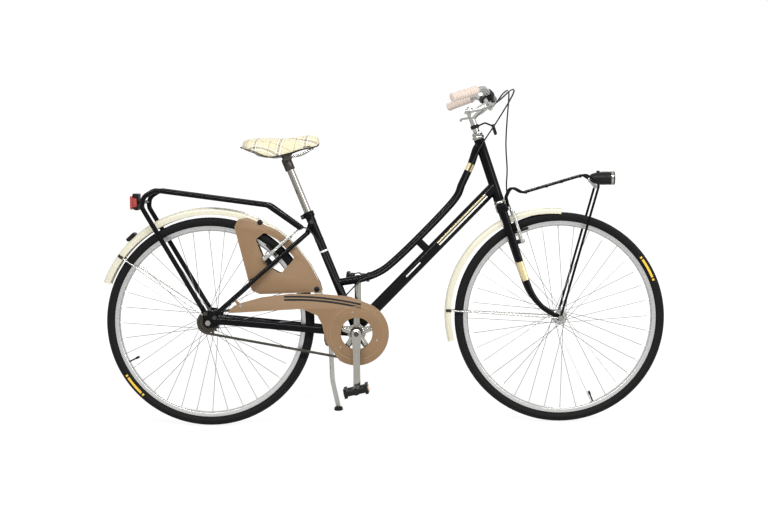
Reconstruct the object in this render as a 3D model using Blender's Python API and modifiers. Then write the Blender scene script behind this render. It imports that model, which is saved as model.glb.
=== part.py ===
"""A city bicycle with a low, curved top tube, standing on its side stand.

The bicycle is drawn upright, in metres: x runs forward from the rear axle, y to the rider's
left and z up from the floor. A parent empty then leans it onto its stand and puts the origin
under the middle of the whole machine.
"""

import math

import bmesh
import bpy
from mathutils import Matrix, Vector

# Clearances between neighbouring pieces
GAP = 0.0003
LEAN = math.radians(5.0)

# Wheels
WHEELBASE = 1.155
RIM_RADIUS = 0.317
TYRE_HEIGHT = 0.029
WHEEL_RADIUS = RIM_RADIUS + TYRE_HEIGHT
TYRE_WIDTH = 0.035
TREAD_WIDTH = 0.010
RIM_WIDTH = 0.024
RIM_DEPTH = 0.016
RIM_LIP = 0.002
RIM_WELL = 0.007
WHEEL_STEPS = 40
SPOKES = 36
SPOKE_DIAMETER = 0.002
SPOKE_CROSSING = math.radians(60.0)
SPOKE_SPLAY = 0.002
FLANGE_THICKNESS = 0.006
FRONT_FLANGE_DIAMETER = 0.046
FRONT_FLANGE_OFFSET = 0.031
REAR_FLANGE_DIAMETER = 0.056
REAR_FLANGE_OFFSET = 0.029
HUB_DIAMETER = 0.028
AXLE_DIAMETER = 0.0095
NUT_DIAMETER = 0.019

# Frame
SEAT_TUBE_LEAN = math.radians(21.5)
SEAT_TUBE_LENGTH = 0.430
SEAT_TUBE_DIAMETER = 0.0286
SEAT_POST_DIAMETER = 0.0254
BOTTOM_BRACKET_X = WHEEL_RADIUS + 0.141
BOTTOM_BRACKET_Z = 0.305
BOTTOM_BRACKET_DIAMETER = 0.042
BOTTOM_BRACKET_WIDTH = 0.068
HEAD_TUBE_LEAN = math.radians(17.5)
HEAD_TUBE_LENGTH = 0.2134
HEAD_TUBE_DIAMETER = 0.034
STEERER_DIAMETER = 0.0254
FORK_LENGTH = WHEEL_RADIUS + 0.0798
FORK_RAKE = 0.068
TOP_TUBE_DIAMETER = 0.0254
DOWN_TUBE_DIAMETER = 0.039
BRIDGE_TUBE_DIAMETER = 0.026
SEAT_STAY_DIAMETER = 0.014
CHAIN_STAY_HEIGHT = 0.030
CHAIN_STAY_WIDTH = 0.018
CHAIN_STAY_END = 0.022
REAR_DROPOUT_WIDTH = 0.120
FRONT_DROPOUT_WIDTH = 0.100
DROPOUT_THICKNESS = 0.005
BLADE_DEPTH = 0.028
BLADE_WIDTH = 0.018
BLADE_END = 0.014
BLADE_SPREAD = 0.036

# Drive
CRANK_LENGTH = 0.175
CRANK_OFFSET = 0.085
CRANK_THICKNESS = 0.012
CRANK_FLARE = 0.014
SPINDLE_DIAMETER = 0.017
CHAIN_PITCH = 0.0127
CHAINRING_TEETH = 44
SPROCKET_TEETH = 18
CHAIN_LINE = 0.042
CHAIN_HEIGHT = 0.008
CHAIN_WIDTH = 0.0084
CHAINRING_THICKNESS = 0.003
PEDAL_LENGTH = 0.085
PEDAL_HEIGHT = 0.030
PEDAL_WIDTH = 0.092
PEDAL_TILT = math.radians(12.0)
PEDAL_AXLE_DIAMETER = 0.012

# Saddle, bars and stem
SEAT_POST_RISE = 0.179
SEAT_POST_DEPTH = 0.110
STEM_RISE = HEAD_TUBE_LENGTH + 0.0996
STEM_REACH = 0.0724
STEM_DIAMETER = 0.026
QUILL_DIAMETER = 0.0222
QUILL_DEPTH = 0.090
BAR_DIAMETER = 0.0222
GRIP_DIAMETER = 0.029
GRIP_LENGTH = 0.100

# Brakes
BRAKE_BOSS_SPREAD = 0.040
BRAKE_STUD = 0.035
BRAKE_ARM_LENGTH = 0.112
BRAKE_PAD_REACH = 0.034
BRAKE_PAD_LENGTH = 0.050
BRAKE_PAD_GAP = 0.0022

# Guards, racks and stand
GUARD_WALL = 0.0015
FRONT_GUARD_RADIUS = WHEEL_RADIUS + 0.008
FRONT_GUARD_WIDTH = 0.046
FRONT_GUARD_SHIFT = (-0.0256, 0.0103)
REAR_GUARD_RADIUS = WHEEL_RADIUS + 0.038
REAR_GUARD_WIDTH = 0.050
REAR_GUARD_SHIFT = (0.0029, -0.004)
GUARD_SKIRT = 0.016
STAY_ROD_DIAMETER = 0.005
PANEL_WALL = 0.002
CHAIN_GUARD_PLANE = 0.0595
CHAIN_GUARD_RADIUS = 0.106
FRONT_RACK_DIAMETER = 0.008
CARRIER_DIAMETER = 0.016
STAND_DIAMETER = 0.016
CABLE_DIAMETER = 0.005

REAR_HUB = Vector((0.0, 0.0, WHEEL_RADIUS))
FRONT_HUB = Vector((WHEELBASE, 0.0, WHEEL_RADIUS))
BOTTOM_BRACKET = Vector((BOTTOM_BRACKET_X, 0.0, BOTTOM_BRACKET_Z))
STEER_DOWN = Vector((math.sin(HEAD_TUBE_LEAN), 0.0, -math.cos(HEAD_TUBE_LEAN)))
STEER_AHEAD = Vector((math.cos(HEAD_TUBE_LEAN), 0.0, math.sin(HEAD_TUBE_LEAN)))
HEAD_LOW = FRONT_HUB - STEER_DOWN * FORK_LENGTH - STEER_AHEAD * FORK_RAKE
SEAT_UP = Vector((-math.sin(SEAT_TUBE_LEAN), 0.0, math.cos(SEAT_TUBE_LEAN)))
SEAT_BACK = Vector((-math.cos(SEAT_TUBE_LEAN), 0.0, -math.sin(SEAT_TUBE_LEAN)))
SIDE = Vector((0.0, 1.0, 0.0))

# Colours, roughness and metallic value of each finish
BLACK_PAINT = ((0.012, 0.012, 0.013), 0.25, 0.0)
CREAM_PAINT = ((0.86, 0.84, 0.68), 0.30, 0.0)
TAN_PLASTIC = ((0.36, 0.22, 0.10), 0.45, 0.0)
BEIGE_RUBBER = ((0.58, 0.45, 0.33), 0.70, 0.0)
SILVER = ((0.72, 0.72, 0.73), 0.30, 1.0)
CHROME = ((0.80, 0.80, 0.81), 0.12, 1.0)
DARK_STEEL = ((0.18, 0.17, 0.16), 0.40, 1.0)
BLACK_PLASTIC = ((0.02, 0.02, 0.02), 0.50, 0.0)
TYRE_RUBBER = ((0.045, 0.045, 0.048), 0.85, 0.0)
RED_PLASTIC = ((0.60, 0.02, 0.01), 0.20, 0.0)
CLEAR_PLASTIC = ((0.85, 0.86, 0.88), 0.10, 0.0)
SADDLE_CLOTH = ((0.72, 0.66, 0.52), 0.80, 0.0)


def clear_scene():
    for obj in list(bpy.data.objects):
        bpy.data.objects.remove(obj, do_unlink=True)


def new_collection(name):
    made = bpy.data.collections.new(name)
    bpy.context.scene.collection.children.link(made)
    return made


clear_scene()
BICYCLE = new_collection("Bicycle")
CUTTERS = new_collection("Cutters")
ROOT = bpy.data.objects.new("bicycle_root", None)
BICYCLE.objects.link(ROOT)


def steer(down, ahead=0.0, side=0.0):
    """The point this far down the steering axis from the head tube's lower end, and ahead of it."""
    return HEAD_LOW + STEER_DOWN * down + STEER_AHEAD * ahead + SIDE * side


def seat(up, back=0.0, side=0.0):
    """The point this far up the seat tube from the bottom bracket, and behind it."""
    return BOTTOM_BRACKET + SEAT_UP * up + SEAT_BACK * back + SIDE * side


def at(x, y, z):
    return Vector((x, y, z))


def other_side(points):
    return [Vector((p[0], -p[1], p[2])) for p in points]


def basis(ahead, side, up, origin):
    """The matrix that takes local x, y and z to these three directions at this point."""
    turn = Matrix((ahead, side, up)).transposed().to_4x4()
    return Matrix.Translation(origin) @ turn


def linked(mesh):
    obj = bpy.data.objects.new("shape", mesh)
    obj.hide_render = True
    obj.display_type = "WIRE"
    CUTTERS.objects.link(obj)
    return obj


def from_bmesh(shape):
    mesh = bpy.data.meshes.new("shape")
    shape.to_mesh(mesh)
    shape.free()
    return linked(mesh)


def baked(obj, weld=1e-6):
    """The evaluated object as a closed mesh whose faces point out. The old object is removed."""
    graph = bpy.context.evaluated_depsgraph_get()
    mesh = bpy.data.meshes.new_from_object(obj.evaluated_get(graph), depsgraph=graph)
    mesh.transform(obj.matrix_world)
    bpy.data.objects.remove(obj, do_unlink=True)
    shape = bmesh.new()
    shape.from_mesh(mesh)
    bmesh.ops.remove_doubles(shape, verts=shape.verts, dist=weld)
    bmesh.ops.recalc_face_normals(shape, faces=shape.faces)
    if shape.calc_volume(signed=True) < 0.0:
        bmesh.ops.reverse_faces(shape, faces=shape.faces)
    shape.to_mesh(mesh)
    shape.free()
    mesh.materials.clear()
    return linked(mesh)


def box(size, centre, turn=None):
    shape = bmesh.new()
    bmesh.ops.create_cube(shape, size=1.0)
    place = Matrix.Translation(centre) @ (turn or Matrix.Identity(4)) @ Matrix.Diagonal((*size, 1.0))
    bmesh.ops.transform(shape, matrix=place, verts=shape.verts)
    return from_bmesh(shape)


def rod(radius, start, end, sides=12, radius_end=None, roll=0.0):
    """A cylinder or cone between two points."""
    start = Vector(start)
    end = Vector(end)
    along = end - start
    shape = bmesh.new()
    bmesh.ops.create_cone(
        shape,
        cap_ends=True,
        segments=sides,
        radius1=radius,
        radius2=radius if radius_end is None else radius_end,
        depth=along.length,
    )
    turn = along.to_track_quat("Z", "Y").to_matrix().to_4x4() @ Matrix.Rotation(roll, 4, "Z")
    bmesh.ops.transform(shape, matrix=Matrix.Translation((start + end) / 2) @ turn, verts=shape.verts)
    return from_bmesh(shape)


def smooth(points, per_span=4):
    """A Catmull-Rom curve through the points."""
    points = [Vector(p) for p in points]
    ends = [points[0] * 2 - points[1], *points, points[-1] * 2 - points[-2]]
    out = []
    for before, start, end, after in zip(ends, ends[1:], ends[2:], ends[3:]):
        for step in range(per_span):
            t = step / per_span
            out.append(
                0.5
                * (
                    2 * start
                    + (end - before) * t
                    + (2 * before - 5 * start + 4 * end - after) * t**2
                    + (3 * start - before - 3 * end + after) * t**3
                )
            )
    out.append(points[-1])
    return out


def bent(points, radius, steps=4):
    """Straight runs between the points, with a bend of this radius at each corner."""
    points = [Vector(p) for p in points]
    out = [points[0]]
    for before, corner, after in zip(points, points[1:], points[2:]):
        back = (before - corner).normalized()
        on = (after - corner).normalized()
        half = back.angle(on) / 2
        reach = radius / math.tan(half)
        limit = 0.49 * min((before - corner).length, (after - corner).length)
        reach = min(reach, limit)
        start = corner + back * reach
        end = corner + on * reach
        for step in range(steps + 1):
            t = step / steps
            out.append(start * (1 - t) ** 2 + corner * 2 * t * (1 - t) + end * t**2)
    out.append(points[-1])
    return out


def tube(points, radius, sides=8, taper=None, squeeze=1.0):
    """A bevelled curve as a mesh. Squeeze flattens it in y, and taper sets each end's share of the radius."""
    curve = bpy.data.curves.new("shape", "CURVE")
    curve.dimensions = "3D"
    curve.bevel_depth = radius
    curve.bevel_resolution = (sides - 4) // 2
    curve.use_fill_caps = True
    spline = curve.splines.new("POLY")
    spline.points.add(len(points) - 1)
    length = len(points) - 1
    first, last = taper or (1.0, 1.0)
    for index, (target, p) in enumerate(zip(spline.points, points)):
        target.co = (p[0], p[1] / squeeze, p[2], 1.0)
        target.radius = first + (last - first) * index / length
    obj = bpy.data.objects.new("shape", curve)
    CUTTERS.objects.link(obj)
    made = baked(obj)
    made.data.transform(Matrix.Diagonal((1.0, squeeze, 1.0, 1.0)))
    return made


def turned(profile, place, steps=24, half_step=False):
    """A closed profile of (radius, height) turned about local z, then put at this matrix."""
    mesh = bpy.data.meshes.new("shape")
    corners = [(radius, 0.0, height) for radius, height in profile]
    edges = [(i, (i + 1) % len(corners)) for i in range(len(corners))]
    mesh.from_pydata(corners, edges, [])
    obj = linked(mesh)
    screw = obj.modifiers.new("turn", "SCREW")
    screw.axis = "Z"
    screw.steps = steps
    screw.render_steps = steps
    screw.use_merge_vertices = True
    screw.merge_threshold = 1e-6
    made = baked(obj)
    start = Matrix.Rotation(math.pi / steps if half_step else 0.0, 4, "Z")
    made.data.transform(place @ start)
    return made


def plate(outlines, thickness, place):
    """A flat outline in local x and y, with any holes after it, as thick as this about local z."""
    curve = bpy.data.curves.new("shape", "CURVE")
    curve.dimensions = "2D"
    curve.fill_mode = "BOTH"
    curve.extrude = thickness / 2
    for outline in outlines:
        spline = curve.splines.new("POLY")
        spline.points.add(len(outline) - 1)
        spline.use_cyclic_u = True
        for target, p in zip(spline.points, outline):
            target.co = (p[0], p[1], 0.0, 1.0)
    obj = bpy.data.objects.new("shape", curve)
    CUTTERS.objects.link(obj)
    made = baked(obj)
    made.data.transform(place)
    return made


def side_plane(y, origin=None):
    """Local x and y become the bicycle's x and z, at this y."""
    start = Vector((0.0, 0.0, 0.0)) if origin is None else Vector(origin)
    return Matrix.Translation((start.x, y, start.z)) @ Matrix.Rotation(math.pi / 2, 4, "X")


def axle_place(centre):
    """Local z becomes the bicycle's y, at this point."""
    return Matrix.Translation(centre) @ Matrix.Rotation(-math.pi / 2, 4, "X")


def circle(radius, count, centre=(0.0, 0.0), start=0.0, end=2 * math.pi):
    whole = end - start > 2 * math.pi - 1e-6
    steps = count if whole else count - 1
    return [
        (
            centre[0] + radius * math.cos(start + (end - start) * i / steps),
            centre[1] + radius * math.sin(start + (end - start) * i / steps),
        )
        for i in range(count)
    ]


def clear(shaft_radius, sides):
    """The radius of a hole with this many flat sides that clears a round shaft."""
    return (shaft_radius + GAP) / math.cos(math.pi / sides)


def combined(base, others, operation):
    for index, other in enumerate(others):
        step = base.modifiers.new(f"{operation} {index}", "BOOLEAN")
        step.operation = operation
        step.solver = "EXACT"
        step.object = other
    made = baked(base)
    for other in others:
        bpy.data.objects.remove(other, do_unlink=True)
    return made


def joined(base, *others):
    return combined(base, others, "UNION")


def cut(base, *cutters):
    return combined(base, cutters, "DIFFERENCE")


def sleeve(radius, bore, start, end, sides=16):
    """A tube with a bore right through it."""
    start = Vector(start)
    end = Vector(end)
    along = (end - start).normalized() * radius
    return cut(rod(radius, start, end, sides), rod(bore, start - along, end + along, sides))


def moved(obj, matrix):
    obj.data.transform(matrix)
    if matrix.determinant() < 0.0:
        obj.data.flip_normals()
    return obj


def joint(name, point, parent=None, axis=None):
    """An empty on a joint's axis, with its local z along that axis."""
    empty = bpy.data.objects.new(name, None)
    BICYCLE.objects.link(empty)
    turn = (axis or Vector((0.0, 0.0, 1.0))).to_track_quat("Z", "Y").to_matrix().to_4x4()
    upright = Matrix.Translation(point) @ turn
    empty.parent = parent or ROOT
    above = PLACES[parent.name] if parent else Matrix.Identity(4)
    empty.matrix_basis = above.inverted() @ upright
    PLACES[name] = upright
    return empty


def piece(name, obj, finish, parent=None):
    """Names a shape, gives it its material and hangs it on its parent."""
    colour, roughness, metallic = finish
    material = bpy.data.materials.new(name)
    material.use_nodes = True
    shader = material.node_tree.nodes["Principled BSDF"]
    shader.inputs["Base Color"].default_value = (*colour, 1.0)
    shader.inputs["Roughness"].default_value = roughness
    shader.inputs["Metallic"].default_value = metallic
    material.diffuse_color = (*colour, 1.0)
    mesh = obj.data
    mesh.name = name
    mesh.materials.append(material)
    mesh.shade_smooth()
    mesh.set_sharp_from_angle(angle=math.radians(35.0))
    if parent:
        mesh.transform(PLACES[parent.name].inverted())
    obj.name = name
    obj.hide_render = False
    obj.display_type = "TEXTURED"
    obj.parent = parent or ROOT
    CUTTERS.objects.unlink(obj)
    BICYCLE.objects.link(obj)
    return obj


PLACES = {}


def tyre_shape(hub):
    outer = WHEEL_RADIUS
    height = WHEEL_RADIUS - RIM_RADIUS
    half = TYRE_WIDTH / 2
    bead = RIM_WIDTH / 2 - RIM_LIP - GAP
    side = [
        (outer, TREAD_WIDTH / 2),
        (outer - height * 0.16, half * 0.74),
        (outer - height * 0.50, half),
        (RIM_RADIUS + GAP, bead),
        (RIM_RADIUS - RIM_WELL + GAP, bead),
    ]
    flat = 1.0 / math.cos(math.pi / WHEEL_STEPS)
    profile = [(r * flat, y) for r, y in side] + [(r * flat, -y) for r, y in reversed(side)]
    return turned(profile, axle_place(hub), WHEEL_STEPS, half_step=True)


def rim_shape(hub):
    half = RIM_WIDTH / 2
    side = [
        (RIM_RADIUS - RIM_WELL, half - RIM_LIP),
        (RIM_RADIUS, half - RIM_LIP),
        (RIM_RADIUS, half),
        (RIM_RADIUS - RIM_DEPTH * 0.75, half),
        (RIM_RADIUS - RIM_DEPTH, half * 0.5),
    ]
    flat = 1.0 / math.cos(math.pi / WHEEL_STEPS)
    profile = [(r * flat, y) for r, y in side] + [(r * flat, -y) for r, y in reversed(side)]
    return turned(profile, axle_place(hub), WHEEL_STEPS, half_step=True)


def spokes_shape(hub, flange_diameter, flange_offset):
    """Crossed spokes, alternately to the left and the right flange, in one mesh."""
    outer = RIM_RADIUS - RIM_DEPTH - GAP
    inner = flange_diameter / 2 - SPOKE_DIAMETER
    shape = bmesh.new()
    for index in range(SPOKES):
        side = 1.0 if index % 2 else -1.0
        lead = 1.0 if (index // 2) % 2 else -1.0
        angle = 2 * math.pi * index / SPOKES
        low = angle + lead * SPOKE_CROSSING
        start_y = side * (flange_offset + lead * SPOKE_SPLAY)
        start = Vector((inner * math.cos(low), start_y, inner * math.sin(low)))
        end = Vector((outer * math.cos(angle), side * SPOKE_SPLAY, outer * math.sin(angle)))
        along = end - start
        turn = along.to_track_quat("Z", "Y").to_matrix().to_4x4()
        place = Matrix.Translation(hub + (start + end) / 2) @ turn
        bmesh.ops.create_cone(
            shape,
            cap_ends=True,
            segments=3,
            radius1=SPOKE_DIAMETER / 2,
            radius2=SPOKE_DIAMETER / 2,
            depth=along.length,
            matrix=place,
        )
    return from_bmesh(shape)


def hub_shape(hub, flange_diameter, flange_offset, right, left):
    """A hub shell between these two ends, with its flanges, its bore and its spokes."""
    bore = AXLE_DIAMETER / 2 + GAP
    barrel = HUB_DIAMETER / 2
    neck = barrel * 0.8
    flange = flange_diameter / 2
    half = FLANGE_THICKNESS / 2
    profile = [
        (bore, -right),
        (neck, -right),
        (neck, -flange_offset - half),
        (flange, -flange_offset - half),
        (flange, -flange_offset + half),
        (barrel, -flange_offset + half),
        (barrel, flange_offset - half),
        (flange, flange_offset - half),
        (flange, flange_offset + half),
        (neck, flange_offset + half),
        (neck, left),
        (bore, left),
    ]
    shell = turned(profile, axle_place(hub), 14)
    return joined(shell, spokes_shape(hub, flange_diameter, flange_offset))


def axle_shape(hub, right, left, dropout_width, eye):
    """An axle with a locknut inside each dropout and a nut outside it."""
    core = AXLE_DIAMETER / 2
    nut = NUT_DIAMETER / 2
    inner = dropout_width / 2 - GAP
    outer = dropout_width / 2 + DROPOUT_THICKNESS + eye + GAP
    nut_end = outer + AXLE_DIAMETER * 0.75
    tip = nut_end + AXLE_DIAMETER * 0.4
    side = [(core, tip), (core, nut_end), (nut, nut_end), (nut, outer), (core, outer), (core, inner)]
    collars = {1.0: left + GAP, -1.0: right + GAP}
    profile = []
    for sign in (1.0, -1.0):
        half = [(0.0, tip), *side, (nut * 0.85, inner), (nut * 0.85, collars[sign]), (core, collars[sign])]
        half = [(r, sign * y) for r, y in half]
        profile += half if sign > 0.0 else list(reversed(half))
    return turned(profile, axle_place(hub), 6)


FRONT_HUB_END = FRONT_DROPOUT_WIDTH / 2 - 0.005
REAR_HUB_LEFT_END = REAR_DROPOUT_WIDTH / 2 - 0.008
REAR_HUB_RIGHT_END = CHAIN_LINE - 0.006
SPROCKET_END = CHAIN_LINE + 0.008
RACK_EYE = 0.003


def make_wheels(fork):
    front = joint("front_wheel_joint", FRONT_HUB, fork, SIDE)
    rear = joint("rear_wheel_joint", REAR_HUB, None, SIDE)
    piece("front_tyre", tyre_shape(FRONT_HUB), TYRE_RUBBER, front)
    piece("front_rim", rim_shape(FRONT_HUB), SILVER, front)
    front_hub = hub_shape(FRONT_HUB, FRONT_FLANGE_DIAMETER, FRONT_FLANGE_OFFSET, FRONT_HUB_END, FRONT_HUB_END)
    piece("front_hub", front_hub, SILVER, front)
    piece("rear_tyre", tyre_shape(REAR_HUB), TYRE_RUBBER, rear)
    piece("rear_rim", rim_shape(REAR_HUB), SILVER, rear)
    rear_hub = hub_shape(
        REAR_HUB, REAR_FLANGE_DIAMETER, REAR_FLANGE_OFFSET, REAR_HUB_RIGHT_END, REAR_HUB_LEFT_END
    )
    piece("rear_hub", rear_hub, SILVER, rear)
    front_axle = axle_shape(
        FRONT_HUB, FRONT_HUB_END, FRONT_HUB_END, FRONT_DROPOUT_WIDTH, RACK_EYE + STAY_EYE + 2 * GAP
    )
    piece("front_axle", front_axle, DARK_STEEL, fork)
    rear_axle = axle_shape(REAR_HUB, SPROCKET_END, REAR_HUB_LEFT_END, REAR_DROPOUT_WIDTH, 0.0)
    piece("rear_axle", rear_axle, DARK_STEEL)


SEAT_BORE_EXTRA = 0.040
CUP_HEIGHT = 0.012
CUP_DIAMETER = 0.040
LOCKNUT_HEIGHT = 0.011
CROWN_HEIGHT = 0.028
CROWN_DEPTH = 0.036
NECK_FRONT = [
    (0.0164 - HEAD_TUBE_LENGTH, 0.0),
    (0.0274 - HEAD_TUBE_LENGTH, -0.018),
    (0.0684 - HEAD_TUBE_LENGTH, -0.049),
    (-0.092, -0.0985),
    (-0.048, -0.142),
    (0.030, -0.2865),
]
NECK_REAR = [(0.166, -0.189), (0.155, -0.133), (0.1585, -0.076), (0.172, -0.016), (0.176, 0.0)]
DOWN_TUBE_START = -0.0488
BRIDGE_ALONG_DOWN_TUBE = 0.46
BRIDGE_LENGTH = 0.061
CHAIN_STAY_START = 0.020
STAND_PLATE_X = BOTTOM_BRACKET_X - 0.092
STAND_PLATE_SIZE = (0.040, 0.060, 0.010)
STAND_PLATE_Z = 0.305
SEAT_STAY_FOOT = (0.036, 0.038)
SEAT_STAY_BEND = (0.90, 0.034)
SEAT_STAY_TOP = (SEAT_TUBE_LENGTH - 0.065, 0.014)
SEAT_STAY_BOLT = SEAT_TUBE_LENGTH - 0.036
SEAT_STAY_TAB = 0.003
STAY_TAB_RADIUS = 0.009
STAY_BOLT_AT = (0.022, 0.017)
CARRIER_BOLT_AT = (-0.008, 0.031)
GUARD_POST_UP = 0.115
GUARD_POST_DIAMETER = 0.008


def spread(outline, centre):
    return [(centre.x + x, centre.z + z) for x, z in outline]


def link(start, end, start_radius, end_radius, steps=5):
    """The outline of a flat link: two round ends and the straight edges between them."""
    angle = math.atan2(end[1] - start[1], end[0] - start[0])
    half = math.pi / 2
    return circle(end_radius, steps, end, angle - half, angle + half) + circle(
        start_radius, steps, start, angle + half, angle + 3 * half
    )


def flat(point):
    return (point[0], point[2])


def rear_dropout(side):
    outline = [
        (-0.014, -0.008),
        (-0.006, -0.015),
        (0.010, -0.015),
        (0.036, -0.009),
        (0.038, 0.012),
        (0.032, 0.028),
        (0.014, 0.040),
        (-0.010, 0.042),
        (-0.018, 0.030),
    ]
    y = side * (REAR_DROPOUT_WIDTH + DROPOUT_THICKNESS) / 2
    hole = circle(clear(AXLE_DIAMETER / 2, 8), 8)
    loops = [spread(outline, REAR_HUB), spread(hole, REAR_HUB)]
    return plate(loops, DROPOUT_THICKNESS, side_plane(y))


def chain_stay(side):
    rear_width = CHAIN_STAY_WIDTH * CHAIN_STAY_END / CHAIN_STAY_HEIGHT
    rear = REAR_DROPOUT_WIDTH / 2 + DROPOUT_THICKNESS - rear_width / 2
    start = BOTTOM_BRACKET + at(0.0, side * CHAIN_STAY_START, 0.004)
    end = REAR_HUB + at(0.019, side * rear, 0.004)
    return tube(
        smooth([start, start.lerp(end, 0.5), end], 2),
        CHAIN_STAY_HEIGHT / 2,
        8,
        (1.0, CHAIN_STAY_END / CHAIN_STAY_HEIGHT),
        CHAIN_STAY_WIDTH / CHAIN_STAY_HEIGHT,
    )


def frame_shape():
    """The brazed frame: main tubes, shell, chain stays, dropouts and the fixings that belong to it."""
    seat_top = seat(SEAT_TUBE_LENGTH)
    head_top = steer(-HEAD_TUBE_LENGTH)
    down_start = steer(DOWN_TUBE_START)
    down_end = seat(0.012, 0.004)
    along_down = (down_end - down_start).normalized()
    across_down = Vector((-along_down.z, 0.0, along_down.x))
    if across_down.z < 0.0:
        across_down = -across_down
    bridge = down_start.lerp(down_end, BRIDGE_ALONG_DOWN_TUBE)
    neck = [steer(*p) for p in NECK_FRONT] + [seat(*p) for p in NECK_REAR]
    shell_end = SIDE * BOTTOM_BRACKET_WIDTH / 2
    post = seat(GUARD_POST_UP)
    tab_y = -(CHAIN_GUARD_PLANE - PANEL_WALL / 2 - GAP)
    shapes = [
        rod(HEAD_TUBE_DIAMETER / 2, steer(0.0), head_top, 16),
        tube(smooth(neck, 2), TOP_TUBE_DIAMETER / 2, 10),
        rod(DOWN_TUBE_DIAMETER / 2, down_start, down_end, 14),
        rod(BRIDGE_TUBE_DIAMETER / 2, bridge, bridge + across_down * BRIDGE_LENGTH, 10),
        rod(BOTTOM_BRACKET_DIAMETER / 2, BOTTOM_BRACKET - shell_end, BOTTOM_BRACKET + shell_end, 16),
        chain_stay(1.0),
        chain_stay(-1.0),
        rear_dropout(1.0),
        rear_dropout(-1.0),
        box(STAND_PLATE_SIZE, at(STAND_PLATE_X, 0.0, STAND_PLATE_Z)),
        rod(GUARD_POST_DIAMETER / 2, post, at(post.x, tab_y, post.z), 8),
    ]
    whole = joined(rod(SEAT_TUBE_DIAMETER / 2, BOTTOM_BRACKET, seat_top, 16), *shapes)
    post_bore = SEAT_POST_DIAMETER / 2 + GAP
    bore_end = seat(SEAT_TUBE_LENGTH - SEAT_POST_DEPTH - SEAT_BORE_EXTRA)
    steerer_bore = STEERER_DIAMETER / 2 + GAP
    return cut(
        whole,
        rod(post_bore, bore_end, seat(SEAT_TUBE_LENGTH + 0.010), 16),
        rod(steerer_bore, steer(0.010), steer(-HEAD_TUBE_LENGTH - 0.010), 16),
        rod(
            SPINDLE_DIAMETER / 2 + GAP,
            BOTTOM_BRACKET - SIDE * BOTTOM_BRACKET_WIDTH,
            BOTTOM_BRACKET + SIDE * BOTTOM_BRACKET_WIDTH,
            12,
        ),
    )


def stay_ends(side):
    """The two ends of a seat stay's round part."""
    low = REAR_HUB + at(SEAT_STAY_FOOT[0], 0.0, SEAT_STAY_FOOT[1])
    low += SIDE * side * (REAR_DROPOUT_WIDTH / 2 + DROPOUT_THICKNESS + GAP + SEAT_STAY_TAB / 2)
    high = seat(SEAT_STAY_TOP[0], SEAT_STAY_TOP[1] + SEAT_TUBE_DIAMETER / 2)
    high += SIDE * side * (SEAT_TUBE_DIAMETER / 2 + SEAT_STAY_DIAMETER * 0.36)
    return low, high


def brake_base():
    """Where the rear brake studs leave the seat stays, the way up along the stays, and the way back."""
    low, high = stay_ends(1.0)
    up = Vector((high.x - low.x, 0.0, high.z - low.z)).normalized()
    back = Vector((-up.z, 0.0, up.x))
    return up, back


REAR_BRAKE_UP_STAY = RIM_RADIUS - 0.092
FRONT_BRAKE_DOWN_BLADE = FORK_LENGTH - RIM_RADIUS + 0.0396
PIVOT_PIN_DIAMETER = 0.006


def rear_brake_place(side):
    """Local x up the arm, y to the rider's left and z away from the stay, at a brake's pivot base."""
    up, back = brake_base()
    low = stay_ends(1.0)[0]
    origin = at(low.x, 0.0, low.z) + up * REAR_BRAKE_UP_STAY + SIDE * side * BRAKE_BOSS_SPREAD
    return basis(up, back.cross(up), back, origin)


def front_brake_place(side):
    origin = steer(FRONT_BRAKE_DOWN_BLADE, 0.0, side * BRAKE_BOSS_SPREAD)
    return basis(-STEER_DOWN, STEER_AHEAD.cross(-STEER_DOWN), STEER_AHEAD, origin)


ARM_PLANE = 0.024
ARM_THICKNESS = 0.010


def brake_stud(place):
    """A stud with a thinner pin for the arm, leaving the tube along local z."""
    origin = place.translation
    out = place.to_3x3() @ Vector((0.0, 0.0, 1.0))
    shoulder = ARM_PLANE - GAP
    stud = rod(PIVOT_PIN_DIAMETER * 0.9, origin, origin + out * shoulder, 8)
    pin = rod(PIVOT_PIN_DIAMETER / 2, origin, origin + out * BRAKE_STUD, 8)
    return joined(stud, pin)


def seat_stay_shape(side):
    low, high = stay_ends(side)
    tab_low_y = low.y
    tab_high_y = side * (SEAT_TUBE_DIAMETER / 2 + GAP + SEAT_STAY_TAB / 2)
    bend = low.lerp(high, SEAT_STAY_BEND[0])
    bend.y = side * SEAT_STAY_BEND[1]
    bolt = REAR_HUB + at(STAY_BOLT_AT[0], 0.0, STAY_BOLT_AT[1])
    top_bolt = seat(SEAT_STAY_BOLT)
    low_link = link(flat(bolt), flat(low), STAY_TAB_RADIUS, STAY_TAB_RADIUS)
    high_link = link(flat(high), flat(top_bolt), STAY_TAB_RADIUS, STAY_TAB_RADIUS)
    head = SEAT_STAY_TAB * 2.5
    bolt_at = at(bolt.x, low.y, bolt.z)
    top_at = at(top_bolt.x, tab_high_y, top_bolt.z)
    return joined(
        tube([low, bend, high], SEAT_STAY_DIAMETER / 2, 8),
        plate([low_link], SEAT_STAY_TAB, side_plane(tab_low_y)),
        plate([high_link], SEAT_STAY_TAB, side_plane(tab_high_y)),
        rod(STAY_TAB_RADIUS * 0.6, bolt_at, bolt_at + SIDE * side * head, 6),
        rod(STAY_TAB_RADIUS * 0.6, top_at, top_at + SIDE * side * head, 6),
        brake_stud(rear_brake_place(side)),
    )


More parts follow.
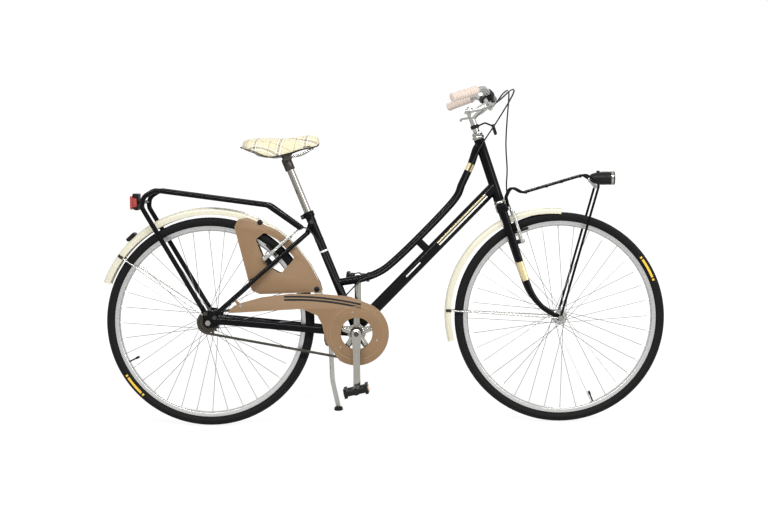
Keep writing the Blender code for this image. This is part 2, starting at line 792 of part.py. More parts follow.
def blade_points(side):
    tip = FRONT_DROPOUT_WIDTH / 2 + DROPOUT_THICKNESS / 2
    run = FORK_LENGTH
    rake = FORK_RAKE
    profile = [
        (CROWN_HEIGHT * 0.7, 0.0, BLADE_SPREAD),
        (run * 0.35, 0.0, BLADE_SPREAD + 0.002),
        (run * 0.62, 0.0, tip - 0.009),
        (run * 0.76, rake * 0.07, tip - 0.004),
        (run * 0.88, rake * 0.35, tip),
        (run - 0.014, rake - 0.014, tip),
    ]
    return [steer(down, ahead, side * y) for down, ahead, y in profile]


def front_dropout(side):
    y = side * (FRONT_DROPOUT_WIDTH + DROPOUT_THICKNESS) / 2
    start = flat(steer(FORK_LENGTH - 0.018, FORK_RAKE - 0.018))
    outline = link(start, flat(FRONT_HUB), BLADE_END * 0.55, BLADE_END * 0.85)
    hole = circle(clear(AXLE_DIAMETER / 2, 8), 8, flat(FRONT_HUB))
    return plate([outline, hole], DROPOUT_THICKNESS, side_plane(y))


def fork_shape():
    """Steerer, crown, two raked blades, dropouts and brake studs in one piece."""
    top = -HEAD_TUBE_LENGTH - CUP_HEIGHT - LOCKNUT_HEIGHT
    crown_turn = Matrix.Rotation(HEAD_TUBE_LEAN, 4, "Y").inverted()
    crown_size = (CROWN_DEPTH, 2 * BLADE_SPREAD + BLADE_WIDTH, CROWN_HEIGHT)
    shapes = [box(crown_size, steer(CUP_HEIGHT + GAP + CROWN_HEIGHT / 2), crown_turn)]
    for side in (1.0, -1.0):
        blade = tube(
            smooth(blade_points(side), 2),
            BLADE_DEPTH / 2,
            8,
            (1.0, BLADE_END / BLADE_DEPTH),
            BLADE_WIDTH / BLADE_DEPTH,
        )
        shapes += [blade, front_dropout(side), brake_stud(front_brake_place(side))]
    steerer = rod(STEERER_DIAMETER / 2, steer(CUP_HEIGHT + CROWN_HEIGHT / 2), steer(top), 16)
    whole = joined(steerer, *shapes)
    bore = QUILL_DIAMETER / 2 + GAP
    return cut(whole, rod(bore, steer(top + QUILL_DEPTH + 0.030), steer(top - 0.010), 16))


def make_frame():
    steering = joint("steering_joint", steer(0.0), None, -STEER_DOWN)
    piece("frame", frame_shape(), BLACK_PAINT)
    piece("seat_stay_left", seat_stay_shape(1.0), BLACK_PAINT)
    piece("seat_stay_right", seat_stay_shape(-1.0), BLACK_PAINT)
    piece("fork", fork_shape(), BLACK_PAINT, steering)
    cup = CUP_DIAMETER / 2
    bore = STEERER_DIAMETER / 2 + GAP
    top = -HEAD_TUBE_LENGTH
    piece("headset_cup_lower", sleeve(cup, bore, steer(GAP), steer(CUP_HEIGHT)), SILVER)
    piece("headset_cup_upper", sleeve(cup, bore, steer(top - GAP), steer(top - CUP_HEIGHT)), SILVER)
    nut_low = top - CUP_HEIGHT - GAP
    nut_bore = clear(STEERER_DIAMETER / 2, 8)
    locknut = sleeve(cup * 0.85, nut_bore, steer(nut_low), steer(nut_low - LOCKNUT_HEIGHT), 8)
    piece("headset_locknut", locknut, SILVER, steering)
    return steering


STAY_EYE = 0.002
EYE_RADIUS = 0.008
GUARD_SECTION = [(0.0, 1.0), (0.0125, 0.84), (0.016, 0.0)]
FRONT_GUARD_ARC = (math.radians(84.0), math.radians(194.3))
REAR_GUARD_ARC = (math.radians(1.5), math.radians(158.3))
FRONT_STAY_ANGLE = math.radians(177.2)
REAR_STAY_ANGLE = math.radians(142.8)
REAR_STAY_AT = (-0.010, 0.020)
REFLECTOR_ANGLE = math.radians(132.0)
REFLECTOR_SIZE = (0.010, 0.046, 0.036)
CROWN_BOTTOM = CUP_HEIGHT + GAP + CROWN_HEIGHT


def guard_centre(hub, shift):
    return hub + at(shift[0], 0.0, shift[1])


def on_guard(centre, radius, angle, side=0.0):
    return centre + at(radius * math.cos(angle), side, radius * math.sin(angle))


def guard_shape(centre, radius, width, arc, steps):
    """A mudguard: an open curved section turned part of the way round, then thickened."""
    half = (width - GUARD_WALL) / 2
    inner = radius - GUARD_WALL / 2 - GUARD_SKIRT
    side = [(inner + rise, half * share) for rise, share in GUARD_SECTION]
    section = side + [(r, -y) for r, y in reversed(side[:-1])]
    mesh = bpy.data.meshes.new("shape")
    mesh.from_pydata([(r, 0.0, y) for r, y in section], [(i, i + 1) for i in range(len(section) - 1)], [])
    obj = linked(mesh)
    screw = obj.modifiers.new("turn", "SCREW")
    screw.angle = arc[1] - arc[0]
    screw.steps = steps
    screw.render_steps = steps
    wall = obj.modifiers.new("wall", "SOLIDIFY")
    wall.thickness = GUARD_WALL
    wall.offset = 0.0
    made = baked(obj)
    return moved(made, axle_place(centre) @ Matrix.Rotation(-arc[1], 4, "Z"))


def front_mudguard_shape():
    centre = guard_centre(FRONT_HUB, FRONT_GUARD_SHIFT)
    guard = guard_shape(centre, FRONT_GUARD_RADIUS, FRONT_GUARD_WIDTH, FRONT_GUARD_ARC, 18)
    crown = steer(CROWN_BOTTOM + GAP)
    reach = (crown - centre).length - FRONT_GUARD_RADIUS + GUARD_WALL
    shapes = [rod(0.006, crown, crown + STEER_DOWN * reach, 8)]
    low = FRONT_DROPOUT_WIDTH / 2 + DROPOUT_THICKNESS + RACK_EYE + 2 * GAP
    for side in (1.0, -1.0):
        y = side * (low + STAY_EYE / 2)
        end = on_guard(centre, FRONT_GUARD_RADIUS - GUARD_SKIRT * 0.6, FRONT_STAY_ANGLE)
        end += SIDE * side * FRONT_GUARD_WIDTH / 2
        away = (end - FRONT_HUB).normalized()
        start = FRONT_HUB + at(away.x, 0.0, away.z) * NUT_DIAMETER * 0.75
        start.y = y
        eye = link(flat(FRONT_HUB), flat(start), EYE_RADIUS, EYE_RADIUS * 0.4)
        hole = circle(clear(AXLE_DIAMETER / 2, 8), 8, flat(FRONT_HUB))
        shapes.append(plate([eye, hole], STAY_EYE, side_plane(y)))
        shapes.append(rod(STAY_ROD_DIAMETER / 2, start, end, 5))
    return joined(guard, *shapes)


def rear_mudguard_shape():
    centre = guard_centre(REAR_HUB, REAR_GUARD_SHIFT)
    guard = guard_shape(centre, REAR_GUARD_RADIUS, REAR_GUARD_WIDTH, REAR_GUARD_ARC, 26)
    shapes = []
    for side in (1.0, -1.0):
        y = side * (REAR_DROPOUT_WIDTH / 2 - GAP - STAY_ROD_DIAMETER / 2)
        start = REAR_HUB + at(REAR_STAY_AT[0], y, REAR_STAY_AT[1])
        end = on_guard(centre, REAR_GUARD_RADIUS - GUARD_SKIRT * 0.6, REAR_STAY_ANGLE)
        end += SIDE * side * REAR_GUARD_WIDTH / 2
        shapes.append(rod(STAY_ROD_DIAMETER / 2, start, end, 5))
    tip = on_guard(centre, REAR_GUARD_RADIUS - GUARD_WALL, REAR_GUARD_ARC[0] + 0.012)
    plate_top = STAND_PLATE_Z + STAND_PLATE_SIZE[2] / 2
    shapes.append(rod(0.004, tip, at(tip.x, 0.0, plate_top + GAP), 6))
    return joined(guard, *shapes)


def reflector_shape():
    centre = guard_centre(REAR_HUB, REAR_GUARD_SHIFT)
    out = REAR_GUARD_RADIUS + GAP + REFLECTOR_SIZE[0] / 2
    turn = Matrix.Rotation(-REFLECTOR_ANGLE, 4, "Y")
    return box(REFLECTOR_SIZE, on_guard(centre, out, REFLECTOR_ANGLE), turn)


RACK_ROUTE = [
    (-0.162, WHEEL_RADIUS + 0.010, 0.019),
    (-0.171, WHEEL_RADIUS + 0.051, 0.034),
    (-0.154, WHEEL_RADIUS + 0.087, 0.046),
    (-0.117, WHEEL_RADIUS + 0.065, 0.055),
    (0.087, WHEEL_RADIUS + 0.122, 0.058),
    (0.131, WHEEL_RADIUS + 0.092, 0.059),
]
RACK_CROSS = (0.05, 0.38, 0.62, 0.92)
RACK_PLATE = (0.003, 0.052, 0.022)
LAMP_PIVOT = (0.125, 0.0, WHEEL_RADIUS + 0.083)
LAMP_LUG = 0.008
LAMP_LENGTH = 0.082
LAMP_RADIUS = 0.0225
LAMP_RISE = 0.026
LAMP_SET_BACK = 0.020
LENS_THICKNESS = 0.004
LAMP_PIN_DIAMETER = 0.005


def lamp_point(ahead, rise, side=0.0):
    return FRONT_HUB + Vector(LAMP_PIVOT) + at(ahead, side, rise)


def front_rack_shape():
    """Two bent rods from the fork crown over the wheel and down to the axle, tied by cross rods."""
    radius = FRONT_RACK_DIAMETER / 2
    face = CROWN_DEPTH / 2 + GAP + RACK_PLATE[0] / 2
    turn = Matrix.Rotation(HEAD_TUBE_LEAN, 4, "Y").inverted()
    base = box(RACK_PLATE, steer(CUP_HEIGHT + CROWN_HEIGHT / 2, face), turn)
    shapes = []
    eye_y = FRONT_DROPOUT_WIDTH / 2 + DROPOUT_THICKNESS + GAP + RACK_EYE / 2
    for side in (1.0, -1.0):
        route = [FRONT_HUB + at(x, side * y, z) for x, z, y in RACK_ROUTE]
        route[0] = steer(CUP_HEIGHT + CROWN_HEIGHT / 2, face + radius * 0.6, side * RACK_ROUTE[0][2])
        down = (route[-1] - FRONT_HUB).normalized()
        foot = FRONT_HUB + at(down.x, 0.0, down.z) * 0.022
        foot.y = side * eye_y
        eye = link(flat(FRONT_HUB), flat(foot), EYE_RADIUS, radius)
        hole = circle(clear(AXLE_DIAMETER / 2, 8), 8, flat(FRONT_HUB))
        shapes.append(plate([eye, hole], RACK_EYE, side_plane(side * eye_y)))
        shapes.append(tube(bent([*route, foot], 0.022, 1), radius, 6))
    back = FRONT_HUB + at(RACK_ROUTE[3][0], RACK_ROUTE[3][2], RACK_ROUTE[3][1])
    front = FRONT_HUB + at(RACK_ROUTE[4][0], RACK_ROUTE[4][2], RACK_ROUTE[4][1])
    for share in RACK_CROSS:
        end = back.lerp(front, share) - at(0.0, 0.0, radius)
        shapes.append(rod(radius * 0.6, end, at(end.x, -end.y, end.z), 4))
    bar = back.lerp(front, RACK_CROSS[-1]) - at(0.0, 0.0, radius)
    pivot = lamp_point(0.0, 0.0)
    elbow = at(bar.x, 0.0, pivot.z - 0.010)
    for side in (1.0, -1.0):
        y = side * (LAMP_LUG / 2 + GAP + RACK_PLATE[0] / 2)
        upper = link(flat(bar), flat(elbow), radius * 1.3, radius)
        lower = link(flat(elbow), flat(pivot), radius, radius * 1.2)
        shapes.append(plate([upper], RACK_PLATE[0], side_plane(y)))
        shapes.append(plate([lower], RACK_PLATE[0] * 0.8, side_plane(y)))
    pin_end = LAMP_LUG / 2 + GAP + RACK_PLATE[0]
    shapes.append(rod(LAMP_PIN_DIAMETER / 2, pivot - SIDE * pin_end, pivot + SIDE * pin_end, 10))
    return joined(base, *shapes)


def make_headlamp(fork):
    lamp = joint("headlamp_joint", lamp_point(0.0, 0.0), fork, SIDE)
    back = lamp_point(-LAMP_SET_BACK, LAMP_RISE)
    along = Matrix.Translation(back) @ Matrix.Rotation(math.pi / 2, 4, "Y")
    ledge = LAMP_LENGTH - LENS_THICKNESS - 0.002
    profile = [
        (0.0, 0.0),
        (LAMP_RADIUS * 0.45, 0.0),
        (LAMP_RADIUS * 0.85, LAMP_LENGTH * 0.22),
        (LAMP_RADIUS, LAMP_LENGTH * 0.5),
        (LAMP_RADIUS, LAMP_LENGTH),
        (LAMP_RADIUS * 0.9, LAMP_LENGTH),
        (LAMP_RADIUS * 0.9, ledge),
        (LAMP_RADIUS * 0.82, ledge),
        (LAMP_RADIUS * 0.70, LAMP_LENGTH * 0.45),
        (0.0, LAMP_LENGTH * 0.35),
    ]
    shell = turned(profile, along, 16)
    pivot = lamp_point(0.0, 0.0)
    lug = link(flat(pivot), flat(pivot + at(0.0, 0.0, 0.010)), 0.006, 0.006)
    hole = circle(LAMP_PIN_DIAMETER / 2 + GAP, 10, flat(pivot))
    housing = joined(shell, plate([lug, hole], LAMP_LUG, side_plane(0.0)))
    piece("headlamp_housing", housing, BLACK_PLASTIC, lamp)
    start = back + at(ledge + GAP, 0.0, 0.0)
    lens = rod(LAMP_RADIUS * 0.9 - 2 * GAP, start, start + at(LENS_THICKNESS, 0.0, 0.0), 16)
    piece("headlamp_lens", lens, CLEAR_PLASTIC, lamp)


CARRIER_ROUTE = [
    (-0.020, 0.052, 0.069),
    (-0.210, 0.383, 0.066),
    (-0.205, 0.416, 0.063),
    (-0.168, 0.438, 0.060),
    (0.202, 0.383, 0.060),
    (0.305, 0.307, 0.0375),
]
CARRIER_TAB = 0.003
CARRIER_CROSS = (0.10, 0.52, 0.95)
LAMP_CROSS_RISE = 0.400
REAR_LAMP_SIZE = (0.017, 0.060, 0.056)
REAR_LENS_SIZE = (0.012, 0.054, 0.050)


def carrier_shape():
    """Two bent rails from the seat stays, down to the dropouts at the rear, tied by cross bars."""
    radius = CARRIER_DIAMETER / 2
    shapes = []
    tab_y = REAR_DROPOUT_WIDTH / 2 + DROPOUT_THICKNESS + GAP + CARRIER_TAB / 2
    for side in (1.0, -1.0):
        route = [REAR_HUB + at(x, side * y, z) for x, z, y in CARRIER_ROUTE]
        shapes.append(tube(bent(route, 0.032, 2), radius, 8))
        bolt = REAR_HUB + at(CARRIER_BOLT_AT[0], 0.0, CARRIER_BOLT_AT[1])
        foot = flat(route[0].lerp(route[1], 0.03))
        tab = link(flat(bolt), foot, radius, radius * 0.9)
        shapes.append(plate([tab], CARRIER_TAB, side_plane(side * tab_y)))
        head = at(bolt.x, side * tab_y, bolt.z)
        shapes.append(rod(radius * 0.7, head, head + SIDE * side * radius * 0.9, 6))
    back = REAR_HUB + at(CARRIER_ROUTE[3][0], CARRIER_ROUTE[3][2], CARRIER_ROUTE[3][1])
    front = REAR_HUB + at(CARRIER_ROUTE[4][0], CARRIER_ROUTE[4][2], CARRIER_ROUTE[4][1])
    for share in CARRIER_CROSS:
        end = back.lerp(front, share)
        shapes.append(rod(radius * 0.6, end, at(end.x, -end.y, end.z), 6))
    rise = REAR_HUB + at(CARRIER_ROUTE[1][0] + 0.002, CARRIER_ROUTE[1][2], LAMP_CROSS_RISE)
    shapes.append(rod(radius * 0.6, rise, at(rise.x, -rise.y, rise.z), 6))
    shapes.append(box((0.020, 0.030, 0.012), at(rise.x - 0.010, 0.0, rise.z)))
    return joined(shapes[0], *shapes[1:])


def make_carrier():
    piece("rear_carrier", carrier_shape(), BLACK_PAINT)
    face = REAR_HUB.x + CARRIER_ROUTE[1][0] + 0.002 - 0.020 - GAP
    rise = REAR_HUB.z + LAMP_CROSS_RISE
    housing_at = at(face - REAR_LAMP_SIZE[0] / 2, 0.0, rise)
    piece("rear_lamp_housing", box(REAR_LAMP_SIZE, housing_at), BLACK_PLASTIC)
    lens_at = at(face - REAR_LAMP_SIZE[0] - GAP - REAR_LENS_SIZE[0] / 2, 0.0, rise)
    piece("rear_lamp_lens", box(REAR_LENS_SIZE, lens_at), RED_PLASTIC)


PANEL_PLANE = REAR_GUARD_WIDTH / 2 + 0.0025
PANEL_OUTLINE = [
    (0.088, 0.313),
    (0.100, 0.338),
    (0.132, 0.343),
    (0.190, 0.318),
    (0.231, 0.2995),
    (0.2784, 0.2583),
    (0.2686, 0.2499),
    (0.2804, 0.2363),
    (0.2914, 0.2458),
    (0.335, 0.1866),
    (0.366, 0.125),
    (0.3745, 0.094),
    (0.169, 0.0895),
    (0.143, 0.101),
    (0.132, 0.131),
]
PANEL_WINDOW = [
    (0.157, 0.271),
    (0.187, 0.293),
    (0.230, 0.268),
    (0.286, 0.208),
    (0.238, 0.156),
    (0.191, 0.183),
]
PANEL_CLIPS = [(0.173, 0.327), (0.357, 0.104)]
PANEL_CLIP_RADIUS = 0.009
PANEL_CLIP_RISE = 0.002
PANEL_STAY_AT = (0.143, 0.136)


def panel_shape(side):
    """A skirt guard: a flat panel with a window for the brake, between the mudguard and the seat stay.

    A notch in its edge leaves room for the stay, and clips hold it to both.
    """
    y = side * PANEL_PLANE
    base = plate([spread(PANEL_OUTLINE, REAR_HUB), spread(PANEL_WINDOW, REAR_HUB)], PANEL_WALL, side_plane(y))
    shapes = []
    for x, z in PANEL_CLIPS:
        start = REAR_HUB + at(x, side * (PANEL_PLANE + PANEL_WALL / 2), z)
        out = SIDE * side
        shapes.append(rod(PANEL_CLIP_RADIUS, start - out * PANEL_WALL / 2, start + out * PANEL_CLIP_RISE, 10))
        guard = side * (REAR_GUARD_WIDTH / 2 + 2 * GAP)
        shapes.append(rod(PANEL_CLIP_RADIUS * 0.5, start, at(start.x, guard, start.z), 8))
    low, high = stay_ends(side)
    post = REAR_HUB + at(PANEL_STAY_AT[0], y, PANEL_STAY_AT[1])
    share = (post.x - low.x) / (high.x - low.x) / SEAT_STAY_BEND[0]
    stay_y = abs(low.y) * (1.0 - share) + SEAT_STAY_BEND[1] * share - SEAT_STAY_DIAMETER / 2 - 3 * GAP
    shapes.append(rod(PANEL_CLIP_RADIUS * 0.7, post, at(post.x, side * stay_y, post.z), 8))
    return joined(base, *shapes)


CHAIN_GUARD_TIP = [(0.067, 0.031), (0.071, 0.042), (0.087, 0.056), (0.112, 0.065)]
CHAIN_GUARD_TOP = [(-0.310, 0.123), (-0.216, 0.133), (-0.112, 0.131), (-0.020, 0.1215)]
CHAIN_GUARD_BELOW = [(-0.100, -0.030), (-0.113, 0.030), (-0.128, 0.060), (-0.176, 0.0826)]
CHAIN_GUARD_HEEL = [(0.083, 0.0315)]
CHAIN_GUARD_WINDOW = 0.052
CHAIN_GUARD_ARC = (math.radians(-123.0), math.radians(62.0))
CHAIN_GUARD_SCREW = (0.106, 0.054)


def chain_guard_shape():
    arc = circle(CHAIN_GUARD_RADIUS, 18, (0.0, 0.0), *CHAIN_GUARD_ARC)
    disc = CHAIN_GUARD_TOP + list(reversed(arc)) + CHAIN_GUARD_BELOW
    outline = spread(CHAIN_GUARD_TIP, REAR_HUB) + spread(disc, BOTTOM_BRACKET)
    outline += spread(CHAIN_GUARD_HEEL, REAR_HUB)
    window = circle(CHAIN_GUARD_WINDOW, 20)
    loops = [outline, spread(window, BOTTOM_BRACKET)]
    base = plate(loops, PANEL_WALL, side_plane(-CHAIN_GUARD_PLANE))
    screw = REAR_HUB + at(CHAIN_GUARD_SCREW[0], 0.0, CHAIN_GUARD_SCREW[1])
    low = stay_ends(-1.0)[0]
    up, back = brake_base()
    away = (at(low.x, 0.0, low.z) - screw).dot(back)
    foot = screw + back * (away - SEAT_STAY_DIAMETER / 2 - GAP - 0.004)
    tab = link(flat(screw), flat(foot), 0.006, 0.004)
    tab_y = -(CHAIN_GUARD_PLANE - PANEL_WALL * 0.75)
    return joined(base, plate([tab], 0.002, side_plane(tab_y)))


def make_guards(fork):
    piece("front_mudguard", front_mudguard_shape(), CREAM_PAINT, fork)
    piece("rear_mudguard", rear_mudguard_shape(), CREAM_PAINT)
    piece("mudguard_reflector", reflector_shape(), RED_PLASTIC)
    piece("front_rack", front_rack_shape(), BLACK_PAINT, fork)
    piece("skirt_guard_left", panel_shape(1.0), TAN_PLASTIC)
    piece("skirt_guard_right", panel_shape(-1.0), TAN_PLASTIC)
    piece("chain_guard", chain_guard_shape(), TAN_PLASTIC)


POST_TOP = SEAT_TUBE_LENGTH + SEAT_POST_RISE
SADDLE_CLAMP_RADIUS = 0.016
RAIL_DIAMETER = 0.007
RAIL_SPREAD = 0.022
SADDLE_BASE = 0.040
SADDLE_ARCH = 0.0022
SADDLE_SECTIONS = [
    (-0.147, 0.066, 0.006, 0.032, 0.001),
    (-0.105, 0.092, 0.000, 0.041, -0.015),
    (-0.052, 0.082, 0.000, 0.040, -0.038),
    (-0.002, 0.054, 0.000, 0.037, -0.025),
    (0.040, 0.035, 0.001, 0.042, -0.005),
    (0.080, 0.027, 0.003, 0.049, 0.001),
    (0.110, 0.020, 0.008, 0.040, 0.008),
]
RAIL_ROUTE = [
    (-0.112, 0.034, 0.0028),
    (-0.080, 0.028, -0.019),
    (0.030, 0.022, -0.020),
    (0.078, 0.011, 0.0005),
    (0.086, 0.0, 0.0032),
]


def post_top():
    return seat(POST_TOP)


def saddle_shape():
    """The cushion: crowned sections whose flanks hang over a hollow underside, smoothed by subdivision."""
    start = post_top() + at(0.0, 0.0, SADDLE_BASE)
    shape = bmesh.new()
    rings = []
    for x, half, low, high, skirt in SADDLE_SECTIONS:
        rise = high - skirt
        ring = [
            (half * 0.30, low + SADDLE_ARCH),
            (half * 0.72, low + SADDLE_ARCH),
            (half * 0.84, skirt),
            (half, skirt + rise * 0.40),
            (half * 0.74, high - rise * 0.04),
            (0.0, high),
        ]
        ring = ring + [(-y, z) for y, z in reversed(ring[:-1])]
        rings.append([shape.verts.new(start + at(x, y, z)) for y, z in ring])
    count = len(rings[0])
    for first, second in zip(rings, rings[1:]):
        for index in range(count):
            after = (index + 1) % count
            shape.faces.new((first[index], first[after], second[after], second[index]))
    shape.faces.new(rings[0])
    shape.faces.new(list(reversed(rings[-1])))
    obj = from_bmesh(shape)
    soft = obj.modifiers.new("soft", "SUBSURF")
    soft.levels = 2
    soft.render_levels = 2
    return baked(obj)


def rails_shape():
    start = post_top() + at(0.0, 0.0, 0.038)
    left = [start + at(x, y, z) for x, y, z in RAIL_ROUTE]
    right = list(reversed(other_side(left[:-1])))
    return tube(smooth([*left, *right], 2), RAIL_DIAMETER / 2, 6)


def saddle_clamp_shape():
    """A clamp across the post's top with a groove for each rail."""
    top = post_top()
    rail_z = top.z + 0.018
    half = RAIL_SPREAD + RAIL_DIAMETER + 0.003
    cross = rod(SADDLE_CLAMP_RADIUS, at(top.x, -half, rail_z), at(top.x, half, rail_z), 12)
    collar_low = seat(POST_TOP - 0.030)
    collar_high = seat(POST_TOP + 0.014)
    collar = rod(SEAT_POST_DIAMETER / 2 + 0.004, collar_low, collar_high, 12)
    bore = rod(SEAT_POST_DIAMETER / 2 + GAP, seat(POST_TOP - 0.050), seat(POST_TOP + GAP), 16)
    whole = joined(cross, collar)
    cutters = [bore]
    for side in (1.0, -1.0):
        size = (4 * SADDLE_CLAMP_RADIUS, RAIL_DIAMETER + 0.003, RAIL_DIAMETER + 0.0044)
        cutters.append(box(size, at(top.x, side * (RAIL_SPREAD + 0.002), rail_z)))
    return cut(whole, *cutters)


CLAMP_WALL = 0.004
CLAMP_HEIGHT = 0.018


def seat_clamp_shape():
    """A collar round the top of the seat tube, with ears and a bolt behind."""
    outer = SEAT_TUBE_DIAMETER / 2 + CLAMP_WALL
    low = SEAT_TUBE_LENGTH - CLAMP_HEIGHT - 0.001
    back = SEAT_TUBE_DIAMETER / 2 + CLAMP_WALL + 0.004
    middle = seat(low + CLAMP_HEIGHT / 2, back)
    ears = box((0.012, 0.016, CLAMP_HEIGHT * 0.8), middle, Matrix.Rotation(-SEAT_TUBE_LEAN, 4, "Y"))
    bolt = rod(0.004, middle - SIDE * 0.014, middle + SIDE * 0.014, 6)
    collar = joined(rod(outer, seat(low), seat(low + CLAMP_HEIGHT), 16), ears, bolt)
    bore = SEAT_TUBE_DIAMETER / 2 + GAP
    return cut(collar, rod(bore, seat(low - 0.010), seat(low + CLAMP_HEIGHT + 0.010), 16))


def make_seat():
    slide = joint("seat_post_joint", seat(SEAT_TUBE_LENGTH), None, SEAT_UP)
    piece("seat_clamp", seat_clamp_shape(), BLACK_PAINT)
    post = rod(SEAT_POST_DIAMETER / 2, seat(SEAT_TUBE_LENGTH - SEAT_POST_DEPTH), seat(POST_TOP), 16)
    piece("seat_post", post, SILVER, slide)
    piece("saddle_clamp", saddle_clamp_shape(), DARK_STEEL, slide)
    piece("saddle_rails", rails_shape(), DARK_STEEL, slide)
    piece("saddle", saddle_shape(), SADDLE_CLOTH, slide)


BAR_ROUTE = [(0.0, 0.0, 0.0), (0.006, 0.110, 0.008), (-0.035, 0.211, 0.037), (-0.129, 0.277, 0.006)]
BAR_BEND = 0.035
STEM_CLAMP_WIDTH = 0.040
STEM_CLAMP_WALL = 0.005
STEM_SHOULDER = 0.034
STEM_CAP = 0.009
REFLECTOR_RISE = HEAD_TUBE_LENGTH + 0.0426
REFLECTOR_ARM = [
    (-REFLECTOR_RISE, 0.0),
    (-REFLECTOR_RISE - 0.0025, 0.036),
    (-REFLECTOR_RISE + 0.016, 0.0570),
]
FRONT_REFLECTOR = (-REFLECTOR_RISE + 0.0284, 0.0575)
FRONT_REFLECTOR_SIZE = (0.008, 0.052, 0.036)


def bar_centre():
    return steer(-STEM_RISE, STEM_REACH)


def bar_points(side):
    return [bar_centre() + at(x, side * y, z) for x, y, z in BAR_ROUTE]


def handlebar_shape():
    left = bar_points(1.0)[1:]
    right = list(reversed(bar_points(-1.0)[1:]))
    clamped = SIDE * STEM_CLAMP_WIDTH * 0.6
    route = [*right, bar_centre() - clamped, bar_centre() + clamped, *left]
    return tube(bent(route, BAR_BEND, 2), BAR_DIAMETER / 2, 8)


def grip_shape(side):
    """A soft sleeve over the bar's end, closed at its tip."""
    corner, tip = bar_points(side)[2:]
    back = (tip - corner).normalized()
    end = tip + back * 0.004
    start = tip - back * (GRIP_LENGTH - 0.004)
    body = rod(GRIP_DIAMETER / 2, start, end, 12)
    bore = clear(BAR_DIAMETER / 2, 12)
    return cut(body, rod(bore, start - back * 0.010, tip + back * GAP, 12))


def stem_shape():
    """Quill and forward extension with a clamp round the bar."""
    clamp_radius = BAR_DIAMETER / 2 + STEM_CLAMP_WALL
    centre = bar_centre()
    half = STEM_CLAMP_WIDTH / 2
    low = -HEAD_TUBE_LENGTH - CUP_HEIGHT - LOCKNUT_HEIGHT + QUILL_DEPTH
    whole = joined(
        rod(QUILL_DIAMETER / 2, steer(low), steer(-STEM_RISE - STEM_CAP), 16),
        rod(STEM_DIAMETER / 2, steer(-STEM_RISE + STEM_SHOULDER, 0.0), centre, 12),
        rod(clamp_radius, centre - SIDE * half, centre + SIDE * half, 16),
    )
    return cut(whole, rod(BAR_DIAMETER / 2 + GAP, centre - SIDE * 2 * half, centre + SIDE * 2 * half, 16))


def front_reflector_shape():
    low = steer(REFLECTOR_ARM[0][0] + 0.006)
    high = steer(REFLECTOR_ARM[0][0] - 0.006)
    ring = rod(QUILL_DIAMETER / 2 + 0.003, low, high, 16)
    arm = tube([steer(*p) for p in REFLECTOR_ARM], 0.003, 6)
    turn = Matrix.Rotation(HEAD_TUBE_LEAN, 4, "Y").inverted()
    body = box(FRONT_REFLECTOR_SIZE, steer(*FRONT_REFLECTOR), turn)
    bore = QUILL_DIAMETER / 2 + GAP
    return cut(joined(ring, arm, body), rod(bore, low + STEER_DOWN * 0.01, high - STEER_DOWN * 0.01, 16))


BRACKET_SHARE = 0.44
BRACKET_WIDTH = 0.024
BRACKET_WALL = 0.004
LEVER_DROP = 0.024
LEVER_TAB = 0.008
LEVER_PIN_DIAMETER = 0.005
LEVER_DIAMETER = 0.010
CHEEK = 0.003
CABLE_STOP_DIAMETER = 0.008
CABLE_STOP_RISE = 0.0060
CABLE_STOP_LENGTH = 0.022


def lever_place(side):
    """Local x along the lever, y on its pivot and z towards the bar, at the pivot."""
    inner, corner, tip = bar_points(side)[1:]
    grip = (tip - corner).normalized()
    down = at(0.5, 0.0, -0.85)
    down = (down - grip * down.dot(grip)).normalized()
    on_bar = inner.lerp(corner, BRACKET_SHARE)
    pivot = on_bar + down * LEVER_DROP
    end = tip - grip * 0.020 + down * 0.052
    along = (end - pivot).normalized()
    up = (-down + along * down.dot(along)).normalized()
    place = basis(along, up.cross(along), up, pivot)
    return place, (end - pivot).length, on_bar, (corner - inner).normalized()


def cable_stop(side):
    """The start of the cable stop, ahead of the lever's pivot, its end, and the way out of it."""
    place, length, on_bar, bar_along = lever_place(side)
    start = place @ at(-LEVER_TAB, 0.0, CABLE_STOP_RISE)
    return start, start - bar_along * CABLE_STOP_LENGTH, -bar_along


def bracket_shape(side):
    """The lever's mount: a clamp round the bar, two cheeks, the pivot pin and the cable stop."""
    place, length, on_bar, bar_along = lever_place(side)
    half = bar_along * BRACKET_WIDTH / 2
    ring = rod(BAR_DIAMETER / 2 + BRACKET_WALL, on_bar - half, on_bar + half, 12)
    pivot = place.translation
    above = place.inverted() @ on_bar
    upright = place @ Matrix.Rotation(math.pi / 2, 4, "X")
    shapes = []
    for sign in (1.0, -1.0):
        shift = place.to_3x3() @ at(0.0, sign * (LEVER_TAB / 2 + GAP + CHEEK / 2), 0.0)
        cheek = link((0.0, 0.0), (above.x, above.z), 0.007, 0.009)
        shapes.append(plate([cheek], CHEEK, Matrix.Translation(shift) @ upright))
    pin = place.to_3x3() @ at(0.0, LEVER_TAB / 2 + GAP + CHEEK, 0.0)
    shapes.append(rod(LEVER_PIN_DIAMETER / 2, pivot - pin, pivot + pin, 10))
    stop_start, stop_end, ahead = cable_stop(side)
    shapes.append(rod(CABLE_STOP_DIAMETER / 2, stop_start, stop_end, 8))
    whole = joined(ring, *shapes)
    bore = BAR_DIAMETER / 2 + 2 * GAP
    return cut(whole, rod(bore, on_bar - half * 2, on_bar + half * 2, 12))


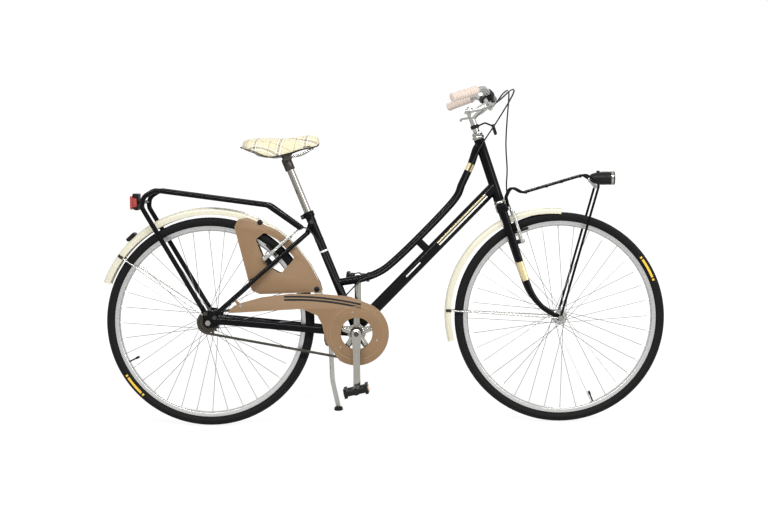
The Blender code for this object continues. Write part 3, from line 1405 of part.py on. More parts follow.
def lever_shape(side):
    place, length, on_bar, bar_along = lever_place(side)
    tab = link((0.0, 0.0), (0.016, -0.006), 0.0065, 0.006)
    hole = circle(LEVER_PIN_DIAMETER / 2 + GAP, 10)
    upright = place @ Matrix.Rotation(math.pi / 2, 4, "X")
    base = plate([tab, hole], LEVER_TAB, upright)
    route = [(0.014, -0.006), (length * 0.35, -0.013), (length * 0.70, -0.010), (length * 0.94, -0.004)]
    route.append((length, -0.008))
    points = [place @ at(x, 0.0, z) for x, z in route]
    return joined(base, tube(smooth(points, 2), LEVER_DIAMETER / 2, 6))


def make_bars(steering):
    stem = joint("stem_joint", steer(-HEAD_TUBE_LENGTH), steering, -STEER_DOWN)
    piece("quill_stem", stem_shape(), SILVER, stem)
    piece("handlebar", handlebar_shape(), SILVER, stem)
    piece("front_reflector", front_reflector_shape(), BLACK_PLASTIC, stem)
    for side, name in ((1.0, "left"), (-1.0, "right")):
        piece(f"grip_{name}", grip_shape(side), BEIGE_RUBBER, stem)
        piece(f"brake_bracket_{name}", bracket_shape(side), BLACK_PLASTIC, stem)
        place = lever_place(side)[0]
        lever = joint(f"brake_lever_{name}_joint", place.translation, stem, place.to_3x3() @ SIDE)
        piece(f"brake_lever_{name}", lever_shape(side), SILVER, lever)
    return stem


ARM_BOSS = 0.008
ARM_TIP = 0.005
PAD_HEIGHT = 0.009
PAD_THICKNESS = 0.008
PAD_AHEAD = 0.008
NOODLE_DIAMETER = 0.005
NOODLE_ROUTE = [(0.104, 0.000), (0.106, 0.012), (0.114, 0.020), (0.124, 0.022), (0.134, 0.022)]
ARM_PIN_HOLE = PIVOT_PIN_DIAMETER / 2 + GAP


def inward(place, side):
    """The sign of the pivot's local y that points to the wheel."""
    return -side * (place.to_3x3() @ SIDE).y


def arm_shape(place, side, with_noodle):
    """A brake arm with its pad, in the pivot's own axes. The noodle leads the cable in."""
    sign = inward(place, side)
    middle = ARM_PLANE + ARM_THICKNESS / 2
    outline = link((0.0, 0.0), (BRAKE_ARM_LENGTH - ARM_TIP, 0.0), ARM_BOSS, ARM_TIP)
    hole = circle(ARM_PIN_HOLE, 10)
    arm = plate([outline, hole], ARM_THICKNESS, Matrix.Translation((0.0, 0.0, middle)))
    face = BRAKE_BOSS_SPREAD - RIM_WIDTH / 2 - BRAKE_PAD_GAP
    pad_y = sign * (face - PAD_THICKNESS / 2)
    pad_at = at(BRAKE_PAD_REACH, pad_y, middle + PAD_AHEAD)
    shapes = [
        box((PAD_HEIGHT, PAD_THICKNESS, BRAKE_PAD_LENGTH), pad_at),
        rod(0.003, at(BRAKE_PAD_REACH, 0.0, middle), at(BRAKE_PAD_REACH, pad_y, middle), 8),
    ]
    if with_noodle:
        route = [at(x, sign * y, middle) for x, y in NOODLE_ROUTE]
        shapes.append(tube(smooth(route, 2), NOODLE_DIAMETER / 2, 6))
    return moved(joined(arm, *shapes), place)


def noodle_end(place, side):
    x, y = NOODLE_ROUTE[-1]
    return place @ at(x + GAP, inward(place, side) * y, ARM_PLANE + ARM_THICKNESS / 2)


def make_brakes(steering):
    for side, name in ((1.0, "left"), (-1.0, "right")):
        front = front_brake_place(side)
        rear = rear_brake_place(side)
        out = Vector((0.0, 0.0, 1.0))
        front_joint = joint(f"front_arm_{name}_joint", front.translation, steering, front.to_3x3() @ out)
        rear_joint = joint(f"rear_arm_{name}_joint", rear.translation, None, rear.to_3x3() @ out)
        piece(f"front_brake_arm_{name}", arm_shape(front, side, side > 0.0), SILVER, front_joint)
        piece(f"rear_brake_arm_{name}", arm_shape(rear, side, side < 0.0), SILVER, rear_joint)


FRONT_CABLE = [
    (0.000, 0.029, 0.018),
    (-0.045, 0.041, 0.014),
    (-0.090, 0.0577, 0.006),
    (-0.168, 0.078, -0.010),
    (-0.242, 0.106, -0.016),
    (-0.305, 0.133, -0.004),
    (-0.336, 0.144, 0.034),
    (-0.334, 0.128, 0.082),
    (-0.318, 0.106, 0.118),
]
REAR_CABLE_BAR = [
    (-0.316, 0.112, -0.118),
    (-0.330, 0.142, -0.084),
    (-0.326, 0.156, -0.050),
    (-0.296, 0.128, -0.034),
    (-0.244, 0.066, -0.032),
    (-0.205, 0.016, -0.030),
    (-0.170, -0.022, -0.021),
]
REAR_CABLE_NECK_DROP = 0.004
REAR_CABLE_CLEARANCE = 0.002
REAR_CABLE_SEAT = [
    (0.128, -0.014, -0.021),
    (0.150, -0.002, -0.021),
    (0.250, 0.002, -0.0195),
    (0.318, 0.003, -0.0205),
]
REAR_CABLE_STAY = [(0.342, -0.033, 0.292), (0.326, -0.033, 0.306), (0.309, -0.024, 0.307)]


def front_cable_shape():
    start = noodle_end(front_brake_place(1.0), 1.0)
    stop, ahead = cable_stop(1.0)[1:]
    route = [start, *[steer(*p) for p in FRONT_CABLE], stop + ahead * 0.016, stop + ahead * 2 * GAP]
    return tube(smooth(route, 3), CABLE_DIAMETER / 2, 6)


def rear_cable_shape():
    """From the right lever, down past the head tube, along the low top tube and up the seat tube."""
    place = rear_brake_place(-1.0)
    end = noodle_end(place, -1.0)
    up = brake_base()[0]
    stop, ahead = cable_stop(-1.0)[1:]
    beside = -(TOP_TUBE_DIAMETER + CABLE_DIAMETER) / 2 - REAR_CABLE_CLEARANCE
    neck = [steer(*p) for p in NECK_FRONT[3:]] + [seat(*p) for p in NECK_REAR[:3]]
    along_neck = [p + at(0.0, beside, -REAR_CABLE_NECK_DROP) for p in neck]
    route = [stop + ahead * 2 * GAP, stop + ahead * 0.016]
    route += [steer(*p) for p in REAR_CABLE_BAR]
    route += along_neck
    route += [seat(*p) for p in REAR_CABLE_SEAT]
    route += [at(x, y, z + REAR_HUB.z) for x, y, z in REAR_CABLE_STAY]
    route += [end + up * 0.012, end + up * 0.001]
    return tube(smooth(route, 2), CABLE_DIAMETER / 2, 6)


TOOTH_RISE = 0.0022
TOOTH_FALL = 0.0040
CHAIN_INNER = 0.0042
CHAIN_ROOF = 0.0030
CHAIN_SIDE_DEPTH = 0.0040
CRANK_EYE = 0.016
CRANK_TIP = 0.012
SPIDER_RADIUS = 0.060
SPIDER_THICKNESS = 0.004
PEDAL_CLEARANCE = 0.003


def pitch_radius(teeth):
    return CHAIN_PITCH / (2 * math.sin(math.pi / teeth))


def toothed(teeth, centre):
    radius = pitch_radius(teeth)
    points = []
    for index in range(teeth):
        for share, reach in ((0.0, -TOOTH_FALL), (0.34, -TOOTH_FALL), (0.67, TOOTH_RISE)):
            angle = 2 * math.pi * (index + share) / teeth
            points.append(
                (centre.x + (radius + reach) * math.cos(angle), centre.z + (radius + reach) * math.sin(angle))
            )
    return points


def chain_loop(offset):
    """The chain's path round both wheels, this far outside its pitch line."""
    big = pitch_radius(CHAINRING_TEETH)
    small = pitch_radius(SPROCKET_TEETH)
    span = BOTTOM_BRACKET - REAR_HUB
    lean = math.atan2(span.z, span.x)
    opening = math.acos((big - small) / math.hypot(span.x, span.z))
    ring = circle(big + offset, 21, flat(BOTTOM_BRACKET), lean - math.pi + opening, lean + math.pi - opening)
    cog = circle(
        small + offset, 10, flat(REAR_HUB), lean + math.pi - opening, lean + math.pi + opening
    )
    return ring + cog


def chain_shape():
    place = side_plane(-CHAIN_LINE)
    belt = plate([chain_loop(CHAIN_HEIGHT / 2 + 0.0005), chain_loop(-CHAIN_SIDE_DEPTH)], CHAIN_WIDTH, place)
    return cut(belt, plate([chain_loop(CHAIN_ROOF), chain_loop(-2 * CHAIN_SIDE_DEPTH)], CHAIN_INNER, place))


def crank_shape(side, spider):
    """A crank arm, flaring outwards to its pedal. The right arm carries the spider of the chainring."""
    centre = BOTTOM_BRACKET
    pedal = at(centre.x, 0.0, centre.z + side * CRANK_LENGTH)
    outline = link(flat(centre), flat(pedal), CRANK_EYE, CRANK_TIP, 7)
    axle = circle(PEDAL_AXLE_DIAMETER / 2 + GAP, 12, flat(pedal))
    arm = plate([outline, axle], CRANK_THICKNESS, side_plane(side * CRANK_OFFSET))
    flare = Matrix.Identity(4)
    flare[1][2] = CRANK_FLARE / CRANK_LENGTH
    arm = moved(arm, Matrix.Translation(centre) @ flare @ Matrix.Translation(-centre))
    if spider:
        face = CHAIN_LINE + CHAINRING_THICKNESS / 2 + GAP
        boss = rod(CRANK_EYE * 0.9, centre - SIDE * (face + GAP), centre - SIDE * CRANK_OFFSET, 14)
        star = []
        for index in range(5):
            angle = 2 * math.pi * index / 5 + 0.3
            for turn, reach in ((-0.1, SPIDER_RADIUS), (0.1, SPIDER_RADIUS), (math.pi / 5, CRANK_EYE * 1.1)):
                star.append((reach * math.cos(angle + turn), reach * math.sin(angle + turn)))
        legs = plate([spread(star, centre)], SPIDER_THICKNESS, side_plane(-face - SPIDER_THICKNESS / 2))
        arm = joined(arm, boss, legs)
    bore = SPINDLE_DIAMETER / 2 + GAP
    return cut(arm, rod(bore, centre, centre + SIDE * side * 2 * CRANK_OFFSET, 14))


def pedal_centre(side):
    inner = CRANK_OFFSET + CRANK_FLARE + CRANK_THICKNESS / 2 + PEDAL_CLEARANCE
    return BOTTOM_BRACKET + at(0.0, side * (inner + PEDAL_WIDTH / 2), side * CRANK_LENGTH)


def pedal_shape(side):
    centre = pedal_centre(side)
    turn = Matrix.Rotation(-PEDAL_TILT if side < 0.0 else PEDAL_TILT * 0.3, 4, "Y")
    block = box((PEDAL_LENGTH, PEDAL_WIDTH, PEDAL_HEIGHT * 0.8), centre, turn)
    inner = centre - SIDE * side * PEDAL_WIDTH / 2
    outer = centre + SIDE * side * PEDAL_WIDTH / 2
    shapes = []
    for share in (-0.36, 0.36):
        tread = box(
            (PEDAL_LENGTH * 0.20, PEDAL_WIDTH * 0.9, PEDAL_HEIGHT),
            centre + turn.to_3x3() @ at(PEDAL_LENGTH * share, 0.0, 0.0),
            turn,
        )
        shapes.append(tread)
    bore = rod(PEDAL_AXLE_DIAMETER / 2 + GAP, inner - SIDE * side * 0.01, outer - SIDE * side * 0.006, 12)
    return cut(joined(block, *shapes), bore)


def pedal_axle_shape(side):
    centre = pedal_centre(side)
    inner = centre - SIDE * side * PEDAL_WIDTH / 2
    start = inner - SIDE * side * (PEDAL_CLEARANCE + CRANK_THICKNESS * 0.9)
    end = centre + SIDE * side * (PEDAL_WIDTH / 2 - 0.007)
    collar = rod(
        PEDAL_AXLE_DIAMETER * 0.75, inner - SIDE * side * 2 * GAP, inner - SIDE * side * 0.002, 12
    )
    return joined(rod(PEDAL_AXLE_DIAMETER / 2, start, end, 12), collar)


def make_drive():
    crank = joint("crank_joint", BOTTOM_BRACKET, None, SIDE)
    sprocket_joint = joint("sprocket_joint", REAR_HUB, None, SIDE)
    reach = CRANK_OFFSET + CRANK_THICKNESS / 2 + 0.002
    spindle = rod(SPINDLE_DIAMETER / 2, BOTTOM_BRACKET - SIDE * reach, BOTTOM_BRACKET + SIDE * reach, 14)
    piece("crank_spindle", spindle, DARK_STEEL, crank)
    piece("crank_right", crank_shape(-1.0, True), CHROME, crank)
    piece("crank_left", crank_shape(1.0, False), CHROME, crank)
    hole = circle(SPINDLE_DIAMETER, 14, flat(BOTTOM_BRACKET))
    ring = [toothed(CHAINRING_TEETH, BOTTOM_BRACKET), hole]
    piece("chainring", plate(ring, CHAINRING_THICKNESS, side_plane(-CHAIN_LINE)), CHROME, crank)
    hub_gap = (REAR_HUB_RIGHT_END + GAP, SPROCKET_END)
    teeth = plate([toothed(SPROCKET_TEETH, REAR_HUB)], CHAINRING_THICKNESS, side_plane(-CHAIN_LINE))
    boss = rod(HUB_DIAMETER / 2 + 0.006, REAR_HUB - SIDE * hub_gap[0], REAR_HUB - SIDE * hub_gap[1], 12)
    bore = rod(clear(AXLE_DIAMETER / 2, 8), REAR_HUB, REAR_HUB - SIDE * REAR_DROPOUT_WIDTH, 8)
    piece("freewheel_sprocket", cut(joined(teeth, boss), bore), DARK_STEEL, sprocket_joint)
    piece("chain", chain_shape(), DARK_STEEL)
    for side, name in ((1.0, "left"), (-1.0, "right")):
        pedal = joint(f"pedal_{name}_joint", pedal_centre(side), crank, SIDE)
        piece(f"pedal_axle_{name}", pedal_axle_shape(side), DARK_STEEL, crank)
        piece(f"pedal_{name}", pedal_shape(side), BLACK_PLASTIC, pedal)


STAND_PIVOT = (STAND_PLATE_X, 0.045, 0.283)
STAND_ELBOW = (STAND_PLATE_X + 0.003, 0.062, 0.136)
STAND_FOOT = (STAND_PLATE_X + 0.015, 0.190)
STAND_BOSS_RADIUS = 0.012
STAND_BOSS_LENGTH = 0.028
STAND_STOWED = Vector((-0.985, 0.170, 0.020))
STAND_BLOCK = (0.034, 0.050, 0.024)
STAND_PIN_DIAMETER = 0.008
FOOT_RADIUS = 0.015
FOOT_HEIGHT = 0.014


def floor_under(x, y):
    """The floor's height in the bicycle's own upright frame, and the way up from it."""
    rise = (y - TREAD_WIDTH / 2) * math.tan(LEAN)
    return at(x, y, rise), at(0.0, -math.sin(LEAN), math.cos(LEAN))


def stand_axis():
    foot = floor_under(*STAND_FOOT)[0]
    down = (foot - Vector(STAND_PIVOT)).normalized()
    return down.cross(STAND_STOWED.normalized()).normalized()


def stand_leg_shape():
    pivot = Vector(STAND_PIVOT)
    axis = stand_axis()
    floor, up = floor_under(*STAND_FOOT)
    half = axis * STAND_BOSS_LENGTH / 2
    boss = rod(STAND_BOSS_RADIUS, pivot - half, pivot + half, 14)
    route = bent([pivot, Vector(STAND_ELBOW), floor + up * FOOT_HEIGHT * 0.5], 0.060, 3)
    leg = tube(route, STAND_DIAMETER / 2, 10)
    foot = rod(FOOT_RADIUS, floor, floor + up * FOOT_HEIGHT, 12)
    bore = rod(STAND_PIN_DIAMETER / 2 + GAP, pivot - half * 2, pivot + half * 2, 12)
    return cut(joined(boss, leg, foot), bore)


def stand_mount_shape():
    """The block under the frame's plate that carries the stand's pivot pin."""
    pivot = Vector(STAND_PIVOT)
    axis = stand_axis()
    top = STAND_PLATE_Z - STAND_PLATE_SIZE[2] / 2 - GAP
    inner = pivot - axis * (STAND_BOSS_LENGTH / 2 + GAP)
    block_y = inner.y - 0.012 - STAND_BLOCK[1] / 2
    block = box(STAND_BLOCK, at(STAND_PLATE_X, block_y, top - STAND_BLOCK[2] / 2))
    neck = rod(STAND_BOSS_RADIUS, inner - axis * 0.022, inner, 14)
    pin_end = pivot + axis * (STAND_BOSS_LENGTH / 2 + 0.002)
    whole = joined(block, neck, rod(STAND_PIN_DIAMETER / 2, inner - axis * 0.010, pin_end, 12))
    return whole


def make_stand():
    leg = joint("kickstand_joint", Vector(STAND_PIVOT), None, stand_axis())
    piece("kickstand_mount", stand_mount_shape(), DARK_STEEL)
    piece("kickstand_leg", stand_leg_shape(), SILVER, leg)


def build():
    steering = make_frame()
    make_wheels(steering)
    make_guards(steering)
    make_headlamp(steering)
    make_carrier()
    make_seat()
    make_bars(steering)
    make_brakes(steering)
    piece("front_brake_cable", front_cable_shape(), BLACK_PLASTIC, steering)
    piece("rear_brake_cable", rear_cable_shape(), BLACK_PLASTIC)
    make_drive()
    make_stand()
    lean_and_centre()


def lean_and_centre():
    """Leans the machine onto its stand and puts the origin under the middle of its box."""
    ROOT.rotation_euler = (-LEAN, 0.0, 0.0)
    bpy.context.view_layer.update()
    points = []
    for obj in BICYCLE.objects:
        if obj.type == "MESH":
            points += [obj.matrix_world @ vertex.co for vertex in obj.data.vertices]
    low = [min(p[axis] for p in points) for axis in range(3)]
    high = [max(p[axis] for p in points) for axis in range(3)]
    ROOT.location = (-(low[0] + high[0]) / 2, -(low[1] + high[1]) / 2, -low[2])
    bpy.context.view_layer.update()


build()
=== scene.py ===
"""The looks of the city bicycle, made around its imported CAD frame.

Each piece is made in the bicycle's own upright axes, in metres, and then leaned onto the side stand
as the frame is: x runs forward from the rear axle, y to the rider's left and z up from the floor.
"""

import math

import bmesh
import bpy
from mathutils import Matrix, Vector


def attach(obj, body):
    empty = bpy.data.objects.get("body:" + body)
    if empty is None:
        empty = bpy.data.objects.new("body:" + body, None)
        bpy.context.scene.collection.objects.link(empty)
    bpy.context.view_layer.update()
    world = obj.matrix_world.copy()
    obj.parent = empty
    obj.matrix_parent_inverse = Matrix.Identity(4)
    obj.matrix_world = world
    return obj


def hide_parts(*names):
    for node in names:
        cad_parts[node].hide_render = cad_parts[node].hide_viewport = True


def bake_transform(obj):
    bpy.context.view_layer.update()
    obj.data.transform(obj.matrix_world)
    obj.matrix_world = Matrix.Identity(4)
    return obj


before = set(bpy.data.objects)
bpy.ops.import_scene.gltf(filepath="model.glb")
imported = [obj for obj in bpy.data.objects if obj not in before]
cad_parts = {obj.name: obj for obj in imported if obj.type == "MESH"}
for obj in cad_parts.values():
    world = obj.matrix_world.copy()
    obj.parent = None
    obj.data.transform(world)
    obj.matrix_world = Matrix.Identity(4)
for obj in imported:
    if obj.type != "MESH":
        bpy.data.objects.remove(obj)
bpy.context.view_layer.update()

put_at = Matrix.Translation
STAND_LEAN = math.radians(5)
CAD_ORIGIN = (-0.573564, -0.092168, 0.000436)
LEANED = put_at(CAD_ORIGIN) @ Matrix.Rotation(-STAND_LEAN, 4, "X")
SIDE = Vector((0, 1, 0))
TURN = 2 * math.pi
LEFT = 1
RIGHT = -1
SIDES = ((LEFT, "left"), (RIGHT, "right"))
FRAME = "frame_and_racks"

# Sizes that the frame is built from
WHEEL_RADIUS = 0.346
HEAD_TUBE_LENGTH = 0.2134
FORK_LENGTH = 0.4258
FORK_RAKE = 0.068
SEAT_TUBE_LENGTH = 0.43
SEAT_POST_TOP = 0.609
REAR_DROPOUT = 0.12
DROPOUT_WALL = 0.005
CHAIN_LINE = 0.042
CHAIN_PITCH = 0.0127
CHAINRING_TEETH = 44
SPROCKET_TEETH = 18
CRANK_OFFSET = 0.085
BAR_RADIUS = 0.0111

HEAD_LEAN = math.radians(17.5)
SEAT_LEAN = math.radians(21.5)
REAR_HUB = Vector((0, 0, WHEEL_RADIUS))
FRONT_HUB = Vector((1.155, 0, WHEEL_RADIUS))
CRANK = Vector((0.487, 0, 0.305))
STEER_DOWN = Vector((math.sin(HEAD_LEAN), 0, -math.cos(HEAD_LEAN)))
STEER_AHEAD = Vector((math.cos(HEAD_LEAN), 0, math.sin(HEAD_LEAN)))
HEAD_TILT = Matrix.Rotation(HEAD_LEAN, 4, "Y").inverted()
HEAD_LOW = FRONT_HUB - STEER_DOWN * FORK_LENGTH - STEER_AHEAD * FORK_RAKE
SEAT_UP = Vector((-math.sin(SEAT_LEAN), 0, math.cos(SEAT_LEAN)))
SEAT_BACK = Vector((-math.cos(SEAT_LEAN), 0, -math.sin(SEAT_LEAN)))


def at(x, y, z):
    return Vector((x, y, z))


def outward(angle):
    """The direction at this angle round a wheel, counted upwards from straight ahead."""
    return at(math.cos(angle), 0, math.sin(angle))


def steer(down, ahead=0, side=0):
    """The point this far down the steering axis from the head tube's lower end, and ahead of it."""
    return HEAD_LOW + STEER_DOWN * down + STEER_AHEAD * ahead + SIDE * side


def seat(up, back=0, side=0):
    """The point this far up the seat tube from the crank's centre, and behind it."""
    return CRANK + SEAT_UP * up + SEAT_BACK * back + SIDE * side


def axes(x, y, z, origin):
    """The matrix that takes local x, y and z to these directions at this point."""
    return put_at(origin) @ Matrix((x, y, z)).transposed().to_4x4()


def axle_place(centre):
    """Local z becomes the bicycle's y."""
    return put_at(centre) @ Matrix.Rotation(-math.pi / 2, 4, "X")


def side_plane(y):
    """Local x and y become the bicycle's x and z, and local z points to the right."""
    return put_at((0, y, 0)) @ Matrix.Rotation(math.pi / 2, 4, "X")


def aimed(start, end):
    """Local z runs from start towards end."""
    along = Vector(end) - Vector(start)
    return put_at(start) @ along.to_track_quat("Z", "Y").to_matrix().to_4x4()


def smooth(points, per_span=6):
    """A Catmull-Rom curve through the points."""
    points = [Vector(p) for p in points]
    ends = [points[0] * 2 - points[1], *points, points[-1] * 2 - points[-2]]
    out = []
    for before, start, end, after in zip(ends, ends[1:], ends[2:], ends[3:]):
        for step in range(per_span):
            t = step / per_span
            line = 2 * start + (end - before) * t
            curve = (2 * before - 5 * start + 4 * end - after) * t**2
            out.append(0.5 * (line + curve + (3 * start - before - 3 * end + after) * t**3))
    out.append(points[-1])
    return out


def bent(points, radius, steps=8):
    """Straight runs between the points, with a bend of this radius at each corner."""
    points = [Vector(p) for p in points]
    out = [points[0]]
    for before, corner, after in zip(points, points[1:], points[2:]):
        back = (before - corner).normalized()
        on = (after - corner).normalized()
        limit = 0.49 * min((before - corner).length, (after - corner).length)
        reach = min(radius / math.tan(back.angle(on) / 2), limit)
        for step in range(steps + 1):
            t = step / steps
            start = corner + back * reach
            end = corner + on * reach
            out.append(start * (1 - t) ** 2 + corner * 2 * t * (1 - t) + end * t**2)
    out.append(points[-1])
    return out


def circle(radius, count, centre=(0, 0), start=0, end=TURN):
    """Points round a circle, or along a part of it that has both its ends."""
    steps = count if end - start > TURN - 1e-6 else count - 1
    angles = [start + (end - start) * i / steps for i in range(count)]
    return [(centre[0] + radius * math.cos(a), centre[1] + radius * math.sin(a)) for a in angles]


def rounded(outline, radius, steps=5):
    """The closed outline with each corner rounded."""
    count = len(outline)
    out = []
    for index in range(count):
        corner = Vector((*outline[index], 0))
        before = Vector((*outline[index - 1], 0))
        after = Vector((*outline[(index + 1) % count], 0))
        turn = bent([corner.lerp(before, 0.5), corner, corner.lerp(after, 0.5)], radius, steps)
        out += [(p.x, p.y) for p in turn[1:-1]]
    return out


def spread(outline, centre):
    """The outline, moved to this centre, as seen from the side."""
    return [(centre.x + x, centre.z + z) for x, z in outline]


def flat(point):
    """The point as seen from the side."""
    return (point[0], point[2])


def hoop(inner, outer, half, cut=0, drop=0):
    """The profile of a ring that reaches this far to each side, its outer corners cut off."""
    rim = [(outer, drop - half), (outer, half - drop)]
    if cut:
        rim = [(outer - cut, -half), *rim, (outer - cut, half)]
    return [(inner, -half), *rim, (inner, half)]


def link(start, end, start_radius, end_radius, steps=12):
    """The outline of a flat link with two round ends."""
    angle = math.atan2(end[1] - start[1], end[0] - start[0])
    half = math.pi / 2
    return circle(end_radius, steps, end, angle - half, angle + half) + circle(
        start_radius, steps, start, angle + half, angle + 3 * half
    )


def skin(shape, rings):
    """Faces from each closed ring of vertices to the next, and over both ends."""
    count = len(rings[0])
    for first, second in zip(rings, rings[1:]):
        for index in range(count):
            after = (index + 1) % count
            shape.faces.new((first[index], first[after], second[after], second[index]))
    shape.faces.new(rings[0])
    shape.faces.new(rings[-1])


def loose(shape, place=None):
    """A mesh from this bmesh, not yet a piece."""
    bmesh.ops.remove_doubles(shape, verts=shape.verts, dist=1e-6)
    bmesh.ops.recalc_face_normals(shape, faces=shape.faces)
    if place is not None:
        bmesh.ops.transform(shape, matrix=place, verts=shape.verts)
    mesh = bpy.data.meshes.new("loose")
    shape.to_mesh(mesh)
    shape.free()
    return mesh


def pipe(points, radius, sides=14, shares=None, oval=1, across=SIDE):
    """A tube along the points. Shares scale its radius at each point, and oval its width along across."""
    points = [Vector(p) for p in points]
    shape = bmesh.new()
    rings = []
    normal = Vector(across)
    for index, point in enumerate(points):
        along = (points[min(index + 1, len(points) - 1)] - points[max(index - 1, 0)]).normalized()
        base = Vector(across) if oval != 1 else normal
        normal = base - along * base.dot(along)
        if normal.length < 1e-3:
            normal = along.orthogonal()
        normal.normalize()
        other = along.cross(normal)
        size = radius * (shares[index] if shares else 1)
        ring = []
        for step in range(sides):
            angle = TURN * step / sides
            offset = normal * size * oval * math.cos(angle) + other * size * math.sin(angle)
            ring.append(shape.verts.new(point + offset))
        rings.append(ring)
    skin(shape, rings)
    return loose(shape)


def rod(radius, start, end, sides=20, edge=0.0006):
    """A round bar with a small chamfer at both ends."""
    start = Vector(start)
    end = Vector(end)
    along = (end - start).normalized()
    edge = min(edge, radius / 2, (end - start).length / 3)
    inner = 1 - edge / radius
    points = [start, start + along * edge, end - along * edge, end]
    return pipe(points, radius, sides, [inner, 1, 1, inner])


def turned(profile, place, steps=72, closed=True, start=0, end=TURN):
    """A profile of (radius, height) turned about local z, then put at this matrix."""
    whole = end - start > TURN - 1e-6
    shape = bmesh.new()
    columns = []
    for step in range(steps if whole else steps + 1):
        angle = start + (end - start) * step / steps
        across, up = math.cos(angle), math.sin(angle)
        columns.append([shape.verts.new((r * across, r * up, h)) for r, h in profile])
    count = len(profile)
    pairs = list(zip(columns, columns[1:])) + ([(columns[-1], columns[0])] if whole else [])
    for first, second in pairs:
        for index in range(count if closed else count - 1):
            after = (index + 1) % count
            shape.faces.new((first[index], second[index], second[after], first[after]))
    if closed and not whole:
        shape.faces.new(columns[0])
        shape.faces.new(columns[-1])
    return loose(shape, place)


def evaluated(obj):
    """The object's final mesh, in place of the object."""
    graph = bpy.context.evaluated_depsgraph_get()
    mesh = bpy.data.meshes.new_from_object(obj.evaluated_get(graph), depsgraph=graph)
    bpy.data.objects.remove(obj, do_unlink=True)
    mesh.materials.clear()
    return mesh


def linked(name, data):
    """A new object in the scene with this data."""
    obj = bpy.data.objects.new(name, data)
    bpy.context.scene.collection.objects.link(obj)
    return obj


def plate(outlines, thickness, place, edge=0.0004):
    """A flat outline in local x and y, with any holes after it, with softened edges."""
    curve = bpy.data.curves.new("loose", "CURVE")
    curve.dimensions = "2D"
    curve.fill_mode = "BOTH"
    curve.extrude = thickness / 2 - edge
    curve.bevel_depth = edge
    curve.offset = -edge
    curve.bevel_resolution = 1
    for outline in outlines:
        spline = curve.splines.new("POLY")
        spline.points.add(len(outline) - 1)
        spline.use_cyclic_u = True
        for target, p in zip(spline.points, outline):
            target.co = (p[0], p[1], 0, 1)
    shape = bmesh.new()
    shape.from_mesh(evaluated(linked("loose", curve)))
    return loose(shape, place)


def block(size, place, edge=0.0015, steps=2):
    """A box with rounded edges."""
    shape = bmesh.new()
    bmesh.ops.create_cube(shape, size=1)
    bmesh.ops.transform(shape, matrix=Matrix.Diagonal((*size, 1)), verts=shape.verts)
    bmesh.ops.bevel(shape, geom=shape.edges[:], offset=edge, segments=steps, affect="EDGES", profile=0.6)
    return loose(shape, place)


def shifted(x=0, y=0, z=0):
    return put_at((x, y, z))


def softened(mesh, levels=1):
    """The mesh after subdivision."""
    obj = linked("loose", mesh)
    soft = obj.modifiers.new("soft", "SUBSURF")
    soft.levels = levels
    soft.render_levels = levels
    return evaluated(obj)


def moved(mesh, matrix):
    """The mesh at this matrix, turned right side out again if that mirrors it."""
    mesh.transform(matrix)
    if matrix.determinant() < 0:
        mesh.flip_normals()
    return mesh


def hexagon_bolt(point, along, radius=0.005, height=0.004, washer=True):
    """A bolt head on its washer, standing along this direction."""
    place = aimed(point, Vector(point) + Vector(along))
    head = [(0, 0), (radius, 0), (radius, height * 0.8), (radius * 0.86, height), (0, height)]
    parts = [turned(head, place, 6)]
    if washer:
        reach = radius * 1.4
        disc = [(0, -0.0006), (reach, -0.0006), (reach, 0.0004), (0, 0.0004)]
        parts.append(turned(disc, place, 20))
    return parts


def cap_screw(point, along, radius=0.003, height=0.0025):
    """A round screw head with a socket in its top."""
    place = aimed(point, Vector(point) + Vector(along))
    head = [
        (0, 0),
        (radius, 0),
        (radius, height * 0.7),
        (radius * 0.8, height),
        (radius * 0.5, height),
        (radius * 0.45, height * 0.4),
        (0, height * 0.4),
    ]
    return [turned(head, place, 18)]


def dressed(mesh, material):
    """The mesh in this material alone."""
    mesh.materials.clear()
    mesh.materials.append(material)
    return mesh


def piece(name, coats, body, slot, *nodes, sharp=38):
    """One piece of the meshes in each material, on this body, standing for these nodes."""
    whole = bpy.data.meshes.new(name)
    shape = bmesh.new()
    for index, meshes in enumerate(coats.values()):
        for mesh in meshes if isinstance(meshes, list) else [meshes]:
            first = len(shape.faces)
            shape.from_mesh(mesh)
            shape.faces.ensure_lookup_table()
            for face in shape.faces[first:]:
                face.material_index = index
            bpy.data.meshes.remove(mesh)
    shape.to_mesh(whole)
    shape.free()
    for material in coats:
        whole.materials.append(material)
    whole.shade_smooth()
    whole.set_sharp_from_angle(angle=math.radians(sharp))
    obj = linked(name, whole)
    obj.matrix_world = LEANED
    if body:
        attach(obj, body)
    if nodes:
        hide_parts(*nodes)
    return obj


def new_group(name, inputs, outputs):
    """An empty shader group with these named sockets."""
    tree = bpy.data.node_groups.new(name, "ShaderNodeTree")
    for label, kind, value in inputs:
        socket = tree.interface.new_socket(label, in_out="INPUT", socket_type="NodeSocket" + kind)
        if value is not None:
            socket.default_value = value
    for label, kind in outputs:
        tree.interface.new_socket(label, in_out="OUTPUT", socket_type="NodeSocket" + kind)
    return tree, tree.nodes.new("NodeGroupInput").outputs, tree.nodes.new("NodeGroupOutput").inputs


def wired(tree, made, values):
    """The node, after each of these inputs has got its value or its link."""
    for key, value in dict(values).items():
        if isinstance(value, bpy.types.NodeSocket):
            tree.links.new(value, made.inputs[key])
        else:
            made.inputs[key].default_value = value
    return made


def node(tree, kind, values=(), **settings):
    """A new node with these settings and inputs."""
    made = tree.nodes.new("ShaderNode" + kind)
    for key, value in settings.items():
        setattr(made, key, value)
    return wired(tree, made, values)


def maths(tree, operation, first, second=0, clamp=False):
    return node(tree, "Math", {0: first, 1: second}, operation=operation, use_clamp=clamp).outputs[0]


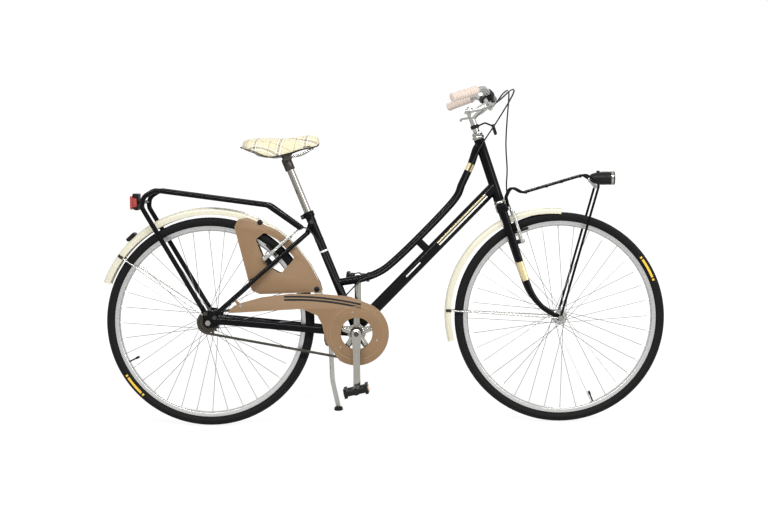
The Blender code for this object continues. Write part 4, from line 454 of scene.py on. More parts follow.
def product(tree, first, second, clamp=False):
    return maths(tree, "MULTIPLY", first, second, clamp)


def blended(tree, share, first, second):
    """The two colours mixed. A Mix node keeps its colours in sockets 6 and 7, and puts them out in 2."""
    values = {"Factor": share, 6: first, 7: second}
    return node(tree, "Mix", values, data_type="RGBA").outputs[2]


def mottling_group():
    """Slow variation between a colour and its tint."""
    sockets = [("Place", "Vector", None), ("Colour", "Color", None), ("Tint", "Color", None)]
    sockets += [("Scale", "Float", 40), ("Amount", "Float", 0.5)]
    tree, given, out = new_group("mottling", sockets, [("Colour", "Color")])
    cloud = node(tree, "TexNoise", {"Vector": given["Place"], "Scale": given["Scale"], "Detail": 5})
    share = product(tree, cloud.outputs["Fac"], given["Amount"], True)
    tree.links.new(blended(tree, share, given["Colour"], given["Tint"]), out["Colour"])
    return tree


def grain_group():
    """The fine skin of a moulding or a paint film, as a height in metres."""
    sockets = [("Place", "Vector", None), ("Scale", "Float", 900), ("Depth", "Float", 1e-5)]
    tree, given, out = new_group("fine grain", sockets, [("Height", "Float")])
    skin = node(tree, "TexNoise", {"Vector": given["Place"], "Scale": given["Scale"], "Detail": 3})
    tree.links.new(product(tree, skin.outputs["Fac"], given["Depth"]), out["Height"])
    return tree


def polish_group():
    """Streaks left by brushing or polishing: a roughness that varies, and a slight height."""
    sockets = [("Place", "Vector", None), ("Stretch", "Vector", (200, 200, 200))]
    sockets += [("Roughness", "Float", 0.3), ("Swing", "Float", 0.1), ("Depth", "Float", 2e-6)]
    tree, given, out = new_group("polish", sockets, [("Roughness", "Float"), ("Height", "Float")])
    drawn = node(tree, "VectorMath", {0: given["Place"], 1: given["Stretch"]}, operation="MULTIPLY")
    streak = node(tree, "TexNoise", {"Vector": drawn.outputs[0], "Scale": 1, "Detail": 4})
    swing = product(tree, maths(tree, "SUBTRACT", streak.outputs["Fac"], 0.5), given["Swing"])
    tree.links.new(maths(tree, "ADD", given["Roughness"], swing, True), out["Roughness"])
    tree.links.new(product(tree, streak.outputs["Fac"], given["Depth"]), out["Height"])
    return tree


DUST_COLOUR = (0.42, 0.39, 0.34, 1)


def wear_group():
    """Rubbed edges and settled dust over a colour."""
    sockets = [("Place", "Vector", None), ("Colour", "Color", None), ("Bare", "Color", None)]
    sockets += [("Rubbed", "Float", 0.2), ("Dust", "Float", 0.05)]
    tree, given, out = new_group("wear", sockets, [("Colour", "Color")])
    surface = node(tree, "NewGeometry")
    edge = node(tree, "MapRange", {"Value": surface.outputs["Pointiness"], 1: 0.54, 2: 0.64})
    patchy = node(tree, "TexNoise", {"Vector": given["Place"], "Scale": 160, "Detail": 6})
    rub = product(tree, product(tree, edge.outputs[0], patchy.outputs["Fac"]), given["Rubbed"], True)
    rubbed = blended(tree, rub, given["Colour"], given["Bare"])
    upright = node(tree, "SeparateXYZ", {0: surface.outputs["Normal"]})
    facing = maths(tree, "POWER", maths(tree, "MAXIMUM", upright.outputs[2], 0), 2)
    film = product(tree, product(tree, facing, patchy.outputs["Fac"]), given["Dust"], True)
    tree.links.new(blended(tree, film, rubbed, DUST_COLOUR), out["Colour"])
    return tree


def cells_group():
    """The small prisms inside a reflector or a lens, as a height in metres and a painted shade for their
    facets.
    """
    sockets = [("Place", "Vector", None), ("Scale", "Float", 300), ("Depth", "Float", 0.0003)]
    tree, given, out = new_group("prism cells", sockets, [("Height", "Float"), ("Shade", "Float")])
    values = {"Vector": given["Place"], "Scale": given["Scale"], "Randomness": 0}
    cell = node(tree, "TexVoronoi", values, distance="MANHATTAN")
    tree.links.new(product(tree, cell.outputs["Distance"], given["Depth"]), out["Height"])
    tree.links.new(cell.outputs["Distance"], out["Shade"])
    return tree


CHECK_REPEAT = 0.074
THREAD = 0.0009
THREAD_DEPTH = 6e-5
# Half its width, its middle and its colour, for each stripe of the check, as shares of the repeat
STRIPES = [(0.13, 0.58, "Dark"), (0.115, 0.58, "White"), (0.045, 0.58, "Brown"), (0.012, 0.18, "Dark")]


def tartan_group():
    """A traditional check in cream, white and brown, woven in a fine twill."""
    sockets = [("Across", "Float", 0), ("Along", "Float", 0), ("Ground", "Color", None)]
    sockets += [("White", "Color", None), ("Brown", "Color", None), ("Dark", "Color", None)]
    tree, given, out = new_group("tartan", sockets, [("Colour", "Color"), ("Height", "Float")])
    bands = {}
    for label in ("Across", "Along"):
        share = maths(tree, "FRACT", maths(tree, "DIVIDE", given[label], CHECK_REPEAT))
        colour = given["Ground"]
        for half, centre, name in STRIPES:
            off = maths(tree, "ABSOLUTE", maths(tree, "SUBTRACT", share, centre))
            colour = blended(tree, maths(tree, "LESS_THAN", off, half), colour, given[name])
        bands[label] = colour
    turns = maths(tree, "DIVIDE", maths(tree, "ADD", given["Across"], given["Along"]), 2 * THREAD)
    twill = maths(tree, "GREATER_THAN", maths(tree, "FRACT", turns), 0.5)
    tree.links.new(blended(tree, twill, bands["Across"], bands["Along"]), out["Colour"])
    waves = [maths(tree, "SINE", product(tree, given[key], TURN / THREAD)) for key in ("Across", "Along")]
    tree.links.new(product(tree, product(tree, *waves), THREAD_DEPTH), out["Height"])
    return tree


GROUPS = {
    "mottling": mottling_group(),
    "grain": grain_group(),
    "polish": polish_group(),
    "wear": wear_group(),
    "cells": cells_group(),
    "tartan": tartan_group(),
}


def placed(tree, name, values):
    """The outputs of this group, placed in the tree with these inputs."""
    made = tree.nodes.new("ShaderNodeGroup")
    made.node_tree = GROUPS[name]
    return wired(tree, made, values).outputs


def shader_of(name):
    """A new material, its tree, its shader and the object's own coordinates."""
    material = bpy.data.materials.new(name)
    material.use_nodes = True
    tree = material.node_tree
    shader = tree.nodes["Principled BSDF"]
    place = node(tree, "TexCoord").outputs["Object"]
    return material, tree, shader, place


def bumped(tree, height):
    """The normal of a surface with this height, in metres."""
    return node(tree, "Bump", {"Height": height, "Strength": 1, "Distance": 1}).outputs[0]


POLISH_DEPTH = 2e-6


def finish(
    name, colour, tint, roughness, metallic=0, coat=0, mottle=(35, 0.5), grain=(900, 1e-5),
    stretch=(200, 200, 200), swing=0.08, bare=(0.45, 0.44, 0.42), rubbed=0.15, dust=0.04, gloss=0.5,
):
    """A material with mottling, grain, polish and wear, each with its own amounts."""
    material, tree, shader, place = shader_of(name)
    clouds = {"Place": place, "Colour": (*colour, 1), "Tint": (*tint, 1)}
    clouded = placed(tree, "mottling", {**clouds, "Scale": mottle[0], "Amount": mottle[1]})["Colour"]
    wear = {"Place": place, "Colour": clouded, "Bare": (*bare, 1), "Rubbed": rubbed, "Dust": dust}
    worn = placed(tree, "wear", wear)["Colour"]
    streaks = {"Place": place, "Stretch": stretch, "Roughness": roughness, "Swing": swing}
    polish = placed(tree, "polish", {**streaks, "Depth": POLISH_DEPTH})
    fine = placed(tree, "grain", {"Place": place, "Scale": grain[0], "Depth": grain[1]})["Height"]
    values = {
        "Base Color": worn,
        "Roughness": polish["Roughness"],
        "Normal": bumped(tree, maths(tree, "ADD", fine, polish["Height"])),
        "Metallic": metallic,
        "Coat Weight": coat,
        "Coat Roughness": 0.04,
        "Specular IOR Level": gloss,
    }
    wired(tree, shader, values)
    return material


def reflector_finish(name, colour, deep, scale):
    """Coloured plastic with prisms behind its face, the prisms' facet shade and glint painted into its
    colour.
    """
    material, tree, shader, place = shader_of(name)
    prisms = placed(tree, "cells", {"Place": place, "Scale": scale, "Depth": 0.0004})
    # Painted facet shade and glint: the colour is deep at each prism cell's middle and bright towards its
    # edges.
    shade = product(tree, prisms["Shade"], 1.2, True)
    values = {
        "Base Color": blended(tree, shade, (*deep, 1), (*colour, 1)),
        "Normal": bumped(tree, prisms["Height"]),
        "Roughness": 0.18,
        "Coat Weight": 1,
        "Coat Roughness": 0.03,
    }
    wired(tree, shader, values)
    return material


SADDLE_CREST = 0.955
FLANK_STRETCH = 0.75
CHECK_SKEW = 0.22
ABOVE_ZERO = 2
MIDDLE_SHIFT = 0.002


def saddle_finish():
    """Woven check, its lines running down the saddle's flanks."""
    material, tree, shader, place = shader_of("saddle tartan")
    axis = node(tree, "SeparateXYZ", {0: place}).outputs
    flank = product(tree, maths(tree, "SUBTRACT", SADDLE_CREST, axis[2]), FLANK_STRETCH)
    out = maths(tree, "ADD", maths(tree, "ABSOLUTE", axis[1]), flank)
    skew = product(tree, out, CHECK_SKEW)
    lines = {
        "Across": maths(tree, "ADD", maths(tree, "ADD", axis[0], ABOVE_ZERO), skew),
        "Along": maths(tree, "ADD", out, ABOVE_ZERO + MIDDLE_SHIFT),
        "Ground": (0.7, 0.64, 0.44, 1),
        "White": (0.84, 0.83, 0.76, 1),
        "Brown": (0.22, 0.16, 0.08, 1),
        "Dark": (0.13, 0.1, 0.06, 1),
    }
    check = placed(tree, "tartan", lines)
    wear = {"Place": place, "Colour": check["Colour"], "Rubbed": 0.2, "Dust": 0.02}
    worn = placed(tree, "wear", {**wear, "Bare": (0.8, 0.76, 0.62, 1)})["Colour"]
    fuzz = placed(tree, "grain", {"Place": place, "Scale": 1600, "Depth": 8e-5})["Height"]
    values = {
        "Base Color": worn,
        "Normal": bumped(tree, maths(tree, "ADD", fuzz, check["Height"])),
        "Roughness": 0.82,
        "Sheen Weight": 0.25,
    }
    wired(tree, shader, values)
    return material


def lens_finish():
    """Clear moulded plastic with flutes that throw the lamp's light down the road."""
    material, tree, shader, place = shader_of("clear lens")
    flutes = placed(tree, "cells", {"Place": place, "Scale": 160, "Depth": 0.0006})
    values = {
        "Base Color": (0.96, 0.97, 0.98, 1),
        "Normal": bumped(tree, flutes["Height"]),
        "Roughness": 0.03,
        "Transmission Weight": 0.9,
        "IOR": 1.49,
    }
    wired(tree, shader, values)
    return material


def grey(level):
    return (level, level, level)


# For each finish: colour, tint, roughness and metallic, then how it is grained, polished and worn
BLACK_PAINT = finish(
    "gloss black paint", (0.002, 0.002, 0.003), (0.004, 0.004, 0.005), 0.14, coat=0.06,
    grain=(260, 8e-6), rubbed=0.02, dust=0.004, gloss=0.07,
)
CREAM_PAINT = finish(
    "cream paint", (0.64, 0.61, 0.48), (0.6, 0.57, 0.44), 0.3, coat=0.6,
    grain=(240, 1.6e-5), bare=(0.5, 0.48, 0.4),
)
TAN_PLASTIC = finish(
    "tan moulded plastic", (0.235, 0.142, 0.07), (0.2, 0.118, 0.056), 0.42,
    grain=(2600, 2e-5), bare=(0.5, 0.34, 0.2), rubbed=0.5,
)
BEIGE_RUBBER = finish(
    "beige grip rubber", (0.64, 0.54, 0.47), (0.54, 0.44, 0.37), 0.72,
    grain=(2200, 4e-5), bare=(0.84, 0.76, 0.68), rubbed=0.9,
)
SILVER = finish(
    "satin alloy", (0.5, 0.5, 0.48), (0.42, 0.42, 0.4), 0.27, 1,
    grain=(1400, 4e-6), stretch=(60, 900, 900),
)
RIM_ALLOY = finish(
    "rim alloy", (0.58, 0.58, 0.57), (0.5, 0.5, 0.49), 0.3, 1,
    grain=(1200, 4e-6), stretch=(120, 1600, 120),
)
CHROME = finish(
    "chrome plate", (0.4, 0.39, 0.35), (0.3, 0.29, 0.25), 0.12, 1,
    grain=(300, 4e-6), swing=0.05, rubbed=0.05,
)
SPOKE_STEEL = finish("spoke steel", grey(0.26), grey(0.2), 0.24, 1, grain=(800, 2e-6))
DARK_STEEL = finish(
    "oiled steel", (0.075, 0.068, 0.058), (0.04, 0.036, 0.03), 0.36, 1,
    mottle=(120, 0.8), grain=(1500, 1e-5), swing=0.25,
)
BLACK_PLASTIC = finish(
    "black moulded plastic", grey(0.007), grey(0.013), 0.4,
    grain=(2400, 2e-5), bare=grey(0.05), dust=0.012, gloss=0.15,
)
CABLE_COVER = finish(
    "cable cover", (0.007, 0.007, 0.008), grey(0.014), 0.34, grain=(1500, 8e-6), gloss=0.3,
)
TYRE_RUBBER = finish(
    "tyre rubber", (0.005, 0.005, 0.006), grey(0.01), 0.7, mottle=(60, 0.7),
    grain=(1800, 4e-5), bare=(0.04, 0.039, 0.037), rubbed=0.4, dust=0.012, gloss=0.12,
)
YELLOW_MARK = finish("yellow ink", (0.8, 0.52, 0.03), (0.7, 0.42, 0.02), 0.55, grain=(1800, 2e-5))
GOLD_BAND = finish("gold band", (0.66, 0.55, 0.3), (0.58, 0.47, 0.24), 0.3, 0.6, 0.8)
WHITE_BAND = finish("white band", (0.82, 0.82, 0.8), (0.76, 0.76, 0.74), 0.3, coat=0.8)
BLACK_BAND = finish("black band", (0.008, 0.008, 0.007), (0.012, 0.011, 0.01), 0.4, gloss=0.3)
SADDLE_BASE = finish(
    "saddle base", grey(0.007), grey(0.014), 0.5, grain=(700, 6e-5), bare=grey(0.08),
)
RED_REFLECTOR = reflector_finish("red reflector", (0.4, 0.02, 0.015), (0.14, 0.004, 0.004), 420)
AMBER_REFLECTOR = reflector_finish("amber reflector", (0.85, 0.32, 0.02), (0.45, 0.12, 0.01), 480)
SADDLE_TARTAN = saddle_finish()
CLEAR_LENS = lens_finish()
def keep(material, *names):
    """These CAD nodes stay in view, in this material."""
    for name in names:
        dressed(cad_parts[name].data, material)


# Wheels

# The tyre's inner and outer skin as (radius, across), from its bead to the crown of its tread
CASING = [(0.3105, 0.01), (0.3173, 0.0106), (0.324, 0.015), (0.3315, 0.0175), (0.3378, 0.016)]
CASING += [(0.3418, 0.0125), (0.3443, 0.007), (0.3451, 0)]
WIDEST = 3
# The rim's section as (radius, across), from its hook to the middle of its spoke bed
RIM = [(0.31, 0.0098), (0.3166, 0.0098), (0.3172, 0.0104), (0.3172, 0.0116), (0.3166, 0.0121)]
RIM += [(0.306, 0.0121), (0.305, 0.0117), (0.3022, 0.0078), (0.301, 0.0058), (0.3006, 0)]
SPOKE_BED = 0.3012
SPOKE_END = 0.3008
SPOKE_ASIDE = 0.0022
SPOKES = 36
SPOKE_LEAD = math.radians(60)
SPOKE_WIRE = 0.00095
KNOBS = 200
KNOB_ROOT = 0.0012
KNOB_TAPER = 0.82
RIBS = ((0.3262, 0.016), (0.3215, 0.0134))
MARK_FLANK = [(0.3275, 0.0172), (0.3312, 0.0181), (0.3348, 0.0178), (0.3348, 0.016), (0.3275, 0.0158)]
# Each yellow mark's start and length round the tyre, after the first one's place
MARK_RUNS = ((0, 0.02), (0.035, 0.2), (0.25, 0.02))
MARKS = {"front": math.radians(36), "rear": math.radians(227)}
VALVES = {"front": math.radians(-69), "rear": math.radians(205.5)}
# Each hub's centre, flange radius, flange offset, and its reach to the right and to the left
HUBS = {"front": (FRONT_HUB, 0.023, 0.031, 0.045, 0.045), "rear": (REAR_HUB, 0.028, 0.029, 0.036, 0.052)}
BARREL = 0.014


def casing_radius(across):
    """The tyre's radius at this distance from its middle line."""
    outer = sorted((y, r) for r, y in CASING[WIDEST:])
    for (low, first), (high, second) in zip(outer, outer[1:]):
        if abs(across) <= high:
            return first + (second - first) * (abs(across) - low) / (high - low)
    return outer[-1][1]


def knob(shape, angle, near, far, span, lean, rise):
    """A tread block from this distance to that one across the tyre, over this angle."""
    corners = []
    for height, share in ((-KNOB_ROOT, 1), (rise, KNOB_TAPER)):
        for across, skew in ((near, 0), (far, lean)):
            for half in (-span * share, span * share):
                a = angle + skew + half
                r = casing_radius(across) + height
                corners.append(shape.verts.new((r * math.cos(a), r * math.sin(a), across)))
    for ring in ((0, 1, 3, 2), (4, 6, 7, 5), (0, 4, 5, 1), (2, 3, 7, 6), (0, 2, 6, 4), (1, 5, 7, 3)):
        shape.faces.new([corners[i] for i in ring])


def tread(place):
    """Four rows of slanted blocks beside a row of bars on the middle line."""
    shape = bmesh.new()
    pitch = TURN / KNOBS
    for index in range(KNOBS):
        angle = pitch * index
        between = angle + pitch * 0.5
        for side in (1, -1):
            knob(shape, angle, side * 0.009, side * 0.0126, pitch * 0.32, pitch * 0.5, 0.001)
            knob(shape, between, side * 0.0132, side * 0.0156, pitch * 0.32, pitch * 0.3, 0.0009)
            knob(shape, between, side * 0.005, side * 0.0078, pitch * 0.36, pitch * -0.4, 0.0008)
        knob(shape, angle, -0.003, 0.003, pitch * 0.42, 0, 0.0008)
    return loose(shape, place)


def both_sides(half):
    """The profile of (radius, across) carried on to the other side of the wheel."""
    return half + [(r, -y) for r, y in reversed(half[:-1])]


def tyre_piece(end, centre, body):
    place = axle_place(centre)
    half = [(p.x, p.y) for p in smooth([(r, y, 0) for r, y in CASING], 4)]
    rubber = [turned(both_sides(half), place, 240)]
    marks = []
    for side in (1, -1):
        for radius, across in RIBS:
            rib = [(radius, across), (radius + 0.0014, across + 0.0008), (radius + 0.002, across - 0.0002)]
            rubber.append(turned([(r, side * y) for r, y in rib], place, 160))
        for shift, length in MARK_RUNS:
            outline = [(r, side * y) for r, y in MARK_FLANK]
            start = shift - MARKS[end]
            marks.append(turned(outline, place, 8, start=start, end=start + length))
    whole = {TYRE_RUBBER: [*rubber, tread(place)], YELLOW_MARK: marks}
    piece(f"{end}_tyre_tread", whole, body, "tyre_rubber", f"{end}_tyre")


def spokes_of(end):
    """For each spoke: its side, its lead, the way out to its rim hole and to its flange hole."""
    for index in range(SPOKES):
        angle = TURN * index / SPOKES
        side = LEFT if index % 2 else RIGHT
        lead = 1 if (index // 2) % 2 else -1
        yield side, lead, outward(angle), outward(angle + lead * SPOKE_LEAD)


def rim_piece(end, centre, body):
    _, flange, offset, _, _ = HUBS[end]
    parts = [turned(both_sides(RIM), axle_place(centre), 216)]
    for side, lead, out, low in spokes_of(end):
        foot = centre + out * SPOKE_BED + SIDE * side * SPOKE_ASIDE
        hub = centre + low * flange + SIDE * side * offset
        along = (hub - foot).normalized()
        nipple = [foot, foot + along * 0.0125, foot + along * 0.013]
        parts.append(pipe(nipple, 0.0019, 8, [1, 0.9, 0.6]))
        parts.append(pipe([foot - out * 0.0008, foot + out * 0.0014], 0.0034, 12))
    piece(f"{end}_rim_alloy", {RIM_ALLOY: parts}, body, "silver", f"{end}_rim")


def hub_piece(end, centre, body):
    """The hub's barrel between two flanges, with its spokes, each bent at its flange."""
    _, radius, offset, right, left = HUBS[end]
    profile = [(0.0054, -right), (0.011, -right), (0.0122, -right + 0.002), (0.0128, -offset - 0.0035)]
    for side in (-1, 1):
        middle = side * offset
        profile += [(radius - 0.0012, middle - 0.003), (radius, middle - 0.0018)]
        profile += [(radius, middle + 0.0018), (radius - 0.0012, middle + 0.003)]
        if side < 0:
            profile += [(BARREL + 0.002, -offset + 0.006), (BARREL, -offset + 0.012)]
            profile += [(BARREL, offset - 0.012), (BARREL + 0.002, offset - 0.006)]
    profile += [(0.0128, offset + 0.0035), (0.0122, left - 0.002), (0.011, left), (0.0054, left)]
    spokes = []
    for side, lead, out, low in spokes_of(end):
        hole = centre + low * (radius - 0.003)
        head = hole + SIDE * side * (offset - lead * 0.0042)
        elbow = hole + SIDE * side * (offset + lead * 0.0036)
        rim = centre + out * SPOKE_END + SIDE * side * SPOKE_ASIDE
        spokes.append(pipe(bent([head, elbow, rim], 0.0022, 3), SPOKE_WIRE, 7))
        spokes.append(pipe([head, head - SIDE * side * lead * 0.0008], 2 * SPOKE_WIRE, 8, [1, 0.6]))
    shell = turned(profile, axle_place(centre), 48)
    piece(f"{end}_hub_and_spokes", {SILVER: shell, SPOKE_STEEL: spokes}, body, "silver", f"{end}_hub")


def valve_piece(end, centre, body):
    out = outward(VALVES[end])
    cap = [(0, 0), (0.0036, 0), (0.004, 0.001), (0.004, 0.011), (0.003, 0.013), (0, 0.013)]
    parts = [
        rod(0.0026, centre + out * 0.3014, centre + out * 0.276, 12),
        turned(cap, aimed(centre + out * 0.279, centre + out * 0.25), 14),
    ]
    piece(f"{end}_valve", {BLACK_PLASTIC: parts}, body, "black_plastic")


for end, centre in (("front", FRONT_HUB), ("rear", REAR_HUB)):
    for make in (tyre_piece, rim_piece, hub_piece, valve_piece):
        make(end, centre, f"{end}_wheel")

# Frame tubes

SEAT_TUBE = 0.0143
TOP_TUBE = 0.0127
DOWN_TUBE = 0.0195
BRIDGE_TUBE = 0.013
BRIDGE_LENGTH = 0.06
CHAIN_STAY = 0.015
CHAIN_STAY_TAPER = 0.27
CHAIN_STAY_OVAL = 0.62
HEAD_TUBE_BORE = 0.0127
BAND_RISE = 0.0003
SHELL_HALF = 0.034
# The top tube's path, as (down, ahead) from the head tube and as (up, back) from the crank
NECK_FRONT = [(-0.197, 0), (-0.186, -0.018), (-0.145, -0.049), (-0.092, -0.0985), (-0.048, -0.142)]
NECK_FRONT += [(0.03, -0.2865)]
NECK_BACK = [(0.166, -0.189), (0.155, -0.133), (0.1585, -0.076), (0.172, -0.016), (0.176, 0)]
NECK_GOLD = (0.83, 0.862)
NECK_GOLD_FROM = 0.8
# The dropout's plate and its two bolts, seen from the side, from the rear axle
DROPOUT = [(-0.014, -0.008), (-0.006, -0.015), (0.01, -0.015), (0.036, -0.009), (0.038, 0.012)]
DROPOUT += [(0.032, 0.028), (0.014, 0.04), (-0.01, 0.042), (-0.018, 0.03)]
DROPOUT_BOLTS = ((0.022, 0.017), (-0.008, 0.031))
# The painted lines on the down tube: from and to which share of it, how far up, and their paint
DOWN_TUBE_LINES = [(0.06, 0.4, 0.004, GOLD_BAND), (0.06, 0.4, -0.004, WHITE_BAND)]
DOWN_TUBE_LINES += [(0.53, 0.63, 0, WHITE_BAND)]
CHAIN_STAY_LINE = ((0.3, 0.0548), (0.6, 0.0449))
STAY_PLANE = 0.0668
STAY_FOOT = at(0.036, STAY_PLANE, 0.384)
STAY_TOP = at(0.3269, 0.01934, 0.63423)
STAY_BEND_SHARE = 0.9
STAY_BEND_Y = 0.034
STAY_BOLT = at(0.022, STAY_PLANE, 0.363)
LUG_PLATE = 0.003


def sided(point, side):
    """The point on this side of the bicycle."""
    return at(point.x, side * point.y, point.z)


def band(points, radius, oval=1, shares=None):
    """A painted ring that lies on a tube."""
    return pipe(points, radius + BAND_RISE, 32, shares, oval)


def head_tube():
    """The head tube with a thicker ring at each end."""
    top = HEAD_TUBE_LENGTH
    ring = [(HEAD_TUBE_BORE, 0.0003), (0.0168, 0.0003), (0.0174, 0.001), (0.0174, 0.012), (0.017, 0.014)]
    profile = ring + [(r, top - h) for r, h in reversed(ring)]
    return turned(profile, aimed(steer(0), steer(-1)), 40)


def rear_triangle(side):
    """A chain stay with its dropout and the dropout's bolts."""
    begin = CRANK + at(-0.006, side * 0.02, 0.004)
    close = CRANK + at(-0.06, side * 0.0285, 0.005)
    last = REAR_HUB + at(0.019, side * 0.0584, 0.004)
    stay = smooth([begin, close, last + at(0.03, 0, 0.0005), last], 8)
    count = len(stay)
    shares = [1 - CHAIN_STAY_TAPER * i / (count - 1) for i in range(count)]
    outline = rounded(spread(DROPOUT, REAR_HUB), 0.004)
    inside = side * REAR_DROPOUT / 2
    middle = inside + side * DROPOUT_WALL / 2
    parts = [pipe(stay, CHAIN_STAY, 24, shares, CHAIN_STAY_OVAL)]
    parts.append(plate([outline], DROPOUT_WALL, side_plane(middle), 0.0006))
    for x, z in DROPOUT_BOLTS:
        parts += hexagon_bolt(REAR_HUB + at(x, inside, z), at(0, -side, 0), 0.0048, 0.003, False)
    return parts


def frame_piece():
    """The seat tube, head tube, curved top tube, down tube, stays and dropouts."""
    black = [rod(SEAT_TUBE, CRANK, seat(SEAT_TUBE_LENGTH), 32), head_tube()]
    neck = smooth([steer(*p) for p in NECK_FRONT] + [seat(*p) for p in NECK_BACK], 8)
    black.append(pipe(neck, TOP_TUBE, 28))
    start = steer(-0.0488)
    end = seat(0.012, 0.004)
    black.append(pipe([start, end], DOWN_TUBE, 36))
    upright = -SIDE.cross((end - start).normalized()).normalized()
    if upright.z < 0:
        upright = -upright
    middle = start.lerp(end, 0.46)
    black.append(pipe([middle, middle + upright * BRIDGE_LENGTH], BRIDGE_TUBE, 28))
    shell = hoop(0.0175, 0.021, SHELL_HALF, 0.0004, 0.0006)
    black.append(turned(shell, axle_place(CRANK), 40))
    for side in (LEFT, RIGHT):
        black += rear_triangle(side)
    stand_plate = block((0.04, 0.06, 0.01), shifted(0.395, 0, 0.305), 0.0025)
    post = seat(0.115)
    black += [stand_plate, rod(0.004, post, at(post.x, -0.0582, post.z), 16)]
    ring = [(SEAT_TUBE, -0.004), (0.015, -0.003), (0.015, 0.003), (SEAT_TUBE, 0.004)]
    for up in (0.12, 0.33):
        black.append(turned(ring, aimed(seat(up), seat(up + 0.1)), 32))
    black.append(pipe([seat(0.388), seat(0.4295)], 0.015, 32))
    low, high = NECK_GOLD
    gold = [p for p in neck if low <= p.z <= high and p.x > NECK_GOLD_FROM]
    coats = {BLACK_PAINT: black, GOLD_BAND: [band(gold, TOP_TUBE)], WHITE_BAND: []}
    for side in (LEFT, RIGHT):
        for low, high, rise, material in DOWN_TUBE_LINES:
            aside = upright * rise + SIDE * side * 0.0189
            ends = [start.lerp(end, share) + aside for share in (low, high)]
            coats[material].append(pipe(ends, 0.0026, 12, None, 0.3))
        ends = []
        for share, y in CHAIN_STAY_LINE:
            spot = REAR_HUB.lerp(CRANK, share)
            ends.append(at(spot.x, side * y, spot.z + 0.0036))
        coats[WHITE_BAND].append(pipe(ends, 0.0022, 12, None, 0.4))
    piece("frame_tubes", coats, FRAME, "black_paint", "frame")


def cable_clip():
    """The small white clip that holds the rear cable to the seat tube."""
    ring = turned(hoop(0.0146, 0.0158, 0.003), aimed(seat(0.29), seat(0.4)), 32)
    beside = (0.002, -0.0205)
    eye = turned(hoop(0.0027, 0.0037, 0.003), aimed(seat(0.29, *beside), seat(0.4, *beside)), 20)
    piece("cable_clip", {WHITE_BAND: [ring, eye]}, FRAME, "cream_paint")


def seat_stay(side, name):
    """A thin stay with its bolted plates at the dropout and at the seat tube."""
    foot = sided(STAY_FOOT, side)
    top = sided(STAY_TOP, side)
    bend = foot.lerp(top, STAY_BEND_SHARE)
    bend.y = side * STAY_BEND_Y
    low = sided(STAY_BOLT, side)
    high = seat(0.394, 0, side * 0.0161)
    lower = [link(flat(low), flat(foot), 0.009, 0.0075)]
    upper = [link(flat(high), flat(top), 0.009, 0.0075)]
    cap = [(0, -0.001), (0.0072, 0), (0.005, 0.0055), (0, 0.007)]
    parts = [
        pipe(bent([foot, bend, top], 0.05, 8), 0.007, 20),
        plate(lower, LUG_PLATE, side_plane(low.y), 0.0006),
        plate(upper, LUG_PLATE, side_plane(high.y), 0.0006),
        turned(cap, aimed(foot, foot - (top - foot)), 20),
    ]
    out = SIDE * side
    bolts = hexagon_bolt(low + out * LUG_PLATE / 2, out, 0.005, 0.004)
    bolts += hexagon_bolt(high + out * LUG_PLATE / 2, out, 0.005, 0.0044)
    whole = {BLACK_PAINT: parts, DARK_STEEL: bolts}
    piece(f"seat_stay_{name}_tube", whole, FRAME, "black_paint", f"seat_stay_{name}")


CUP = [(0.0129, 0.0003), (0.0176, 0.0003), (0.0196, 0.003), (0.02, 0.005)]
LOWER_CUP = CUP + [(0.02, 0.0085), (0.0188, 0.01), (0.017, 0.012), (0.0129, 0.012)]
UPPER_CUP = CUP + [(0.02, 0.0088), (0.0184, 0.0112), (0.0129, 0.0118)]
NUT_LOW = [(0.013, 0), (0.0174, 0), (0.0178, 0.0008), (0.0178, 0.004), (0.013, 0.004)]
NUT_HIGH = [(0.013, 0.0044), (0.0168, 0.0044), (0.0172, 0.005), (0.0172, 0.0095), (0.0155, 0.0108)]
NUT_HIGH += [(0.013, 0.0108)]


def headset():
    """The cups at both ends of the head tube, and the locknut over the upper one."""
    lower = {CHROME: turned(LOWER_CUP, aimed(steer(0), steer(1)), 40)}
    piece("lower_cup", lower, FRAME, "chrome", "headset_cup_lower")
    upper = {CHROME: turned(UPPER_CUP, aimed(steer(-HEAD_TUBE_LENGTH), steer(-1)), 40)}
    piece("upper_cup", upper, FRAME, "chrome", "headset_cup_upper")
    nut = aimed(steer(-0.2257), steer(-1))
    rings = {CHROME: [turned(NUT_LOW, nut, 40), turned(NUT_HIGH, nut, 8)]}
    piece("headset_nut", rings, "steering", "chrome", "headset_locknut")


frame_piece()
cable_clip()
for side, name in SIDES:
    seat_stay(side, name)
headset()

# Fork, mudguards, racks and lamps

# Each blade's path, as (down, ahead, aside) from the head tube's lower end
BLADE = [(0.0196, 0, 0.036), (0.149, 0, 0.038), (0.264, 0, 0.0435), (0.3236, 0.0048, 0.0485)]
BLADE += [(0.3747, 0.0238, 0.0525), (0.4118, 0.054, 0.0525)]
BLADE_RADIUS = 0.014
BLADE_OVAL = 0.64
BLADE_TAPER = 0.5
FORK_END_Y = 0.0525
BLADE_GOLD = (0.47, 0.534)
# A mudguard's outer skin, as (height over its edge, share of its half width)
GUARD_CROWN = [(0.004, 0.995), (0.009, 0.93), (0.0125, 0.82), (0.0148, 0.56), (0.0158, 0.3), (0.016, 0)]
GUARD_RISE = 0.0168
GUARD_WALL = 0.0013
FRONT_GUARD = FRONT_HUB + at(-0.0256, 0, 0.0103)
REAR_GUARD = REAR_HUB + at(0.0029, 0, -0.004)
FRONT_GUARD_RADIUS = 0.354
REAR_GUARD_RADIUS = 0.384
STAY_WIRE = 0.0025
STAY_INSET = 0.0096
STAY_PROUD = 0.0002
